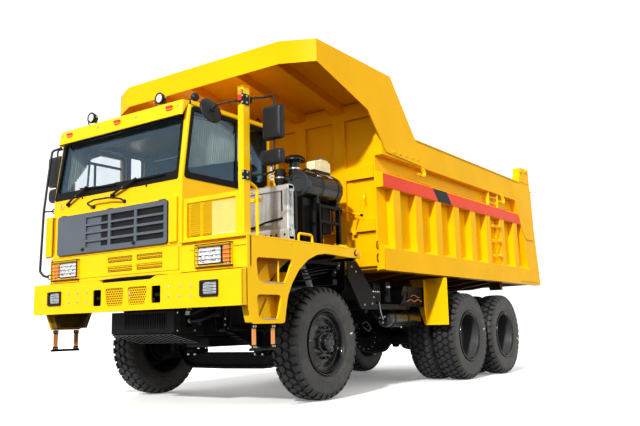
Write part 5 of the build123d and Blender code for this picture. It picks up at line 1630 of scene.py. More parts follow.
def mirror_head(p, x0, x1, y0, y1, z0, z1, r=0.035):
    o = rounded(rect(y0, y1, z0, z1), r, 6)
    d = x1 - x0
    p.add(shell(o, [(0.93, 0.006), (0.94, 0.0), (1.0, 0.004), (1.0, 0.30 * d), (0.985, 0.50 * d), (0.93, 0.72 * d), (0.80, 0.88 * d),
                    (0.55, 0.97 * d), (0.20, d)], x0), "plastic")
    i = rounded(rect(y0 + 0.010, y1 - 0.010, z0 + 0.010, z1 - 0.010), r * 0.8, 6)
    p.add(shell(i, [(1.0, 0.002), (1.0, -0.001), (0.9, -0.002), (0.5, -0.003)], x0 + 0.004), "mirror")
    # moulded parting line round the body
    p.add(shell(rounded(rect(y0 - 0.0015, y1 + 0.0015, z0 - 0.0015, z1 + 0.0015), r, 6), [(0.98, -0.002), (1.0, -0.001), (1.0, 0.001), (0.98, 0.002)],
                x0 + 0.30 * d), "plastic_matte")


def clamp(p, x, y, z, h=0.10, s=1):
    p.add(block((x - 0.058, y - 0.050, z - h / 2), (x + 0.058, y + 0.050, z + h / 2), 0.004), "plastic_matte")
    for dz in (-h * 0.3, h * 0.3):
        p.add(bolt((x + 0.058, y + 0.02 * s, z + dz), (1, 0, 0), 0.010, 0.008), "steel")
        p.add(bolt((x, y + 0.050 * s, z + dz), (0, s, 0), 0.010, 0.008), "steel")


def mirror_set():
    p = Piece("mirror_and_rail_set", "chassis", "mirror_plastic")
    # left: brackets, arm and two mirrors
    arm = [(1.560, 1.690, 3.345), (1.470, 1.735, 3.375), (1.400, 1.780, 3.385), (1.400, 1.930, 3.385), (1.400, 1.930, 3.30), (1.400, 1.930, 2.56),
           (1.400, 1.905, 2.535), (1.400, 1.800, 2.520), (1.545, 1.700, 2.500)]
    p.add(tube(arm, 0.0115, 0.04, 14, 6), "plastic")
    for z, h in ((3.322, 0.12), (2.490, 0.10)):
        p.add(block((1.575, 1.712, z - h / 2), (1.666, 1.728, z + h / 2), 0.004), "plastic_matte")
        p.add(block((1.655, 1.690, z - h / 2), (1.668, 1.728, z + h / 2), 0.004), "plastic_matte")
        for dz in (-0.3 * h, 0.3 * h):
            p.add(bolt((1.668, 1.708, z + dz), (1, 0, 0), 0.009, 0.008), "steel")
            p.add(bolt((1.62, 1.728, z + dz), (0, 1, 0), 0.010, 0.008), "steel")
    p.add(block((1.515, 1.660, 3.300), (1.560, 1.712, 3.370), 0.006), "plastic_matte")
    p.add(block((1.515, 1.665, 2.445), (1.560, 1.712, 2.545), 0.006), "plastic_matte")
    p.add(drum((1.520, 1.700, 3.325), (0, 0, 1), 0.020, 0.05, 0.004), "plastic_matte")
    mirror_head(p, 1.390, 1.470, 1.796, 2.064, 2.882, 3.262, 0.040)
    mirror_head(p, 1.390, 1.465, 1.777, 2.062, 2.606, 2.774, 0.045)
    for z in (3.18, 2.96, 2.72):
        p.add(block((1.380, 1.905, z - 0.02), (1.402, 1.955, z + 0.02), 0.004), "plastic_matte")
    # front round mirror
    ax = Vector((0.05, 0.955, 0.29)).normalized()
    c = Vector((1.790, 1.365, 3.230))
    p.add(tube([(1.668, 1.676, 3.290), (1.715, 1.640, 3.305), c + ax * 0.075 + Vector((0.01, 0.03, 0.02)), c + ax * 0.030], 0.010, 0.03, 12), "plastic")
    p.add(lathe([(0.140, -0.014), (0.148, -0.018), (0.151, -0.012), (0.150, -0.002), (0.143, 0.008), (0.110, 0.019), (0.060, 0.026),
                 (0.034, 0.028), (0.033, 0.040), (0.020, 0.048), (0, 0.049)], c, ax, 48), "plastic")
    p.add(lathe([(0.142, -0.013), (0.10, -0.018), (0.05, -0.0205), (0, -0.021)], c, ax, 48), "mirror")
    # right: grab rail, arm and mirrors
    rail = [(1.530, -1.640, 3.350), (1.600, -1.750, 3.310), (1.640, -1.750, 3.0), (1.698, -1.750, 2.464), (1.724, -1.750, 1.674), (1.700, -1.700, 1.615),
            (1.655, -1.655, 1.600)]
    p.add(tube(rail, 0.0150, 0.06, 14, 6), "plastic")
    p.add(tube([(1.622, -1.640, 2.470), (1.690, -1.750, 2.470)], 0.010, 0, 10), "plastic")
    for q, n in (((1.528, -1.628, 3.352), (0, -1, 0)), ((1.648, -1.642, 1.600), (0, -1, 0)), ((1.622, -1.626, 2.470), (0, -1, 0))):
        p.add(lathe([(0.034, 0), (0.034, 0.006), (0.020, 0.012)], q, n, 20), "plastic")
    arm = [(1.500, -1.632, 3.400), (1.440, -1.710, 3.390), (1.390, -1.780, 3.385), (1.390, -1.930, 3.385), (1.390, -1.930, 2.640), (1.390, -1.905, 2.610),
           (1.390, -1.800, 2.600), (1.500, -1.632, 2.600)]
    p.add(tube(arm, 0.0115, 0.04, 14, 6), "plastic")
    for z in (3.400, 2.600):
        p.add(block((1.470, -1.640, z - 0.035), (1.535, -1.618, z + 0.035), 0.004), "plastic_matte")
    mirror_head(p, 1.385, 1.462, -2.064, -1.796, 2.866, 3.290, 0.040)
    mirror_head(p, 1.385, 1.458, -2.040, -1.800, 2.646, 2.840, 0.070)
    p.done(replaces=("mirrors",))
    q = Piece("post_lamp_and_clamps", "chassis")
    q.add(prism(rounded(rect(1.641, 1.711, 3.296, 3.432), 0.022, 5), "yz", 1.659, 1.668, 0.003), "plastic")
    q.add(prism(rounded([(1.648, 3.366), (1.704, 3.366), (1.704, 3.425), (1.648, 3.425)], 0.016, 4), "yz", 1.664, 1.682, 0.006), "amber")
    q.add(prism(rounded([(1.648, 3.303), (1.704, 3.303), (1.704, 3.363), (1.648, 3.363)], 0.016, 4), "yz", 1.664, 1.682, 0.006), "red_lens")
    q.add(block((1.545, 1.620, 1.850), (1.675, 1.732, 1.862), 0.003), "yellow")
    for x, y in ((1.556, 1.630), (1.664, 1.630), (1.556, 1.724), (1.664, 1.724)):
        q.add(bolt((x, y, 1.862), (0, 0, 1), 0.009, 0.007), "steel")
    q.add(block((1.552, 1.628, 3.462), (1.668, 1.724, 3.472), 0.004), "yellow")
    q.add(lathe([(0.034, 0), (0.034, 0.005), (0.022, 0.010)], (1.430, 1.700, 1.850), (0, 0, 1), 20), "yellow")
    q.done()


mirror_set()


def mesh_guard():
    p = Piece("perforated_side_panel", "chassis", "yellow_paint")
    p.add(holed(rounded(rect(0.768, 1.634, 1.852, 2.340), 0.012, 3), [rounded(rect(0.822, 1.558, 1.895, 2.284), 0.012, 3)],
                "yz", 1.600, 1.616, 0.003), "yellow")
    p.add(block((1.585, 0.768, 2.326), (1.612, 1.634, 2.340), 0.003), "yellow")
    p.add(block((1.585, 0.768, 1.852), (1.598, 0.782, 2.330), 0.002), "yellow")
    p.add(block((1.585, 1.620, 1.852), (1.598, 1.634, 2.330), 0.002), "yellow")
    p.add(perforated(lambda y, z: 0.825 < y < 1.555 and 1.898 < z < 2.281, 0.822, 1.558, 1.895, 2.284, 1.6015, 0.0275, 0.0108, 0.002), "yellow")
    for y in (0.795, 1.20, 1.596):
        for z in (1.873, 2.312):
            p.add(bolt((1.616, y, z), (1, 0, 0), 0.006, 0.004), "yellow")
    p.done(replaces=("mesh_panel",))
    q = Piece("behind_side_panel", "chassis")
    # washer reservoir and bracket posts seen through the holes
    q.add(prism(rounded(rect(1.165, 1.552, 1.862, 2.296), 0.03, 4), "yz", 1.440, 1.580, 0.015), "bright_film")
    # black sheet behind the holes: painted shade
    q.add(block((1.500, 0.775, 1.856), (1.508, 1.150, 2.300), 0.002), "black_film_and_painted_shade")
    q.add(block((1.520, 0.955, 1.856), (1.540, 0.995, 2.300), 0.003), "yellow")
    q.add(drum((1.49, 1.42, 2.285), (0, 0, 1), 0.040, 0.030, 0.006), "blue")
    q.add(block((1.415, 1.16, 1.851), (1.568, 1.55, 1.866), 0.004), "black")
    q.add(block((1.240, 0.955, 1.851), (1.280, 0.995, 2.300), 0.004), "yellow")
    q.add(block((1.24, 0.79, 2.262), (1.28, 1.62, 2.300), 0.004), "yellow")
    q.add(tube([(1.36, 1.20, 1.90), (1.30, 1.05, 1.95), (1.20, 0.95, 1.90), (1.10, 0.90, 1.86)], 0.018, 0.06, 12), "hose")
    q.done()


mesh_guard()


# ------------------------------------------------------------------ equipment on the left deck
def radiator():
    p = Piece("deck_radiator", "chassis", "radiator_metal")
    # core with fins, tanks and mounting frame
    p.add(block((0.792, 0.955, 1.990), (0.846, 1.610, 2.440), 0.003), "fins_dark")
    for k in range(32):
        y = 0.962 + 0.0202 * k
        p.add(block((0.842, y, 1.995), (0.858, y + 0.014, 2.436), 0.001), "alu_matte")
    p.add(prism(rounded([(0.752, 2.436), (0.876, 2.436), (0.880, 2.490), (0.850, 2.514), (0.780, 2.514), (0.752, 2.490)], 0.012, 3), "xz", 0.905, 1.694, 0.004), "alu")
    p.add(prism(rounded([(0.752, 1.605), (0.872, 1.605), (0.874, 1.680), (0.860, 1.694), (0.770, 1.694), (0.752, 1.680)], 0.012, 3), "xy", 1.872, 2.500, 0.004), "alu")
    p.add(prism(rounded([(0.752, 0.905), (0.878, 0.905), (0.880, 0.958), (0.752, 0.958)], 0.010, 3), "xy", 1.872, 2.440, 0.004), "alu")
    p.add(prism(rounded([(0.752, 1.866), (0.868, 1.866), (0.878, 1.890), (0.878, 1.975), (0.868, 1.995), (0.752, 1.995)], 0.010, 3), "xz", 0.905, 1.694, 0.004), "alu")
    # bolting flange along the outer tank, broken between its bolts
    p.add(block((0.800, 1.690, 1.900), (0.836, 1.716, 2.440), 0.003), "alu_matte")
    for z in (1.935, 2.060, 2.185, 2.310, 2.420):
        p.add(prism(rounded(rect(1.690, 1.735, z - 0.034, z + 0.034), 0.012, 3), "yz", 0.830, 0.850, 0.003), "alu")
        p.add(bolt((0.850, 1.722, z), (1, 0, 0), 0.007, 0.006), "steel")
    p.add(block((0.855, 1.235, 1.995), (0.862, 1.262, 2.436), 0.002), "alu")
    p.add(strip([(0.866, 0.96, 2.06), (0.866, 1.16, 2.04), (0.866, 1.34, 2.09), (0.866, 1.62, 2.12)], 0.018, 0.008, (0, 0, 1), 0.03), "hose")
    p.add(block((0.858, 1.586, 2.20), (0.872, 1.604, 2.44), 0.003), "plastic")
    for y in (0.95, 1.16, 1.46, 1.68):
        p.add(bolt((0.876, y, 2.468), (1, 0, 0), 0.009, 0.006), "steel")
    # black discs standing for holes in the bottom bracket: painted shade
    for y in (1.25, 1.36, 1.44, 1.52, 1.64):
        p.add(drum((0.877, y, 1.925), (1, 0, 0), 0.014, 0.006, 0.001), "black_film_and_painted_shade")
    # rubber feet
    for y in (0.98, 1.64):
        p.add(block((0.780, y - 0.035, 1.850), (0.850, y + 0.035, 1.868), 0.004), "plastic")
    # pipes
    p.add(tube([(0.80, 0.93, 2.45), (0.72, 0.93, 2.45), (0.60, 0.90, 2.42), (0.45, 0.86, 2.30)], 0.032, 0.08, 16), "hose")
    p.add(tube([(0.80, 1.00, 1.90), (0.68, 1.00, 1.90), (0.50, 0.95, 1.89), (0.30, 0.90, 1.88)], 0.030, 0.08, 16), "hose")
    for q, n in (((0.745, 0.93, 2.45), (-1, 0, 0)), ((0.745, 1.0, 1.90), (-1, 0, 0))):
        p.add(lathe([(0.036, -0.010), (0.039, -0.008), (0.039, 0.008), (0.036, 0.010)], q, n, 24, closed=False), "steel")
    # fan shroud behind
    p.add(prism([(0.752, 1.90), (0.752, 2.46), (0.700, 2.38), (0.700, 1.98)], "xz", 0.97, 1.70, 0.006), "plastic")
    p.done(replaces=("radiator",))


radiator()


def air_cleaner():
    p = Piece("air_filter_housing", "chassis")
    zc = 2.678
    c = (-0.690, 1.250, zc)
    p.add(lathe([(0, 0), (0.12, 0.0), (0.172, 0.006), (0.190, 0.020), (0.1985, 0.045), (0.200, 0.08), (0.200, 0.430), (0.2035, 0.436), (0.2035, 0.460),
                 (0.198, 0.466), (0.198, 0.496), (0.2035, 0.502), (0.2035, 0.520), (0.196, 0.528), (0.194, 0.625), (0.188, 0.690), (0.178, 0.748),
                 (0.172, 0.764), (0.166, 0.772)], c, (1, 0, 0), 64, closed=False), "gloss_black")
    # matt end cover with its raised rings
    p.add(lathe([(0.172, 0.758), (0.169, 0.776), (0.160, 0.784), (0.148, 0.784), (0.142, 0.776), (0.104, 0.773), (0.099, 0.779), (0.092, 0.779),
                 (0.088, 0.772), (0, 0.772)], c, (1, 0, 0), 56), "cover_grey")
    p.add(tube([(0.096, 1.235, 2.585), (0.104, 1.255, 2.570), (0.104, 1.285, 2.570), (0.096, 1.305, 2.585)], 0.006, 0.01, 8), "plastic")
    # bands and latches
    for x in (-0.560, -0.205):
        p.add(lathe([(0.200, -0.016), (0.2062, -0.016), (0.2062, 0.016), (0.200, 0.016)], (x, 1.25, zc), (1, 0, 0), 64), "plastic")
    for a in (35, 115, 200, 300):
        t = math.radians(a)
        q = Vector((-0.160, 1.25 + 0.200 * math.cos(t), zc + 0.200 * math.sin(t)))
        n = Vector((0, math.cos(t), math.sin(t)))
        m = frame_of(n, (1, 0, 0))
        p.add(moved(block((-0.012, -0.035, -0.002), (0.012, 0.035, 0.014), 0.003), m, q), "steel")
        p.add(moved(tube([(-0.008, -0.030, 0.012), (-0.008, 0.050, 0.008), (0.008, 0.050, 0.008), (0.008, -0.030, 0.012)], 0.0025, 0.006, 6), m, q), "steel")
    # blank silver patch on the drum
    verts, faces = [], []
    for i in range(9):
        t = math.radians(40 + 36 * i / 8)
        for x in (-0.50, -0.395):
            verts.append((x, 1.25 + 0.2014 * math.cos(t), zc + 0.2014 * math.sin(t)))
    for i in range(8):
        faces.append((2 * i, 2 * i + 1, 2 * i + 3, 2 * i + 2))
    p.add((verts, faces), "alu_matte")
    # saddles that carry the drum
    for x in (-0.590, -0.140):
        p.add(prism([(1.055, 2.560), (1.055, 2.600), (1.10, 2.545), (1.16, 2.505), (1.25, 2.490), (1.34, 2.505), (1.395, 2.545), (1.400, 2.560),
                     (1.398, 2.47), (1.398, 1.852), (1.37, 1.852), (1.37, 2.42), (1.13, 2.42), (1.13, 1.852), (1.09, 1.852), (1.09, 2.47)],
                    "yz", x - 0.025, x + 0.025, 0.002), "plastic")
        for y in (1.11, 1.385):
            p.add(bolt((x, y, 1.866), (0, 0, 1), 0.011, 0.008), "steel")
    # dark duct below the drum's front, and the grey battery-like box behind the rack
    p.add(prism(rounded(rect(1.100, 1.330, 1.856, 2.520), 0.03, 3), "yz", -0.300, 0.100, 0.02), "black_film_and_painted_shade")
    p.add(prism(rounded(rect(1.150, 1.330, 2.080, 2.440), 0.02, 3), "yz", -0.520, -0.330, 0.015), "plastic_matte")
    p.add(block((-0.515, 1.345, 2.110), (-0.505, 1.375, 2.440), 0.003), "plastic")
    # pre-cleaner: neck, body, cap
    n0 = (0.020, 1.150, 2.740)
    p.add(lathe([(0, 0), (0.074, 0.0), (0.074, 0.100), (0.080, 0.106), (0.080, 0.122), (0.074, 0.128), (0.073, 0.258), (0.080, 0.264), (0.112, 0.268),
                 (0.138, 0.264), (0.149, 0.262), (0.150, 0.270), (0.144, 0.288), (0.124, 0.312), (0.090, 0.330), (0.045, 0.339), (0, 0.341)],
                n0, (0, 0, 1), 56), "gloss_black")
    p.add(lathe([(0.075, 0.150), (0.080, 0.150), (0.080, 0.168), (0.075, 0.168)], n0, (0, 0, 1), 48), "steel")
    for k in range(20):
        t = 2 * math.pi * k / 20
        p.add(block((0.020 + 0.112 * math.cos(t) - 0.004, 1.150 + 0.112 * math.sin(t) - 0.004, 2.985),
                    (0.020 + 0.112 * math.cos(t) + 0.004, 1.150 + 0.112 * math.sin(t) + 0.004, 3.008), 0.001), "plastic")
    # smaller canister and corrugated hose inboard, half hidden by the mirrors
    p.add(lathe([(0, -0.09), (0.060, -0.09), (0.072, -0.07), (0.074, 0.03), (0.079, 0.036), (0.079, 0.056), (0.072, 0.062), (0.066, 0.095), (0.050, 0.105), (0, 0.106)],
                (0.115, 0.985, 2.800), (0, 0, 1), 40), "plastic_matte")
    p.add(lathe([(0.075, 0.0), (0.080, 0.0), (0.080, 0.016), (0.075, 0.016)], (0.115, 0.985, 2.775), (0, 0, 1), 36), "steel")
    pts = [(0.115, 0.985, 2.720), (0.115, 0.985, 2.600), (0.120, 0.90, 2.50), (0.12, 0.86, 2.40), (0.12, 0.86, 2.10), (0.10, 0.86, 1.86)]
    p.add(tube(pts, 0.060, 0.06, 20, 6), "hose")
    for z in (2.12, 2.20, 2.28, 2.36, 2.44):
        p.add(lathe([(0.060, -0.012), (0.068, 0), (0.060, 0.012)], (0.12, 0.86, z), (0, 0, 1), 24), "hose")
    p.add(tube([(0.02, 1.150, 2.76), (0.05, 1.08, 2.76), (0.08, 1.02, 2.78)], 0.045, 0.03, 16), "plastic_matte")
    p.add(tube([(-0.60, 1.35, 2.50), (-0.60, 1.35, 2.44), (-0.56, 1.35, 2.40)], 0.015, 0.03, 10), "hose")
    p.done(replaces=("air_cleaner",))
    q = Piece("coolant_tank", "chassis", "tank_plastic")
    q.add(prism(rounded([(-0.700, 2.945), (-0.332, 2.945), (-0.332, 3.040), (-0.350, 3.070), (-0.470, 3.085), (-0.490, 3.108), (-0.630, 3.108), (-0.655, 3.088), (-0.690, 3.078), (-0.700, 3.060)],
                        0.018, 4), "xz", 1.085, 1.222, 0.020, 2), "cream")
    q.add(prism(rounded([(-0.60, 2.985), (-0.44, 2.985), (-0.44, 3.050), (-0.60, 3.050)], 0.02, 4), "xz", 1.212, 1.2245, 0.004), "cream")
    q.add(lathe([(0.030, 0), (0.036, 0.004), (0.036, 0.018), (0.030, 0.024), (0, 0.025)], (-0.560, 1.153, 3.112), (0, 0, 1), 28), "blue")
    q.add(drum((-0.560, 1.153, 3.106), (0, 0, 1), 0.045, 0.008, 0.002), "cream")
    q.add(block((-0.690, 1.085, 2.898), (-0.340, 1.222, 2.944), 0.006), "plastic")
    q.add(prism([(-0.60, 2.884), (-0.54, 2.884), (-0.54, 2.90), (-0.60, 2.90)], "xz", 1.10, 1.20, 0.003), "plastic")
    q.add(prism([(-0.48, 2.884), (-0.42, 2.884), (-0.42, 2.90), (-0.48, 2.90)], "xz", 1.10, 1.20, 0.003), "plastic")
    q.add(tube([(-0.70, 1.15, 2.965), (-0.74, 1.15, 2.96), (-0.78, 1.14, 2.90), (-0.80, 1.08, 2.70), (-0.80, 1.00, 2.40), (-0.80, 0.95, 2.00)], 0.012, 0.05, 10), "hose")
    q.add(tube([(-0.33, 1.12, 2.96), (-0.28, 1.12, 2.955), (-0.23, 1.08, 2.92), (-0.18, 0.97, 2.70), (-0.16, 0.92, 2.30)], 0.012, 0.05, 10), "hose")
    q.done(replaces=("expansion_tank",))
    r = Piece("deck_brackets", "chassis")
    r.add(block((-0.045, 0.785, 1.851), (0.005, 0.835, 3.020), 0.004), "yellow")
    for x in (-0.545, -0.100):
        r.add(block((x - 0.035, 1.400, 1.851), (x + 0.035, 1.480, 1.858), 0.002), "plastic")
        for dy in (-0.012, 0.012):
            r.add(bolt((x + 0.028, 1.440 + dy, 1.858), (0, 0, 1), 0.006, 0.005), "steel")
    for x, y in ((0.30, 1.35), (0.36, 1.48), (-0.12, 1.56), (-0.18, 1.66)):
        r.add(bolt((x, y, 1.851), (0, 0, 1), 0.012, 0.009), "steel")
    r.add(prism([(-0.32, 1.851), (-0.22, 1.851), (-0.32, 1.931)], "xz", 1.52, 1.53, 0.001), "yellow")
    r.add(prism(rounded(rect(1.47, 1.62, 1.851, 1.905), 0.008, 2), "yz", -0.46, -0.30, 0.006), "yellow")
    r.done()


air_cleaner()


# ------------------------------------------------------------------ inside the cab
def cushion(name, lo, hi, crown, mat, body, channels=(), recline=0.0, pivot=None, up="z"):
    """Foam pad: crowned closed form pulled in at its corners, with sewn channels pressed in afterwards."""
    me = bpy.data.meshes.new(name)
    bm = bmesh.new()
    bmesh.ops.create_cube(bm, size=1.0)
    c = [(lo[i] + hi[i]) / 2 for i in range(3)]
    d = [hi[i] - lo[i] for i in range(3)]
    for v in bm.verts:
        v.co = Vector((c[0] + v.co.x * d[0] * 0.955, c[1] + v.co.y * d[1] * 0.955, c[2] + v.co.z * d[2] * 0.93))
    bmesh.ops.bevel(bm, geom=list(bm.edges), offset=min(d) * 0.30, segments=3, profile=0.5, affect="EDGES")
    bmesh.ops.translate(bm, verts=bm.verts, vec=(FX, 0, 0))
    bm.to_mesh(me)
    bm.free()
    me.materials.append(MAT[mat])
    ob = bpy.data.objects.new(name, me)
    SCENE.collection.objects.link(ob)
    rm = ob.modifiers.new("remesh", "REMESH")
    rm.mode = "VOXEL"
    rm.voxel_size = 0.011
    apply(ob)
    me = ob.data
    before = [v.co.copy() for v in me.vertices]
    for o in SCENE.objects:
        pass
    cl = ob.modifiers.new("cloth", "CLOTH")
    cl.settings.use_pressure = True
    cl.settings.uniform_pressure_force = 4.0
    cl.settings.effector_weights.gravity = 0.0
    cl.settings.quality = 4
    cl.settings.mass = 0.3
    cl.settings.tension_stiffness = 12
    cl.settings.compression_stiffness = 12
    cl.settings.shear_stiffness = 5
    cl.settings.bending_stiffness = 0.5
    cl.point_cache.frame_start, cl.point_cache.frame_end = 1, 20
    for f in range(1, 21):
        SCENE.frame_set(f)
    dg = bpy.context.evaluated_depsgraph_get()
    ev = ob.evaluated_get(dg)
    after = [v.co.copy() for v in ev.to_mesh().vertices]
    ev.to_mesh_clear()
    ob.modifiers.remove(cl)
    SCENE.frame_set(1)
    cap = crown
    for v, a, b in zip(me.vertices, before, after):
        move = b - a
        if move.length > cap:
            move = move.normalized() * cap
        v.co = a + move
    centre = Vector(c) + Vector((FX, 0, 0))
    for v in me.vertices:
        p = v.co - centre
        # crown on the face, and channels sewn across it
        if up == "z":
            u, w, h = p.x / (d[0] / 2), p.y / (d[1] / 2), p.z
            ax = Vector((0, 0, 1))
        else:
            u, w, h = p.z / (d[2] / 2), p.y / (d[1] / 2), p.x
            ax = Vector((1, 0, 0))
        if h > 0:
            v.co += ax * crown * 0.6 * max(0, 1 - u * u) * max(0, 1 - w * w)
            for kind, at, deep in channels:
                q = (w if kind == "w" else u) - at
                v.co -= ax * deep * math.exp(-(q / 0.035) ** 2)
    if recline:
        m = Matrix.Rotation(recline, 4, "Y")
        pv = Vector(pivot) + Vector((FX, 0, 0))
        for v in me.vertices:
            v.co = pv + m @ (v.co - pv)
    for p in me.polygons:
        p.use_smooth = True
    weigh(ob)
    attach(ob, body)
    return ob


def seat():
    ch = (("w", -0.58, 0.009), ("w", 0.58, 0.009), ("u", -0.25, 0.006), ("u", 0.30, 0.006))
    cushion("driver_seat_cushion", (0.455, -0.945, 2.090), (0.945, -0.455, 2.195), 0.010, "seat", "chassis", ch)
    cushion("driver_seat_backrest", (0.455, -0.930, 2.215), (0.560, -0.470, 2.700), 0.010, "seat", "chassis",
            (("w", -0.55, 0.008), ("w", 0.55, 0.008), ("u", -0.15, 0.006), ("u", 0.45, 0.006)), 0.0, None, "x")
    cushion("driver_seat_headrest", (0.465, -0.820, 2.715), (0.560, -0.580, 2.895), 0.008, "seat_wing", "chassis", (), 0.0, None, "x")
    p = Piece("driver_seat_base", "chassis", "seat_cloth")
    p.add(prism(rounded([(0.46, 2.045), (0.94, 2.045), (0.94, 2.088), (0.46, 2.088)], 0.012, 3), "xz", -0.94, -0.46, 0.010), "plastic")
    for k in range(9):
        z = 1.60 + 0.048 * k
        w = 0.150 if k % 2 else 0.135
        p.add(prism(rounded(rect(0.70 - w, 0.70 + w, -0.70 - w, -0.70 + w), 0.03, 4), "xy", z, z + 0.047, 0.006), "plastic_matte")
    p.add(block((0.545, -0.855, 1.556), (0.855, -0.545, 1.600), 0.006), "black")
    p.add(prism([(0.550, 2.028), (0.850, 2.028), (0.900, 2.046), (0.500, 2.046)], "xz", -0.86, -0.54, 0.004), "plastic")
    p.add(prism(rounded([(0.452, 2.10), (0.475, 2.10), (0.470, 2.88), (0.452, 2.88)], 0.008, 2), "xz", -0.90, -0.50, 0.006), "plastic")
    for y in (-0.97, -0.43):
        p.add(prism(rounded([(0.50, 2.36), (0.80, 2.36), (0.80, 2.405), (0.50, 2.405)], 0.018, 4), "xz", y - 0.03, y + 0.03, 0.012), "plastic_matte")
        p.add(block((0.505, y - 0.012 + (0.03 if y < -0.7 else -0.03), 2.18), (0.545, y + 0.012 + (0.03 if y < -0.7 else -0.03), 2.37), 0.006), "plastic")
    for y in (-0.76, -0.64):
        p.add(tube([(0.51, y, 2.66), (0.51, y, 2.76)], 0.006, 0, 8), "steel")
    p.add(strip([(0.47, -0.93, 2.60), (0.47, -0.985, 2.30), (0.52, -0.985, 2.10), (0.60, -0.96, 2.05)], 0.046, 0.003, (1, 0, 0.2), 0.05), "plastic_matte")
    p.add(block((0.575, -0.99, 2.10), (0.625, -0.965, 2.17), 0.006), "red")
    p.done(replaces=("driver_seat",))


seat()


def instruments():
    p = Piece("dash_and_wheel", "chassis", "dash_plastic")
    pts = rounded([(1.575, 1.902), (1.575, 2.555), (1.50, 2.575), (1.400, 2.560), (1.300, 2.440), (1.285, 2.400), (1.380, 1.902)], [0.02, 0.02, 0.05, 0.05, 0.05, 0.03, 0.03], 4)
    p.add(prism(pts, "xz", -1.556, 0.696, 0.006), "plastic_matte")
    # instrument hood and cluster in front of the wheel
    p.add(prism(rounded([(1.300, 2.450), (1.330, 2.620), (1.420, 2.655), (1.520, 2.600), (1.520, 2.560)], 0.03, 3), "xz", -0.96, -0.44, 0.010), "plastic")
    m = frame_of(Vector((-0.97, 0, 0.24)))
    for y, r in ((-0.84, 0.050), (-0.70, 0.062), (-0.56, 0.050)):
        c = Vector((1.308, y, 2.545))
        p.add(lathe([(r, 0), (r, 0.008), (r * 0.9, 0.010), (r * 0.88, 0.004), (0, 0.004)], c, (-0.97, 0, 0.17), 28), "plastic")
        p.add(lathe([(r * 0.86, 0.0045), (0, 0.005)], c, (-0.97, 0, 0.17), 28), "black_film_and_painted_shade")
    # switches, vents, radio
    for i in range(8):
        y = -0.30 + 0.055 * i
        p.add(block((1.283, y, 2.410), (1.292, y + 0.038, 2.446), 0.004), "plastic")
    p.add(block((1.298, -0.10, 2.250), (1.340, 0.085, 2.310), 0.004), "plastic")
    for y in (-1.45, -1.10, 0.18, 0.52):
        p.add(block((1.296, y - 0.055, 2.440), (1.325, y + 0.055, 2.500), 0.006), "plastic")
        for k in range(4):
            p.add(block((1.291, y - 0.048, 2.446 + 0.013 * k), (1.300, y + 0.048, 2.450 + 0.013 * k), 0.001), "plastic_matte")
    # steering column, wheel, stalks
    ax = Vector((-0.53, 0, 0.85)).normalized()
    hub = Vector((1.175, -0.700, 2.650))
    base = hub - ax * 0.46
    p.add(tube([base, hub - ax * 0.06], 0.042, 0, 18), "plastic")
    p.add(lathe([(0.045, -0.10), (0.060, -0.08), (0.060, -0.03), (0.030, -0.015), (0.026, 0.0)], hub, ax, 28), "plastic")
    m = frame_of(ax)
    rim = [hub + m @ Vector((0.215 * math.cos(2 * math.pi * k / 48), 0.215 * math.sin(2 * math.pi * k / 48), 0)) for k in range(48)]
    verts, faces = [], []
    for k in range(48):
        t = 2 * math.pi * k / 48
        out = m @ Vector((math.cos(t), math.sin(t), 0))
        for j in range(12):
            a = 2 * math.pi * j / 12
            rr = 0.0165 * (1 + 0.05 * math.cos(k * 12))
            verts.append(tuple(hub + out * (0.215 + rr * math.cos(a)) + ax * rr * math.sin(a)))
    for k in range(48):
        for j in range(12):
            faces.append((k * 12 + j, k * 12 + (j + 1) % 12, ((k + 1) % 48) * 12 + (j + 1) % 12, ((k + 1) % 48) * 12 + j))
    p.add((verts, faces), "plastic")
    p.add(lathe([(0, -0.030), (0.050, -0.028), (0.066, -0.012), (0.062, 0.004), (0.030, 0.010), (0, 0.011)], hub - ax * 0.01, ax, 32), "plastic")
    for a in (20, 160, 270):
        t = math.radians(a)
        d = m @ Vector((math.cos(t), math.sin(t), 0))
        p.add(tube([hub - ax * 0.012 + d * 0.05, hub - ax * 0.010 + d * 0.13, hub + d * 0.212], 0.011, 0.02, 10, flat=1.7), "plastic")
    for s in (1, -1):
        p.add(tube([hub - ax * 0.10, hub - ax * 0.095 + Vector((0, s * 0.10, 0.01)), hub - ax * 0.085 + Vector((0, s * 0.19, 0.02))], 0.0085, 0.02, 10), "plastic")
    # gear lever and hand brake beside the seat
    p.add(tube([(0.98, -0.28, 1.60), (0.99, -0.28, 2.02), (0.94, -0.28, 2.18)], 0.010, 0.05, 12), "steel")
    p.add(lathe([(0, -0.03), (0.022, -0.022), (0.028, 0.0), (0.022, 0.026), (0, 0.032)], (0.935, -0.28, 2.20), (-0.2, 0, 1), 24), "plastic")
    p.add(lathe([(0.09, 0), (0.085, 0.03), (0.05, 0.08), (0.02, 0.14), (0.014, 0.16)], (0.98, -0.28, 1.556), (0, 0, 1), 24), "hose")
    p.add(prism(rounded([(0.20, 1.556), (0.90, 1.556), (0.90, 1.90), (0.60, 1.98), (0.20, 1.98)], 0.03, 3), "xz", -0.24, 0.30, 0.02), "plastic_matte")
    for y in (-0.86, -0.72, -0.54):
        p.add(tube([(1.35, y, 1.86), (1.30, y, 1.74), (1.27, y, 1.66)], 0.008, 0.04, 8), "black")
        p.add(prism(rounded(rect(y - 0.035, y + 0.035, 1.62, 1.70), 0.01, 3), "yz", 1.255, 1.270, 0.004), "plastic")
    p.done(replaces=("dashboard",))
    q = Piece("cab_inner_fittings", "chassis")
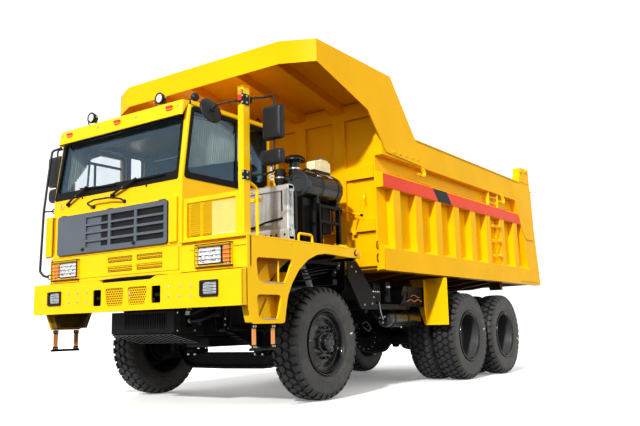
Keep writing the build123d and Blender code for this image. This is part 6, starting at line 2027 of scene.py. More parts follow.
    # roof console, dome lamp, visor, grab handles
    q.add(prism(rounded([(0.95, 3.430), (1.46, 3.430), (1.46, 3.330), (1.30, 3.345), (1.02, 3.400)], 0.02, 3), "xz", -1.50, 0.65, 0.010), "headlining")
    q.add(prism(rounded(rect(0.70, 0.82, -0.10, 0.14), 0.02, 3), "xy", 3.412, 3.432, 0.006), "cream")
    q.add(tube([(1.20, -1.545, 2.75), (1.20, -1.515, 2.77), (1.17, -1.515, 3.20), (1.17, -1.545, 3.22)], 0.014, 0.03, 12), "plastic")
    q.add(tube([(0.20, -1.30, 3.38), (0.20, -1.26, 3.34), (0.20, 0.40, 3.34), (0.20, 0.44, 3.38)], 0.008, 0.03, 10), "steel")
    q.add(prism(rounded(rect(-1.45, 0.60, 1.60, 2.62), 0.05, 4), "yz", 0.106, 0.130, 0.010), "headlining")
    # roller blind inside the back window, and its roller
    q.add(prism(rounded(rect(-1.34, 0.49, 2.690, 3.240), 0.03, 4), "yz", 0.108, 0.113, 0.001), "headlining")
    q.add(tube([(0.120, -1.35, 3.262), (0.120, 0.50, 3.262)], 0.022, 0, 16), "plastic")
    q.done()


instruments()


def curtain(name, side):
    """Pleated curtain beside a side window, its lower edge drawn up towards the rear."""
    top = [(1.420, 3.372), (1.017, 3.392), (0.668, 3.314), (0.458, 3.213), (0.330, 3.072)]
    low = [(1.503, 2.736), (1.100, 2.846), (0.672, 2.963), (0.458, 3.018), (0.330, 3.050)]
    if side < 0:
        # drawn forward: covers only the front corner of the window
        top = [(1.420, 3.372), (1.150, 3.388), (0.880, 3.392)]
        low = [(1.503, 2.736), (1.300, 3.000), (1.120, 3.250), (0.880, 3.372)]

    def at(line, x):
        for (xa, za), (xb, zb) in zip(line, line[1:]):
            if xb <= x <= xa or (line[0] == (xa, za) and x > xa):
                return za + (zb - za) * (x - xa) / (xb - xa)
        return line[-1][1]
    nx, nz = (230 if side > 0 else 150), 20
    y0 = 0.672 if side > 0 else -1.532
    verts, faces = [], []
    import random
    rng = random.Random(7 if side > 0 else 11)
    ph, phase, w = 0.0, [], []
    for i in range(nx + 1):
        ph += 2 * math.pi / 7.6 * (0.75 + 0.5 * rng.random())
        phase.append(ph)
    for i in range(nx + 1):
        t = i / nx
        xt, xl = 1.420 + (low[-1][0] - 1.420) * t, 1.503 + (low[-1][0] - 1.503) * t
        zt, zl = at(top, xt), at(low, xl)
        for j in range(nz + 1):
            s = j / nz
            deep = 0.0125 * (0.55 + 0.45 * s) * (1 + 0.15 * math.sin(0.21 * i + 2.0 * s))
            shift = 0.006 * math.sin(3.1 * s + 0.05 * i)
            z = zt + (zl - zt) * s - 0.010 * s * math.sin(phase[i] + 0.6)
            verts.append((xt + (xl - xt) * s + shift, y0 + deep * math.sin(phase[i] + 0.8 * s * math.sin(i * 0.09)), z))
    for i in range(nx):
        for j in range(nz):
            a = i * (nz + 1) + j
            faces.append((a, a + nz + 1, a + nz + 2, a + 1))
    p = Piece(name, "chassis")
    p.add((verts, faces), "curtain")
    ob = p.done()
    ob = ob or bpy.data.objects[name]
    th = ob.modifiers.new("thick", "SOLIDIFY")
    th.thickness = 0.0012
    th.offset = 0
    apply(ob)
    sub = ob.modifiers.new("sub", "SUBSURF")
    sub.levels = 1
    apply(ob)
    for q in ob.data.polygons:
        q.use_smooth = True


def curtains():
    for side, name in ((1, "left_curtain"), (-1, "right_curtain")):
        y0 = 0.672 if side > 0 else -1.532
        p = Piece(name + "_rail", "chassis")
        p.add(tube([(1.430, y0, 3.388), (1.017, y0, 3.408), (0.668, y0, 3.330), (0.458, y0, 3.229), (0.322, y0, 3.075), (0.318, y0, 3.040)] if side > 0 else
                   [(1.430, y0, 3.388), (1.150, y0, 3.404), (0.500, y0, 3.408)], 0.005, 0.05, 8), "alu_matte")
        for x, z in (((1.42, 3.388), (1.017, 3.408), (0.668, 3.330), (0.325, 3.08)) if side > 0 else ((1.42, 3.388), (1.15, 3.404), (0.51, 3.408))):
            p.add(block((x - 0.008, min(y0, y0 + side * 0.030), z - 0.008), (x + 0.008, max(y0, y0 + side * 0.030), z + 0.008), 0.002), "plastic")
        p.done()
        curtain(name, side)


curtains()


# ------------------------------------------------------------------ load body details
BY = 1.800
TOP_Z = 3.600


def side_decal(p, pts, s, mat, y=BY, lift=0.0012, thick=0.0008):
    a, b = sorted((s * (y + lift), s * (y + lift + thick)))
    p.add(prism(pts, "xz", a, b, 0), mat)


def weld(p, points, r=0.0045, mat="yellow_bed"):
    p.add(tube(points, r, 0, 6, caps=True), mat)


def bed_side_details():
    p = Piece("bed_side_fittings", "dump_bed")
    for s in (1, -1):
        # red stripe with its black slanted panel
        side_decal(p, [(-1.118, 2.757), (-1.118, 2.943), (-2.623, 2.943), (-2.800, 2.757)], s, "red")
        side_decal(p, [(-2.800, 2.757), (-2.623, 2.943), (-3.105, 2.943), (-3.290, 2.757)], s, "black_film_and_painted_shade")
        side_decal(p, [(-3.290, 2.757), (-3.105, 2.943), (-6.380, 2.943), (-6.455, 2.757)], s, "red")
        # cap strip on the top rail and the seam under it
        a, b = sorted((s * 1.786, s * 1.806))
        p.add(block((-6.44, a, TOP_Z - 0.004), (-2.12, b, TOP_Z + 0.010), 0.003), "yellow_bed")
        p.add(strip([(-2.16, s * 1.8008, TOP_Z - 0.022), (-6.44, s * 1.8008, TOP_Z - 0.022)], 0.005, 0.0014, (0, 0, 1), 0), "black_film_and_painted_shade")
        # weld beads round the ribs and along the rails
        for i in range(8):
            x = -1.496 - 0.6535 * i
            for e in (-0.1, 0.1):
                weld(p, [(x + e, s * 1.688, 1.96), (x + e, s * 1.688, 2.75)])
            weld(p, [(x - 0.1, s * 1.797, 1.912), (x + 0.1, s * 1.797, 1.912)], 0.004)
        weld(p, [(-1.11, s * 1.688, 3.012), (-6.5, s * 1.688, 3.012)])
        weld(p, [(-1.11, s * 1.688, 3.200), (-6.2, s * 1.688, 3.200)])
        # five bolts through the canopy's lap plate
        for k in range(5):
            t = k / 4
            p.add(bolt((-1.437 - 0.71 * t, s * 1.815, 3.290 + 0.012 * t), (0, s, 0), 0.013, 0.010), "yellow_bed")
            p.add(lathe([(0.026, 0), (0.025, 0.004), (0.015, 0.005)], (-1.437 - 0.71 * t, s * 1.815, 3.290 + 0.012 * t), (0, s, 0), 20), "yellow_bed")
        # curved hooks under the top rail
        for x0, z0 in ((-2.30, 3.21), (-5.46, 3.20)):
            pts = [(x0 + 0.02, s * 1.79, z0), (x0, s * 1.81, z0 - 0.03), (x0 - 0.03, s * 1.825, z0 - 0.09), (x0 + 0.02, s * 1.83, z0 - 0.145),
                   (x0 + 0.12, s * 1.825, z0 - 0.150), (x0 + 0.15, s * 1.82, z0 - 0.120)]
            p.add(strip(pts, 0.052, 0.020, (0, 1, 0), 0.03), "yellow")
            p.add(block((x0 - 0.05, min(s * 1.775, s * 1.806), z0 - 0.01), (x0 + 0.05, max(s * 1.775, s * 1.806), z0 + 0.05), 0.004), "yellow")
        # short ladder in the upper recess
        for x in (-4.87, -5.28):
            p.add(block((x - 0.022, min(s * 1.742, s * 1.790), 2.960), (x + 0.022, max(s * 1.742, s * 1.790), 3.205), 0.003), "yellow")
        for z in (3.02, 3.12):
            p.add(tube([(-4.87, s * 1.770, z), (-5.28, s * 1.770, z)], 0.011, 0, 10), "yellow")
        # triangular steps between two ribs
        for z in (2.595, 2.330, 2.060):
            x0, x1 = -4.935, -5.300
            p.add(tube([(x0, s * 1.700, z), (x0, s * 1.815, z + 0.004), (x1, s * 1.815, z + 0.004), (x1, s * 1.700, z)], 0.011, 0.02, 10, 4), "yellow")
            p.add(tube([(x0, s * 1.700, z - 0.085), (x0, s * 1.808, z)], 0.008, 0, 8), "yellow")
            p.add(tube([(x1, s * 1.700, z - 0.085), (x1, s * 1.808, z)], 0.008, 0, 8), "yellow")
            for x in (x0 - 0.06, x1 + 0.06, (x0 + x1) / 2):
                p.add(tube([(x, s * 1.700, z), (x, s * 1.812, z + 0.004)], 0.006, 0, 8), "yellow")
        # rear gusset on the low rail
        a, b = sorted((s * 1.8005, s * 1.808))
        p.add(prism([(-6.195, 1.825), (-7.048, 1.974), (-7.128, 1.655), (-6.211, 1.656)], "xz", a, b, 0.002), "yellow_bed")
        # end plate of the low rail
        a, b = sorted((s * 1.690, s * 1.798))
        p.add(block((-1.101, a, 1.62), (-1.096, b, 1.90), 0.002), "yellow_bed")
        # gate hinge block: bosses, cover plates, pin ends
        for x, z in ((-6.53, 3.845), (-6.82, 3.880)):
            p.add(lathe([(0.046, 0), (0.046, 0.010), (0.030, 0.016), (0.028, 0.022), (0.012, 0.026), (0, 0.026)], (x, s * 1.800, z), (0, s, 0), 28), "yellow_bed")
        a, b = sorted((s * 1.800, s * 1.808))
        p.add(prism([(-6.47, 3.62), (-6.70, 3.62), (-6.66, 3.74), (-6.50, 3.75)], "xz", a, b, 0.002), "yellow_bed")
        p.add(prism([(-6.74, 3.62), (-6.97, 3.62), (-6.95, 3.74), (-6.80, 3.77)], "xz", a, b, 0.002), "yellow_bed")
        p.add(block((-6.78, min(s * 1.70, s * 1.795), 3.905), (-6.60, max(s * 1.70, s * 1.795), 3.925), 0.004), "yellow_bed")
        # gate stop brackets at the back edge
        a, b = sorted((s * 1.665, s * 1.790))
        p.add(prism([(-7.03, 3.405), (-7.15, 3.405), (-7.16, 3.435), (-7.16, 3.52), (-7.13, 3.52), (-7.13, 3.455), (-7.03, 3.455)], "xz", s * 1.755 - 0.008, s * 1.755 + 0.008, 0.002), "yellow")
        p.add(tube([(-7.145, s * 1.755, 3.50), (-7.145, s * 1.800, 3.50)], 0.010, 0, 10), "yellow")
    p.done()


bed_side_details()


def canopy_details():
    p = Piece("bed_canopy_fittings", "dump_bed")
    # weld seams under and on the canopy
    for y in (-1.108, -0.421, 0.421, 1.108):
        for e in (-0.097, 0.097):
            weld(p, [(0.600, y + e, 4.352), (-1.095, y + e, 4.034)], 0.005)
            weld(p, [(-1.098, y + e, 1.78), (-1.098, y + e, 2.158)], 0.005)
            weld(p, [(-1.098, y + e, 2.334), (-1.098, y + e, 2.896)], 0.005)
            weld(p, [(-1.098, y + e, 3.084), (-1.098, y + e, 3.770)], 0.005)
    for y0, y1 in ((-0.326, 0.326), (0.516, 1.013), (-1.013, -0.516), (1.203, 1.655), (-1.655, -1.203)):
        for z in (2.156, 2.334, 2.896, 3.084, 3.770):
            if abs(y0) < 0.4 and z < 3.1:
                continue
            weld(p, [(-1.149, y0, z), (-1.149, y1, z)], 0.005)
    for s in (1, -1):
        # dark gaps where the outer bay's beams end
        for z in (2.150, 2.895, 3.768):
            p.add(strip([(-1.0985, s * 1.30, z), (-1.0985, s * 1.655, z)], 0.006, 0.002, (0, 0, 1), 0), "black_film_and_painted_shade")
        weld(p, [(0.398, s * 1.803, 4.10), (-0.36, s * 1.803, 4.10)], 0.004)
        # seam down the folded corner
        weld(p, [(0.408, s * 1.8145, 4.10), (0.408, s * 1.8145, 4.383)], 0.004)
        # small curved hooks low on the outer bay
        for x, y, z in ((-1.085, 1.520, 2.62), (-1.085, 1.700, 1.95), (-1.085, 1.700, 1.78)):
            p.add(tube([(-1.100, s * y, z + 0.05), (x + 0.015, s * y, z + 0.05), (x + 0.025, s * y, z), (x + 0.020, s * y, z - 0.05), (-1.100, s * y, z - 0.05)],
                       0.007, 0.02, 8), "black" if z < 2 else "yellow")
    # body prop lever on the front wall: rod with black ends and its strut
    a, b = Vector((-1.055, 1.150, 2.475)), Vector((-1.040, 1.488, 2.378))
    p.add(tube([a, b], 0.012, 0, 12), "yellow")
    for q in (a, b):
        p.add(lathe([(0, -0.020), (0.016, -0.018), (0.022, 0.0), (0.016, 0.018), (0, 0.020)], q, (b - a).normalized(), 16), "plastic")
    p.add(tube([b + Vector((0, -0.06, 0.01)), Vector((-1.098, 1.330, 2.150))], 0.010, 0, 10), "yellow")
    p.add(block((-1.100, 1.300, 2.125), (-1.080, 1.360, 2.175), 0.003), "yellow")
    p.add(block((-1.100, 1.125, 2.445), (-1.050, 1.175, 2.500), 0.003), "yellow")
    # lifting eyes on the canopy's top
    for x, y in ((0.30, -1.2), (0.30, 1.2), (-1.0, -1.2), (-1.0, 1.2)):
        z = 4.384 if x > 0 else 4.06
        z = 4.0325 + (x + 1.2) * (4.384 - 4.026) / 1.9
        p.add(tube([(x - 0.05, y, z - 0.006), (x - 0.05, y, z + 0.035), (x, y, z + 0.060), (x + 0.05, y, z + 0.035), (x + 0.05, y, z - 0.006)], 0.010, 0.03, 10), "yellow")
    p.done()


canopy_details()


def body_inside():
    p = Piece("bed_floor_wear", "dump_bed")
    # wear plates on the floor in the darker yellow, which is painted shade with dust, and the gate's ribs
    for i in range(5):
        for j in range(3):
            x1, x0 = -1.35 - i * 1.12, -1.35 - i * 1.12 - 1.08
            y0 = -1.50 + j * 1.01
            if i == 0 and j == 1:
                continue
            p.add(block((x0, y0, 1.6806), (x1, y0 + 0.98, 1.6880), 0.003), "yellow_in")
            for px in (x0 + 0.1, x1 - 0.1):
                for py in (y0 + 0.1, y0 + 0.88):
                    p.add(lathe([(0.022, 0), (0.020, 0.002), (0.010, 0.003), (0, 0.003)], (px, py, 1.6880), (0, 0, 1), 14), "yellow_in")
    p.done()
    g = Piece("tailgate_ribs", "tailgate")
    slope = Vector((-7.030 + 7.232, 0, 3.40 - 1.69)).normalized()
    for y in (-1.35, -0.80, -0.27, 0.27, 0.80, 1.35):
        a, b = Vector((-7.262, y, 1.760)), Vector((-7.082, y, 3.300))
        n = Vector((-1, 0, 0.115)).normalized()
        pts = [a, b]
        g.add(moved(prism([(-0.045, 0), (0.045, 0), (0.030, 0.028), (-0.030, 0.028)], "xy", 0.0, (b - a).length, 0.004),
                    Matrix((Vector((0, 1, 0)), n, (b - a).normalized())).transposed(), a - n * 0.002), "yellow_bed")
    for z in (1.80, 2.55, 3.22):
        x = -7.262 + (z - 1.69) * (0.162 / 1.16 if z < 2.85 else 0.115)
        g.add(moved(prism([(-1.60, -0.05), (1.60, -0.05), (1.60, 0.05), (-1.60, 0.05)], "yz", -0.016, 0.0, 0.004), None, (x - 0.0, 0, z)), "yellow_bed")
    g.done()


def bolsters():
    """Cross bearers that get shallower towards the sides, and the hangers under the rear wheels' gap."""
    p = Piece("bed_cross_bearers", "dump_bed")
    # bearers and hangers in the very dark yellow: painted shade of the bed's underside
    for x in (-1.950, -2.500, -3.250, -3.950, -4.650, -5.350, -5.900, -6.600, -7.100):
        low = 1.520 if x > -6.3 else 1.612
        p.add(prism([(-1.655, 1.622), (-0.900, low), (0.900, low), (1.655, 1.622), (1.655, 1.640), (-1.655, 1.640)], "yz", x - 0.050, x + 0.050, 0.004), "yellow_under")
        for s in (1, -1):
            if x > -6.3:
                p.add(block((x - 0.060, min(s * 0.455, s * 0.475), low + 0.004), (x + 0.060, max(s * 0.455, s * 0.475), 1.636), 0.003), "yellow_under")
    for s in (1, -1):
        a, b = sorted((s * 1.42, s * 1.64))
        p.add(prism([(-5.640, 1.612), (-5.640, 1.560), (-5.600, 1.480), (-5.560, 1.480), (-5.500, 1.612)], "xz", a, a + 0.012, 0.002), "yellow_under")
        p.add(prism([(-5.640, 1.612), (-5.640, 1.560), (-5.600, 1.480), (-5.560, 1.480), (-5.500, 1.612)], "xz", b - 0.012, b, 0.002), "yellow_under")
        p.add(block((-5.640, a, 1.480), (-5.620, b, 1.612), 0.003), "yellow_under")
    # painted shade: a dark plate on the underside of the floor
    p.add(block((-7.225, -1.655, 1.6362), (-1.760, 1.655, 1.6396), 0.001), "yellow_under")
    p.done(replaces=("bed_bolsters",))


body_inside()
bolsters()


# ------------------------------------------------------------------ chassis details
def leaf_stack(p, x0, y, z0, span, leaves, camber, s, width=0.100, thick=0.018, flip=False, mat="black_cast"):
    """Leaves of falling length, each a bent strip, stacked about the middle."""
    for k in range(leaves):
        half = span * (1 - 0.115 * k)
        pts = []
        for i in range(13):
            t = -1 + 2 * i / 12
            pts.append((x0 + half * t, y, z0 + camber * (half * t / span) ** 2 * (-1 if flip else 1) - (k * (thick + 0.001)) * (-1 if flip else 1)))
        p.add(strip(pts, width, thick, (0, 1, 0), 0.0), mat)


def ubolt(p, x, y, z0, z1, w=0.125, r=0.011):
    p.add(tube([(x, y - w / 2, z0), (x, y - w / 2, z1), (x, y + w / 2, z1), (x, y + w / 2, z0)], r, 0.03, 10, 5), "black")
    for e in (-w / 2, w / 2):
        p.add(bolt((x, y + e, z0), (0, 0, -1), 0.017, 0.020), "steel")


def front_axle_detail():
    p = Piece("front_axle_beam", "chassis")
    # forged I beam dropping between the springs, with king-pin eyes
    line = [(-0.960, 0.685), (-0.860, 0.660), (-0.740, 0.500), (-0.640, 0.468), (0.0, 0.462), (0.640, 0.468), (0.740, 0.500), (0.860, 0.660), (0.960, 0.685)]
    def rail(off, half, deep):
        top = [(y, z + off + half) for y, z in line]
        low = [(y, z + off - half) for y, z in reversed(line)]
        return prism(top + low, "yz", -deep, deep, 0.006)
    p.add(rail(0.082, 0.018, 0.090), "black_cast")
    p.add(rail(-0.082, 0.018, 0.090), "black_cast")
    p.add(rail(0.0, 0.075, 0.028), "black_cast")
    for s in (1, -1):
        p.add(lathe([(0.0705, -0.10), (0.084, -0.096), (0.086, -0.06), (0.080, 0.0), (0.086, 0.06), (0.084, 0.096), (0.0705, 0.10)],
                    (0, s * 1.050, 0.685), (0, 0, 1), 40), "black_cast")
        p.add(prism([(0.90, 0.60), (0.99, 0.60), (0.99, 0.775), (0.90, 0.775)] if s > 0 else [(-0.90, 0.60), (-0.99, 0.60), (-0.99, 0.775), (-0.90, 0.775)],
                    "yz", -0.075, 0.075, 0.010), "black_cast")
        # spring seat, leaves, clips, hangers and shackle
        leaf_stack(p, 0.0, s * 0.600, 0.765, 0.78, 8, 0.120, s, 0.100, 0.017)
        p.add(block((-0.15, min(s * 0.535, s * 0.665), 0.572), (0.15, max(s * 0.535, s * 0.665), 0.622), 0.008), "black_cast")
        p.add(block((-0.16, min(s * 0.540, s * 0.660), 0.776), (0.16, max(s * 0.540, s * 0.660), 0.800), 0.006), "black_cast")
        for x in (-0.115, 0.115):
            ubolt(p, x, s * 0.600, 0.560, 0.815)
        for x in (-0.45, 0.45):
            p.add(tube([(x, s * 0.545, 0.765), (x, s * 0.545, 0.812), (x, s * 0.655, 0.812), (x, s * 0.655, 0.765)], 0.006, 0.01, 8), "black")
        for x in (-0.78, 0.78):
            p.add(lathe([(0.020, -0.056), (0.036, -0.054), (0.038, 0.0), (0.036, 0.054), (0.020, 0.056)], (x, s * 0.600, 0.882), (0, 1, 0), 26), "black_cast")
            p.add(lathe([(0, -0.078), (0.017, -0.077), (0.018, 0.077), (0, 0.078)], (x, s * 0.600, 0.882), (0, 1, 0), 16), "steel")
            for e in (-0.066, 0.066):
                p.add(prism(rounded([(x - 0.055, 0.850), (x + 0.055, 0.850), (x + 0.075, 1.040), (x - 0.075, 1.040)], 0.03, 3), "xz",
                            s * 0.600 + e - 0.008, s * 0.600 + e + 0.008, 0.003), "black")
            p.add(block((x - 0.08, min(s * 0.452, s * 0.672), 1.030), (x + 0.08, max(s * 0.452, s * 0.672), 1.046), 0.003), "black")
            for dx in (-0.05, 0.05):
                for z in (0.93, 1.0):
                    p.add(bolt((x + dx, s * 0.675, z), (0, s, 0), 0.011, 0.009), "steel")
        # damper
        q0, q1 = Vector((-0.24, s * 0.735, 0.640)), Vector((-0.42, s * 0.700, 1.190))
        d = (q1 - q0).normalized()
        p.add(lathe([(0, 0.02), (0.030, 0.024), (0.033, 0.05), (0.033, 0.30), (0.030, 0.31), (0.014, 0.315), (0.014, 0.36), (0, 0.36)], q0, d, 22), "black")
        p.add(lathe([(0.0375, 0.33), (0.040, 0.335), (0.040, 0.56), (0.034, 0.575), (0, 0.576)], q0, d, 22), "black")
        for q in (q0, q1):
            p.add(lathe([(0, -0.03), (0.024, -0.03), (0.026, 0.0), (0.024, 0.03), (0, 0.03)], q, (0, 1, 0), 20), "black_cast")
    p.done(replaces=("front_axle",))


front_axle_detail()


def rear_suspension():
    p = Piece("rear_leaf_springs", "chassis")
    mid = -4.450
    for s in (1, -1):
        leaf_stack(p, mid, s * 0.605, 1.072, 0.90, 12, 0.205, s, 0.110, 0.0165, flip=True)
        p.add(block((mid - 0.20, min(s * 0.545, s * 0.665), 1.075), (mid + 0.20, max(s * 0.545, s * 0.665), 1.105), 0.006), "black_cast")
        for x in (mid - 0.14, mid + 0.14):
            ubolt(p, x, s * 0.605, 0.800, 1.118, 0.135, 0.014)
        p.add(prism([(mid - 0.20, 0.795), (mid + 0.20, 0.795), (mid + 0.17, 0.865), (mid - 0.17, 0.865)], "xz", s * 0.605 - 0.06, s * 0.605 + 0.06, 0.008), "black_cast")
        p.add(prism(rounded([(mid - 0.20, 0.86), (mid + 0.20, 0.86), (mid + 0.13, 1.18), (mid - 0.13, 1.18)], 0.03, 3), "xz", min(s * 0.462, s * 0.545), max(s * 0.462, s * 0.545), 0.006), "black_cast")
        p.add(lathe([(0, 0), (0.085, 0.0), (0.090, 0.008), (0.088, 0.030), (0.060, 0.040), (0, 0.042)], (mid, s * 0.666, 0.870), (0, s, 0), 32), "black_cast")
        for k in range(6):
            a = math.radians(60 * k)
            p.add(bolt((mid + 0.066 * math.cos(a), s * 0.702, 0.870 + 0.066 * math.sin(a)), (0, s, 0), 0.010, 0.010), "steel")
        # spring pads on the axles and torque rods
        for x in (-3.7, -5.2):
            e = 1 if x > mid else -1
            p.add(prism([(x - 0.09, 0.700), (x + 0.09, 0.700), (x + 0.07, 0.815), (x - 0.07, 0.815)], "xz", s * 0.605 - 0.065, s * 0.605 + 0.065, 0.006), "black_cast")
            p.add(block((x - 0.09, min(s * 0.54, s * 0.67), 0.805), (x + 0.09, max(s * 0.54, s * 0.67), 0.842), 0.005), "black_cast")
            q0, q1 = Vector((x - e * 0.03, s * 0.420, 0.560)), Vector((mid + e * 0.05, s * 0.420, 0.620))
            p.add(tube([q0, q1], 0.026, 0, 16), "black")
            for q in (q0, q1):
                p.add(lathe([(0, -0.045), (0.045, -0.043), (0.048, 0.0), (0.045, 0.043), (0, 0.045)], q, (0, 1, 0), 24), "black_cast")
            # brake chambers and their slack rods
            c = Vector((x + 0.16, s * 0.860, 0.800))
            p.add(lathe([(0, 0), (0.060, 0.002), (0.082, 0.020), (0.086, 0.055), (0.090, 0.060), (0.090, 0.072), (0.084, 0.078), (0.080, 0.130), (0.070, 0.150),
                         (0.070, 0.190), (0.045, 0.205), (0, 0.206)], c, Vector((0.15, -s * 0.8, 0.35)).normalized(), 28), "black")
            p.add(tube([c + Vector((0, 0.02 * s, 0)), c + Vector((-0.12, 0.14 * s, -0.04))], 0.010, 0, 10), "steel")
    p.add(tube([(mid, -0.545, 0.870), (mid, 0.545, 0.870)], 0.060, 0, 28), "black_cast")
    p.done(replaces=("rear_springs",))
    q = Piece("axle_housing_details", "chassis")
    for x in (-3.7, -5.2):
        # carrier flange, cover bolts, drain plug
        q.add(lathe([(0.205, -0.02), (0.215, -0.018), (0.215, 0.02), (0.205, 0.024), (0.150, 0.040), (0.110, 0.075), (0.060, 0.085), (0, 0.086)],
                    (x + 0.235, 0, 0.685), (1, 0, 0), 40), "black_cast")
        for k in range(14):
            a = 2 * math.pi * k / 14
            q.add(bolt((x + 0.255, 0.195 * math.cos(a), 0.685 + 0.195 * math.sin(a)), (1, 0, 0), 0.010, 0.009), "steel")
        for s in (1, -1):
            for y in (0.42, 0.78):
                q.add(lathe([(0.124, -0.012), (0.134, -0.010), (0.134, 0.010), (0.124, 0.012)], (x, s * y, 0.685), (0, 1, 0), 36), "black_cast")
        q.add(bolt((x - 0.02, 0.0, 0.397), (0, 0, -1), 0.016, 0.012), "steel")
    for x, z in ((-0.456, 0.870), (-3.46, 0.706)):
        q.add(lathe([(0.075, -0.03), (0.088, -0.026), (0.088, 0.0), (0.060, 0.012), (0.052, 0.050)], (x - 0.02, 0, z), (-1, 0, -0.05), 28), "black_cast")
    # universal joints on the shafts
    for x, z in ((-0.62, 0.861), (-3.36, 0.708), (-4.0, 0.70), (-4.92, 0.70)):
        q.add(lathe([(0, -0.07), (0.034, -0.066), (0.040, 0.0), (0.034, 0.066), (0, 0.07)], (x, 0, z), (0, 1, 0), 20), "black_cast")
        q.add(lathe([(0, -0.07), (0.034, -0.066), (0.040, 0.0), (0.034, 0.066), (0, 0.07)], (x, 0, z), (0, 0, 1), 20), "black_cast")
    q.done()


rear_suspension()


def cooler():
    p = Piece("front_cooler_guard", "chassis")
    # slatted front with a frame, side plates, and the slotted skid under it
    p.add(holed(rounded(rect(-0.540, 0.540, 0.846, 1.100), 0.006, 2), [rounded(rect(-0.300, 0.415, 0.905, 1.075), 0.006, 2)], "yz", 1.510, 1.530, 0.004), "black")
    for k in range(24):
        y = -0.292 + 0.0295 * k
        p.add(block((1.500, y, 0.905), (1.524, y + 0.010, 1.075), 0.0015), "plastic_matte")
    p.add(block((1.492, -0.47, 0.86), (1.500, 0.47, 1.095), 0.002), "fins_dark")
    for s in (1, -1):
        p.add(holed([(1.150, 0.846), (1.520, 0.846), (1.520, 1.100), (1.150, 1.100)], [rounded([(1.24, 0.91), (1.44, 0.91), (1.44, 1.03), (1.24, 1.03)], 0.03, 4)],
                    "xz", min(s * 0.520, s * 0.540), max(s * 0.520, s * 0.540), 0.003), "black")
        p.add(block((1.240, min(s * 0.462, s * 0.540), 1.085), (1.350, max(s * 0.462, s * 0.540), 1.160), 0.004), "black")
        for x in (1.27, 1.32):
            p.add(bolt((x, s * 0.540, 1.125), (0, s, 0), 0.011, 0.009), "steel")
        for z in (0.872, 1.075):
            for x in (1.20, 1.48):
                p.add(bolt((x, s * 0.540, z), (0, s, 0), 0.008, 0.006), "steel")
    for x, y0, y1 in ((1.150, -0.52, 0.52),):
        p.add(block((x, y0, 0.85), (x + 0.012, y1, 1.10), 0.003), "black")
    p.add(block((1.16, -0.52, 0.846), (1.50, 0.52, 0.860), 0.003), "black")
    p.add(block((1.25, -0.47, 0.862), (1.46, 0.47, 1.08), 0.010), "fins_dark")
    # skid: side bars, cross bars and running bars with slots between
    d = Vector((1.100 - 1.530, 0, 0.733 - 0.842)).normalized()
    n = Vector((-d.z, 0, d.x)) * -1
    m = Matrix((d, Vector((0, 1, 0)), n)).transposed()
    at = Vector((1.532, 0, 0.838))
    L = 0.440
    for u in (0.0, L - 0.035):
        p.add(moved(block((u, -0.520, -0.008), (u + 0.035, 0.520, 0.006), 0.002), m, at), "black")
    for k in range(12):
        y = -0.520 + k * (1.04 - 0.034) / 11
        p.add(moved(block((0.0, y, -0.007), (L, y + 0.034, 0.006), 0.002), m, at), "black")
        p.add(moved(block((0.030, y + 0.030, 0.004), (L - 0.03, y + 0.036, 0.011), 0.001), m, at), "alu_matte" if k < 11 else "black")
    for y in (-0.51, 0.51):
        p.add(prism([(1.525, 0.850), (1.150, 0.850), (1.105, 0.745), (1.105, 0.735), (1.525, 0.840)], "xz", y - 0.008, y + 0.008, 0.002), "black")
    # hoses and fittings beside it
    for s in (1, -1):
        p.add(tube([(1.30, s * 0.54, 0.98), (1.28, s * 0.60, 0.98), (1.20, s * 0.66, 1.00), (1.02, s * 0.66, 1.05), (0.80, s * 0.62, 1.10)], 0.022, 0.06, 12), "hose")
        p.add(lathe([(0.026, 0), (0.028, 0.01), (0.028, 0.03), (0.024, 0.034)], (1.30, s * 0.54, 0.98), (0, s, 0), 20), "alu_matte")
    p.add(tube([(1.35, 0.62, 1.06), (1.10, 0.70, 1.16), (0.80, 0.90, 1.30), (0.70, 0.98, 1.40)], 0.018, 0.08, 10), "hose")
    p.add(drum((1.38, 0.60, 1.045), (0, 0, 1), 0.030, 0.050, 0.005), "alu_matte")
    p.done(replaces=("cooler_box",))


cooler()


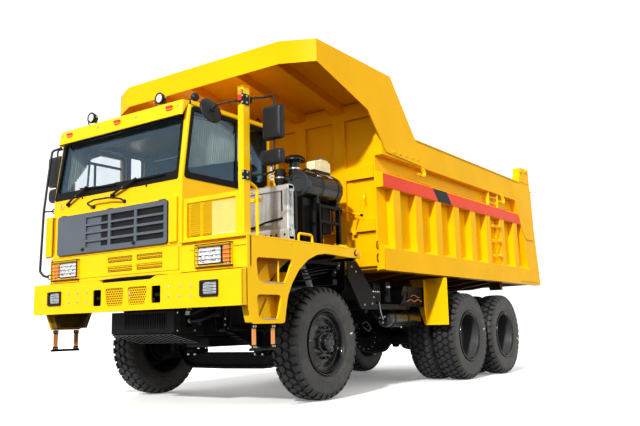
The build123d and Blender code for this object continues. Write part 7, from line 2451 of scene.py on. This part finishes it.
def under_deck():
    p = Piece("under_deck_parts", "chassis")
    # rear mudguard wall and cable tray under the left deck
    p.add(holed([(0.46, 1.30), (1.38, 1.30), (1.438, 1.36), (1.438, 1.735), (0.46, 1.735)], [], "yz", -0.662, -0.650, 0.003), "black")
    p.add(block((-0.650, 0.46, 1.52), (1.05, 0.95, 1.735), 0.010), "black")
    p.add(block((-0.60, 0.95, 1.66), (0.95, 1.42, 1.735), 0.006), "black")
    for x in (-0.45, 0.0, 0.45, 0.9):
        p.add(block((x - 0.02, 0.46, 1.700), (x + 0.02, 1.72, 1.738), 0.003), "black")
    # large grey pipe that drops behind the wheel
    pipe = [(-0.010, 1.100, 1.735), (-0.060, 1.100, 1.735), (-0.120, 1.100, 1.728), (-0.341, 1.100, 1.403), (-0.370, 1.020, 1.395), (-0.390, 0.700, 1.395), (-0.390, 0.46, 1.380)]
    p.add(tube([(-0.115, 1.100, 1.735), (-0.174, 1.100, 1.649), (-0.341, 1.100, 1.403), (-0.352, 1.060, 1.392), (-0.360, 0.90, 1.392), (-0.370, 0.46, 1.392)],
               0.046, 0.06, 24, 8), "alu_matte")
    for t in (0.18, 0.85):
        q = Vector((-0.174, 1.1, 1.649)).lerp(Vector((-0.341, 1.1, 1.403)), t)
        d = Vector((-0.167, 0, -0.246)).normalized()
        p.add(lathe([(0.047, -0.012), (0.050, -0.010), (0.050, 0.010), (0.047, 0.012)], q, d, 28), "steel")
    # hoses and cable bundles
    for k, (y, z) in enumerate(((1.36, 1.60), (1.33, 1.56), (1.30, 1.63), (1.22, 1.50))):
        p.add(tube([(0.75 - 0.05 * k, y - 0.5, z), (0.40, y - 0.3, z - 0.03), (0.05, y, z - 0.05), (-0.35, y, z + 0.01), (-0.60, y - 0.1, z + 0.04)], 0.011 + 0.002 * (k % 2), 0.1, 10), "hose")
    for x, y, z in ((-0.52, 1.40, 1.66), (-0.58, 1.30, 1.58), (0.30, 0.96, 1.60)):
        p.add(block((x - 0.04, y - 0.03, z - 0.05), (x + 0.04, y + 0.03, z + 0.05), 0.008), "plastic_matte")
        p.add(drum((x, y + 0.03, z), (0, 1, 0), 0.012, 0.012, 0.002), "alu_matte")
    # front chassis details: steering box, brake valves, hoses by the left wheel
    p.add(prism(rounded([(0.62, 1.02), (0.90, 1.02), (0.90, 1.30), (0.62, 1.30)], 0.04, 4), "xz", 0.455, 0.640, 0.02), "black_cast")
    p.add(drum((0.76, 0.63, 1.10), (0, 1, 0), 0.085, 0.060, 0.010), "black_cast")
    p.add(prism([(0.735, 1.12), (0.785, 1.12), (0.775, 0.86), (0.745, 0.86)], "xz", 0.690, 0.712, 0.006), "black_cast")
    p.add(tube([(0.76, 0.72, 0.875), (0.40, 0.80, 0.870), (0.30, 0.86, 0.865)], 0.018, 0.02, 12), "black_cast")
    for s in (1, -1):
        # rail bolts, and hoses along the rails
        for k in range(22):
            x = 0.9 - 0.32 * k
            for z in (1.00, 1.18):
                p.add(bolt((x, s * 0.450, z), (0, s, 0), 0.010, 0.008), "black")
        p.add(tube([(0.9, s * 0.475, 1.235), (-1.0, s * 0.475, 1.235), (-3.0, s * 0.475, 1.215), (-5.8, s * 0.475, 1.215)], 0.013, 0.05, 10), "hose")
        p.add(tube([(0.9, s * 0.478, 1.205), (-1.0, s * 0.478, 1.205), (-3.0, s * 0.478, 1.185), (-5.8, s * 0.478, 1.185)], 0.008, 0.05, 8), "hose")
    p.done()
    # engine dressing
    e = Piece("engine_dressing", "chassis")
    e.add(prism(rounded([(0.84, 0.90), (0.98, 0.94), (0.98, 1.34), (0.84, 1.38)], 0.02, 3), "xz", -0.28, 0.28, 0.01), "black_cast")
    for k in range(8):
        a = 2 * math.pi * k / 8
        m = Matrix.Rotation(a, 3, "X")
        e.add(moved(prism([(-0.03, 0.05), (0.05, 0.26), (-0.05, 0.27), (-0.05, 0.05)], "yz", -0.006, 0.006, 0.002), m, (1.030, 0, 1.16)), "plastic_matte")
    e.add(drum((1.0, 0, 1.16), (1, 0, 0), 0.06, 0.06, 0.01), "black_cast")
    for i in range(6):
        x = 0.70 - 0.20 * i
        e.add(prism(rounded([(x - 0.085, 1.440), (x + 0.085, 1.440), (x + 0.075, 1.490), (x - 0.075, 1.490)], 0.015, 3), "xz", -0.20, 0.16, 0.012), "black_cast")
        e.add(tube([(x, 0.33, 1.30), (x, 0.375, 1.30), (x, 0.385, 1.25), (x - 0.02, 0.385, 1.18)], 0.026, 0.03, 14), "black_cast")
    e.add(tube([(0.72, 0.390, 1.17), (-0.35, 0.390, 1.17)], 0.038, 0, 18), "black_cast")
    for s in (1, -1):
        e.add(block((0.30, min(s * 0.33, s * 0.368), 0.98), (0.50, max(s * 0.33, s * 0.368), 1.10), 0.008), "black_cast")
    e.add(prism(rounded([(-0.35, 0.66), (0.62, 0.66), (0.62, 0.80), (-0.35, 0.80)], 0.04, 4), "xz", -0.20, 0.20, 0.02), "black_cast")
    e.done()


under_deck()


def tanks():
    p = Piece("air_tank_and_battery", "chassis")
    # brake-air reservoir with dished ends, straps, drains and front fittings
    prof = [(0, 0), (0.030, 0.002), (0.070, 0.010), (0.100, 0.028), (0.114, 0.052), (0.117, 0.075), (0.118, 0.077), (0.118, 0.083), (0.117, 0.085),
            (0.117, 0.935), (0.118, 0.937), (0.118, 0.943), (0.117, 0.945), (0.114, 0.968), (0.100, 0.992), (0.070, 1.010), (0.030, 1.018), (0, 1.020)]
    p.add(lathe(prof, (-2.800, 1.330, 0.970), (1, 0, 0), 56), "gloss_black")
    for x in (-2.350, -1.95):
        p.add(lathe([(0.1172, -0.022), (0.1215, -0.020), (0.1215, 0.020), (0.1172, 0.022)], (x, 1.330, 0.970), (1, 0, 0), 56), "black")
        p.add(block((x - 0.025, 1.28, 1.080), (x + 0.025, 1.38, 1.112), 0.004), "black")
    for dy, dz in ((0.03, 0.03), (-0.045, 0.02), (0.0, -0.05)):
        q = Vector((-1.785, 1.330 + dy, 0.970 + dz))
        p.add(lathe([(0.016, 0), (0.018, 0.006), (0.018, 0.018), (0.012, 0.022), (0.012, 0.040), (0, 0.041)], q, (1, 0, 0), 12), "alu_matte")
        p.add(tube([q + Vector((0.04, 0, 0)), q + Vector((0.10, 0.0, 0.01)), q + Vector((0.14, -0.06, 0.10)), q + Vector((0.10, -0.18, 0.20))], 0.008, 0.05, 10), "hose")
    p.add(bolt((-2.30, 1.330, 0.853), (0, 0, -1), 0.014, 0.014), "steel")
    # battery box: ribbed lid over cells, tray, straps and red-orange cables
    p.add(prism(rounded([(-2.86, 1.172), (-2.17, 1.172), (-2.17, 1.372), (-2.86, 1.372)], 0.010, 2), "xz", 1.000, 1.440, 0.008), "plastic_matte")
    p.add(prism(rounded([(-2.866, 1.362), (-2.164, 1.362), (-2.190, 1.448), (-2.840, 1.448)], 0.020, 3), "xz", 0.995, 1.452, 0.014), "plastic")
    for k in range(6):
        x = -2.80 + 0.112 * k
        p.add(block((x, 1.436, 1.190), (x + 0.030, 1.447, 1.350), 0.004), "plastic")
    for x in (-2.68, -2.34):
        p.add(strip([(x, 1.455, 1.200), (x, 1.457, 1.440), (x, 1.40, 1.453), (x, 1.05, 1.453)], 0.035, 0.003, (1, 0, 0), 0.02), "hose")
    p.add(tube([(-2.75, 1.452, 1.24), (-2.70, 1.475, 1.22), (-2.60, 1.480, 1.26), (-2.48, 1.476, 1.22), (-2.38, 1.470, 1.25), (-2.28, 1.452, 1.22)], 0.006, 0.05, 10), "strap")
    p.add(tube([(-2.70, 1.452, 1.30), (-2.62, 1.472, 1.28), (-2.50, 1.474, 1.32), (-2.40, 1.456, 1.30)], 0.005, 0.05, 8), "strap")
    p.add(tube([(-2.20, 1.452, 1.30), (-2.14, 1.465, 1.26), (-2.10, 1.44, 1.16), (-2.02, 1.38, 1.10)], 0.011, 0.05, 10), "hose")
    p.add(block((-2.87, 1.00, 1.150), (-2.16, 1.450, 1.172), 0.004), "black")
    # brackets behind the triangle plate
    p.add(holed([(-0.700, 1.738), (-0.930, 1.738), (-1.400, 1.268), (-1.406, 1.100), (-1.000, 1.100), (-0.700, 1.500)], [],
                "xz", 1.440, 1.452, 0.003), "black")
    p.add(prism([(-0.700, 1.500), (-0.730, 1.500), (-1.020, 1.110), (-1.000, 1.100)], "xz", 1.430, 1.462, 0.003), "black")
    for x, z in ((-0.80, 1.66), (-0.90, 1.60), (-1.30, 1.18), (-1.10, 1.16), (-1.34, 1.27)):
        p.add(bolt((x, 1.452, z), (0, 1, 0), 0.010, 0.008), "steel")
    for x in (-1.25, -2.35):
        p.add(block((x - 0.04, 0.45, 1.10), (x + 0.04, 1.44, 1.18), 0.006), "black")
        p.add(block((x - 0.04, 1.28, 1.05), (x + 0.04, 1.38, 1.11), 0.004), "black")
    p.add(block((-2.35, 1.38, 1.10), (-1.25, 1.44, 1.18), 0.006), "black")
    # valve block, filter canister and hose loops in front of the battery
    p.add(block((-1.60, 1.20, 1.20), (-1.40, 1.42, 1.34), 0.010), "black_cast")
    p.add(drum((-1.80, 1.400, 1.20), (0, 0, 1), 0.048, 0.22, 0.008), "black_cast")
    p.add(drum((-1.80, 1.400, 1.405), (0, 0, 1), 0.054, 0.035, 0.006), "alu_matte")
    p.add(block((-1.87, 1.330, 1.36), (-1.73, 1.420, 1.50), 0.008), "black_cast")
    for k in range(4):
        x = -1.42 - 0.05 * k
        p.add(tube([(x, 1.40, 1.34), (x, 1.42, 1.44), (x - 0.08, 1.38, 1.50), (x - 0.20, 1.20, 1.46), (x - 0.26, 1.0, 1.30)], 0.009, 0.06, 10), "hose")
        p.add(drum((x, 1.40, 1.335), (0, 0, 1), 0.012, 0.025, 0.002), "alu_matte")
    p.add(tube([(-1.52, 1.43, 1.20), (-1.50, 1.46, 1.08), (-1.60, 1.44, 0.96), (-1.70, 1.38, 0.96)], 0.008, 0.05, 10), "alu_matte")
    p.add(tube([(-1.10, 1.42, 0.86), (-1.20, 1.44, 0.80), (-1.30, 1.42, 0.86), (-1.20, 1.40, 0.94), (-1.12, 1.38, 0.90)], 0.011, 0.05, 10), "hose")
    p.done(replaces=("tank_rack",))
    q = Piece("fuel_tank_body", "chassis")
    q.add(prism(rounded([(-1.000, 0.760), (-2.600, 0.760), (-2.600, 1.340), (-1.000, 1.340)], 0.09, 6), "xz", -1.560, -0.700, 0.012, 2), "black")
    for x in (-1.35, -2.25):
        q.add(block((x - 0.04, -0.710, 1.00), (x + 0.04, -0.45, 1.20), 0.005), "black")
        o = rounded([(-1.5645, 0.755), (-0.695, 0.755), (-0.695, 1.3445), (-1.5645, 1.3445)], 0.02, 3)
        i = rounded([(-1.5605, 0.7595), (-0.6995, 0.7595), (-0.6995, 1.3405), (-1.5605, 1.3405)], 0.02, 3)
        q.add(ring_frame(o, i, "yz", x - 0.03, x + 0.03), "black")
        q.add(bolt((x, -1.5645, 1.05), (0, -1, 0), 0.010, 0.010), "steel")
    q.add(drum((-1.15, -1.40, 1.338), (0, 0, 1), 0.055, 0.045, 0.010), "plastic")
    for k in range(4):
        q.add(block((-1.75 - 0.0, -1.566, 0.90 + 0.09 * k), (-1.45, -1.558, 0.925 + 0.09 * k), 0.003), "black")
    q.done(replaces=("fuel_tank",))
    r = Piece("stone_guard_plates", "chassis")
    for s in (1, -1):
        a, b = sorted((s * 1.450, s * 1.842))
        r.add(prism(rounded(rect(a, b, 0.866, 1.580), 0.006, 2), "yz", -2.875, -2.865, 0.003), "yellow")
        r.add(prism([(s * 1.455, 1.580), (s * 1.455, 0.870), (s * 1.435, 0.870), (s * 1.20, 1.580)], "yz", -2.874, -2.869, 0.001), "yellow")
        a, b = sorted((s * 1.470, s * 1.480))
        r.add(prism([(-2.865, 0.90), (-2.845, 0.90), (-2.800, 1.10), (-2.800, 1.56), (-2.865, 1.56)], "xz", a, b, 0.002), "yellow")
        r.add(block((-2.865, min(s * 1.46, s * 1.84), 0.868), (-2.850, max(s * 1.46, s * 1.84), 0.880), 0.002), "yellow")
        r.add(block((-2.950, min(s * 0.45, s * 1.60), 1.150), (-2.875, max(s * 0.45, s * 1.60), 1.230), 0.005), "black")
        for z in (1.17, 1.21):
            for y in (1.50, 1.58):
                r.add(bolt((-2.865, s * y, z), (1, 0, 0), 0.010, 0.008), "steel")
    r.done(replaces=("stone_guards",))


tanks()


def hoist_rings():
    """Wiper collars and end fittings on the telescopic hoist."""
    fx, fz, ex, ez = -0.870, 1.050, -0.900, 3.300
    L = math.hypot(ex - fx, ez - fz)
    d = Vector(((ex - fx) / L, 0, (ez - fz) / L))
    at = lambda t: Vector((fx, 0, fz)) + d * t
    p = Piece("hoist_barrel_collar", "hoist_barrel")
    p.add(lathe([(0.1255, -0.05), (0.130, -0.048), (0.130, 0.0), (0.126, 0.003), (0.1115, 0.003)], at(1.978), d, 48), "yellow_bed")
    p.add(lathe([(0.1252, 0.0), (0.131, 0.006), (0.131, 0.030), (0.1252, 0.036)], at(0.115), d, 48), "yellow_bed")
    for k in range(8):
        a = 2 * math.pi * k / 8
        m = frame_of(d, (1, 0, 0))
        p.add(bolt(at(1.955) + m @ Vector((0.130 * math.cos(a), 0.130 * math.sin(a), 0)), m @ Vector((math.cos(a), math.sin(a), 0)), 0.006, 0.005), "steel")
    p.done()
    for name, r, inner, end in (("hoist_stage_1", 0.107, 0.0935, 2.028), ("hoist_stage_2", 0.089, 0.0755, 2.078)):
        p = Piece(name + "_collar", name)
        p.add(lathe([(r + 0.0005, -0.022), (r + 0.0035, -0.020), (r + 0.0035, -0.004), (r + 0.0005, 0.002), (inner, 0.003)], at(end), d, 44), "steel")
        p.done()


hoist_rings()


# ------------------------------------------------------------------ remaining CAD nodes softened, glass and hoist parts dressed
def bumper_test(c, n):
    return False


SOFT = (
    
    ("cab_door", "yellow", 0.006),
    ("mirror_post", "yellow", 0.004), 
    # bed floor in the darker yellow (painted shade with dust); stringers in black as painted shade under the bed
    ("bed_floor", "yellow_in", 0.004), ("bed_stringers", "black", 0.004),
    ("bed_sides", "yellow_bed", 0.005), ("bed_front_wall", "yellow_bed", 0.005), ("bed_canopy", "yellow_bed", 0.005),
    ("tailgate", "yellow_bed", 0.005),
    ("chassis_frame", "black", 0.004), ("deck_supports", "black", 0.003), ("tow_lugs", "black", 0.003),
    ("engine_block", "black_cast", 0.010), 
    ("steering_knuckle_left", "black_cast", 0.006), ("steering_knuckle_right", "black_cast", 0.006),
    ("tie_rod", "black", 0.002), ("rear_axles", "black_cast", 0.010), 
    
    ("service_rack", "black", 0.003),
)
for node, mat, width in SOFT:
    cad_copy(node, node + "_body", mat, width)
for node, mat in (
                  ("cab_glass", "glass"),
                  ("cab_door_glass", "glass"), 
                  ("hoist_barrel", "yellow_bed"), ("hoist_stage_1", "chrome"), ("hoist_stage_2", "chrome"), ("hoist_rod", "chrome")):
    dress(node, mat)


# ------------------------------------------------------------------ camera, light and floor
def camera():
    yaw, pitch, roll = map(math.radians, (215.10147, 8.93948, -1.39831))
    d = Vector((math.cos(yaw) * math.cos(pitch), math.sin(yaw) * math.cos(pitch), math.sin(pitch)))
    r = Vector((math.sin(yaw), -math.cos(yaw), 0))
    u = r.cross(d)
    r2 = math.cos(roll) * r + math.sin(roll) * u
    u2 = -math.sin(roll) * r + math.cos(roll) * u
    cam = bpy.data.cameras.new("camera")
    cam.sensor_width = 36.0
    cam.sensor_fit = "HORIZONTAL"
    cam.lens = 36.0 * 734.2445 / 640.0
    cam.clip_start, cam.clip_end = 0.1, 200.0
    ob = bpy.data.objects.new("camera", cam)
    m = Matrix((r2, u2, -d)).transposed().to_4x4()
    m.translation = Vector((FX + 7.43744, 6.74959, 0.85547))
    ob.matrix_world = m
    SCENE.collection.objects.link(ob)
    SCENE.camera = ob


def area(name, at, target, size, power, colour=(1, 1, 1), shape="RECTANGLE", size_y=None):
    light = bpy.data.lights.new(name, "AREA")
    light.shape = shape
    light.size = size
    light.size_y = size_y or size
    light.energy = power
    light.color = colour
    ob = bpy.data.objects.new(name, light)
    ob.location = at
    ob.rotation_euler = (Vector(target) - Vector(at)).to_track_quat("-Z", "Y").to_euler()
    SCENE.collection.objects.link(ob)
    return ob


def studio():
    floor = bpy.data.meshes.new("floor")
    s = 60.0
    floor.from_pydata([(-s, -s, 0), (s, -s, 0), (s, s, 0), (-s, s, 0)], [], [(0, 1, 2, 3)])
    m = Nodes("studio_floor")
    m.link(m.ramp(m.noise(0.6, 3.0), [(0.3, (0.86, 0.86, 0.855)), (0.7, (0.89, 0.89, 0.885))]), m.bsdf.inputs["Base Color"])
    m.link(m.span(m.noise(3.0), 0.55, 0.65), m.bsdf.inputs["Roughness"])
    m.set(Specular_IOR_Level=0.2, Emission_Strength=0.16)
    m.bsdf.inputs["Emission Color"].default_value = (1, 1, 1, 1)
    floor.materials.append(m.mat)
    ob = bpy.data.objects.new("studio_floor", floor)
    ob.location.z = -0.002
    SCENE.collection.objects.link(ob)
    ob.visible_diffuse = False
    w = bpy.data.worlds.new("studio")
    SCENE.world = w
    w.use_nodes = True
    bg = w.node_tree.nodes["Background"]
    # bright sky above, dim below, so undersides stay dark
    wt = w.node_tree
    tc = wt.nodes.new("ShaderNodeTexCoord")
    sep = wt.nodes.new("ShaderNodeSeparateXYZ")
    ramp = wt.nodes.new("ShaderNodeMapRange")
    ramp.inputs["From Min"].default_value = -0.06
    ramp.inputs["From Max"].default_value = 0.06
    ramp.inputs["To Min"].default_value = 0.05
    ramp.inputs["To Max"].default_value = 0.88
    wt.links.new(tc.outputs["Generated"], sep.inputs["Vector"])
    wt.links.new(sep.outputs["Z"], ramp.inputs["Value"])
    wt.links.new(ramp.outputs["Result"], bg.inputs["Strength"])
    bg.inputs["Color"].default_value = (1.0, 1.0, 1.0, 1)
    sun = bpy.data.lights.new("key", "SUN")
    sun.energy = 3.3
    sun.angle = math.radians(3.0)
    sun.color = (1.0, 0.98, 0.94)
    so = bpy.data.objects.new("key", sun)
    so.rotation_euler = Vector((0.828, 0.222, 0.515)).to_track_quat("Z", "Y").to_euler()
    SCENE.collection.objects.link(so)
    dome = bpy.data.meshes.new("backdrop")
    bm = bmesh.new()
    bmesh.ops.create_icosphere(bm, subdivisions=4, radius=95.0)
    for f in bm.faces:
        f.normal_flip()
    bm.to_mesh(dome)
    bm.free()
    b = Nodes("studio_backdrop")
    glow = b.add("ShaderNodeEmission", Strength=1.0)
    b.link(b.ramp(b.noise(0.02, 2.0), [(0.3, (0.97, 0.97, 0.97)), (0.7, (1.0, 1.0, 1.0))]), glow.inputs["Color"])
    b.link(glow.outputs["Emission"], b.out.inputs["Surface"])
    b.tree.nodes.remove(b.bsdf)
    dome.materials.append(b.mat)
    back = bpy.data.objects.new("studio_backdrop", dome)
    SCENE.collection.objects.link(back)
    back.visible_diffuse = back.visible_glossy = back.visible_transmission = back.visible_shadow = False
    back.visible_volume_scatter = False
    area("front_softbox", (13, 5.5, 3.2), (1.0, 0.5, 1.8), 5.0, 60, (1, 1, 1))
    area("side_softbox", (-2, 15, 5.0), (-2.0, 0.0, 2.2), 9.0, 360, (1.0, 1.0, 0.86))
    SCENE.view_settings.view_transform = "Standard"
    SCENE.view_settings.look = "Medium High Contrast"
    SCENE.view_settings.exposure = 0.0


camera()
studio()
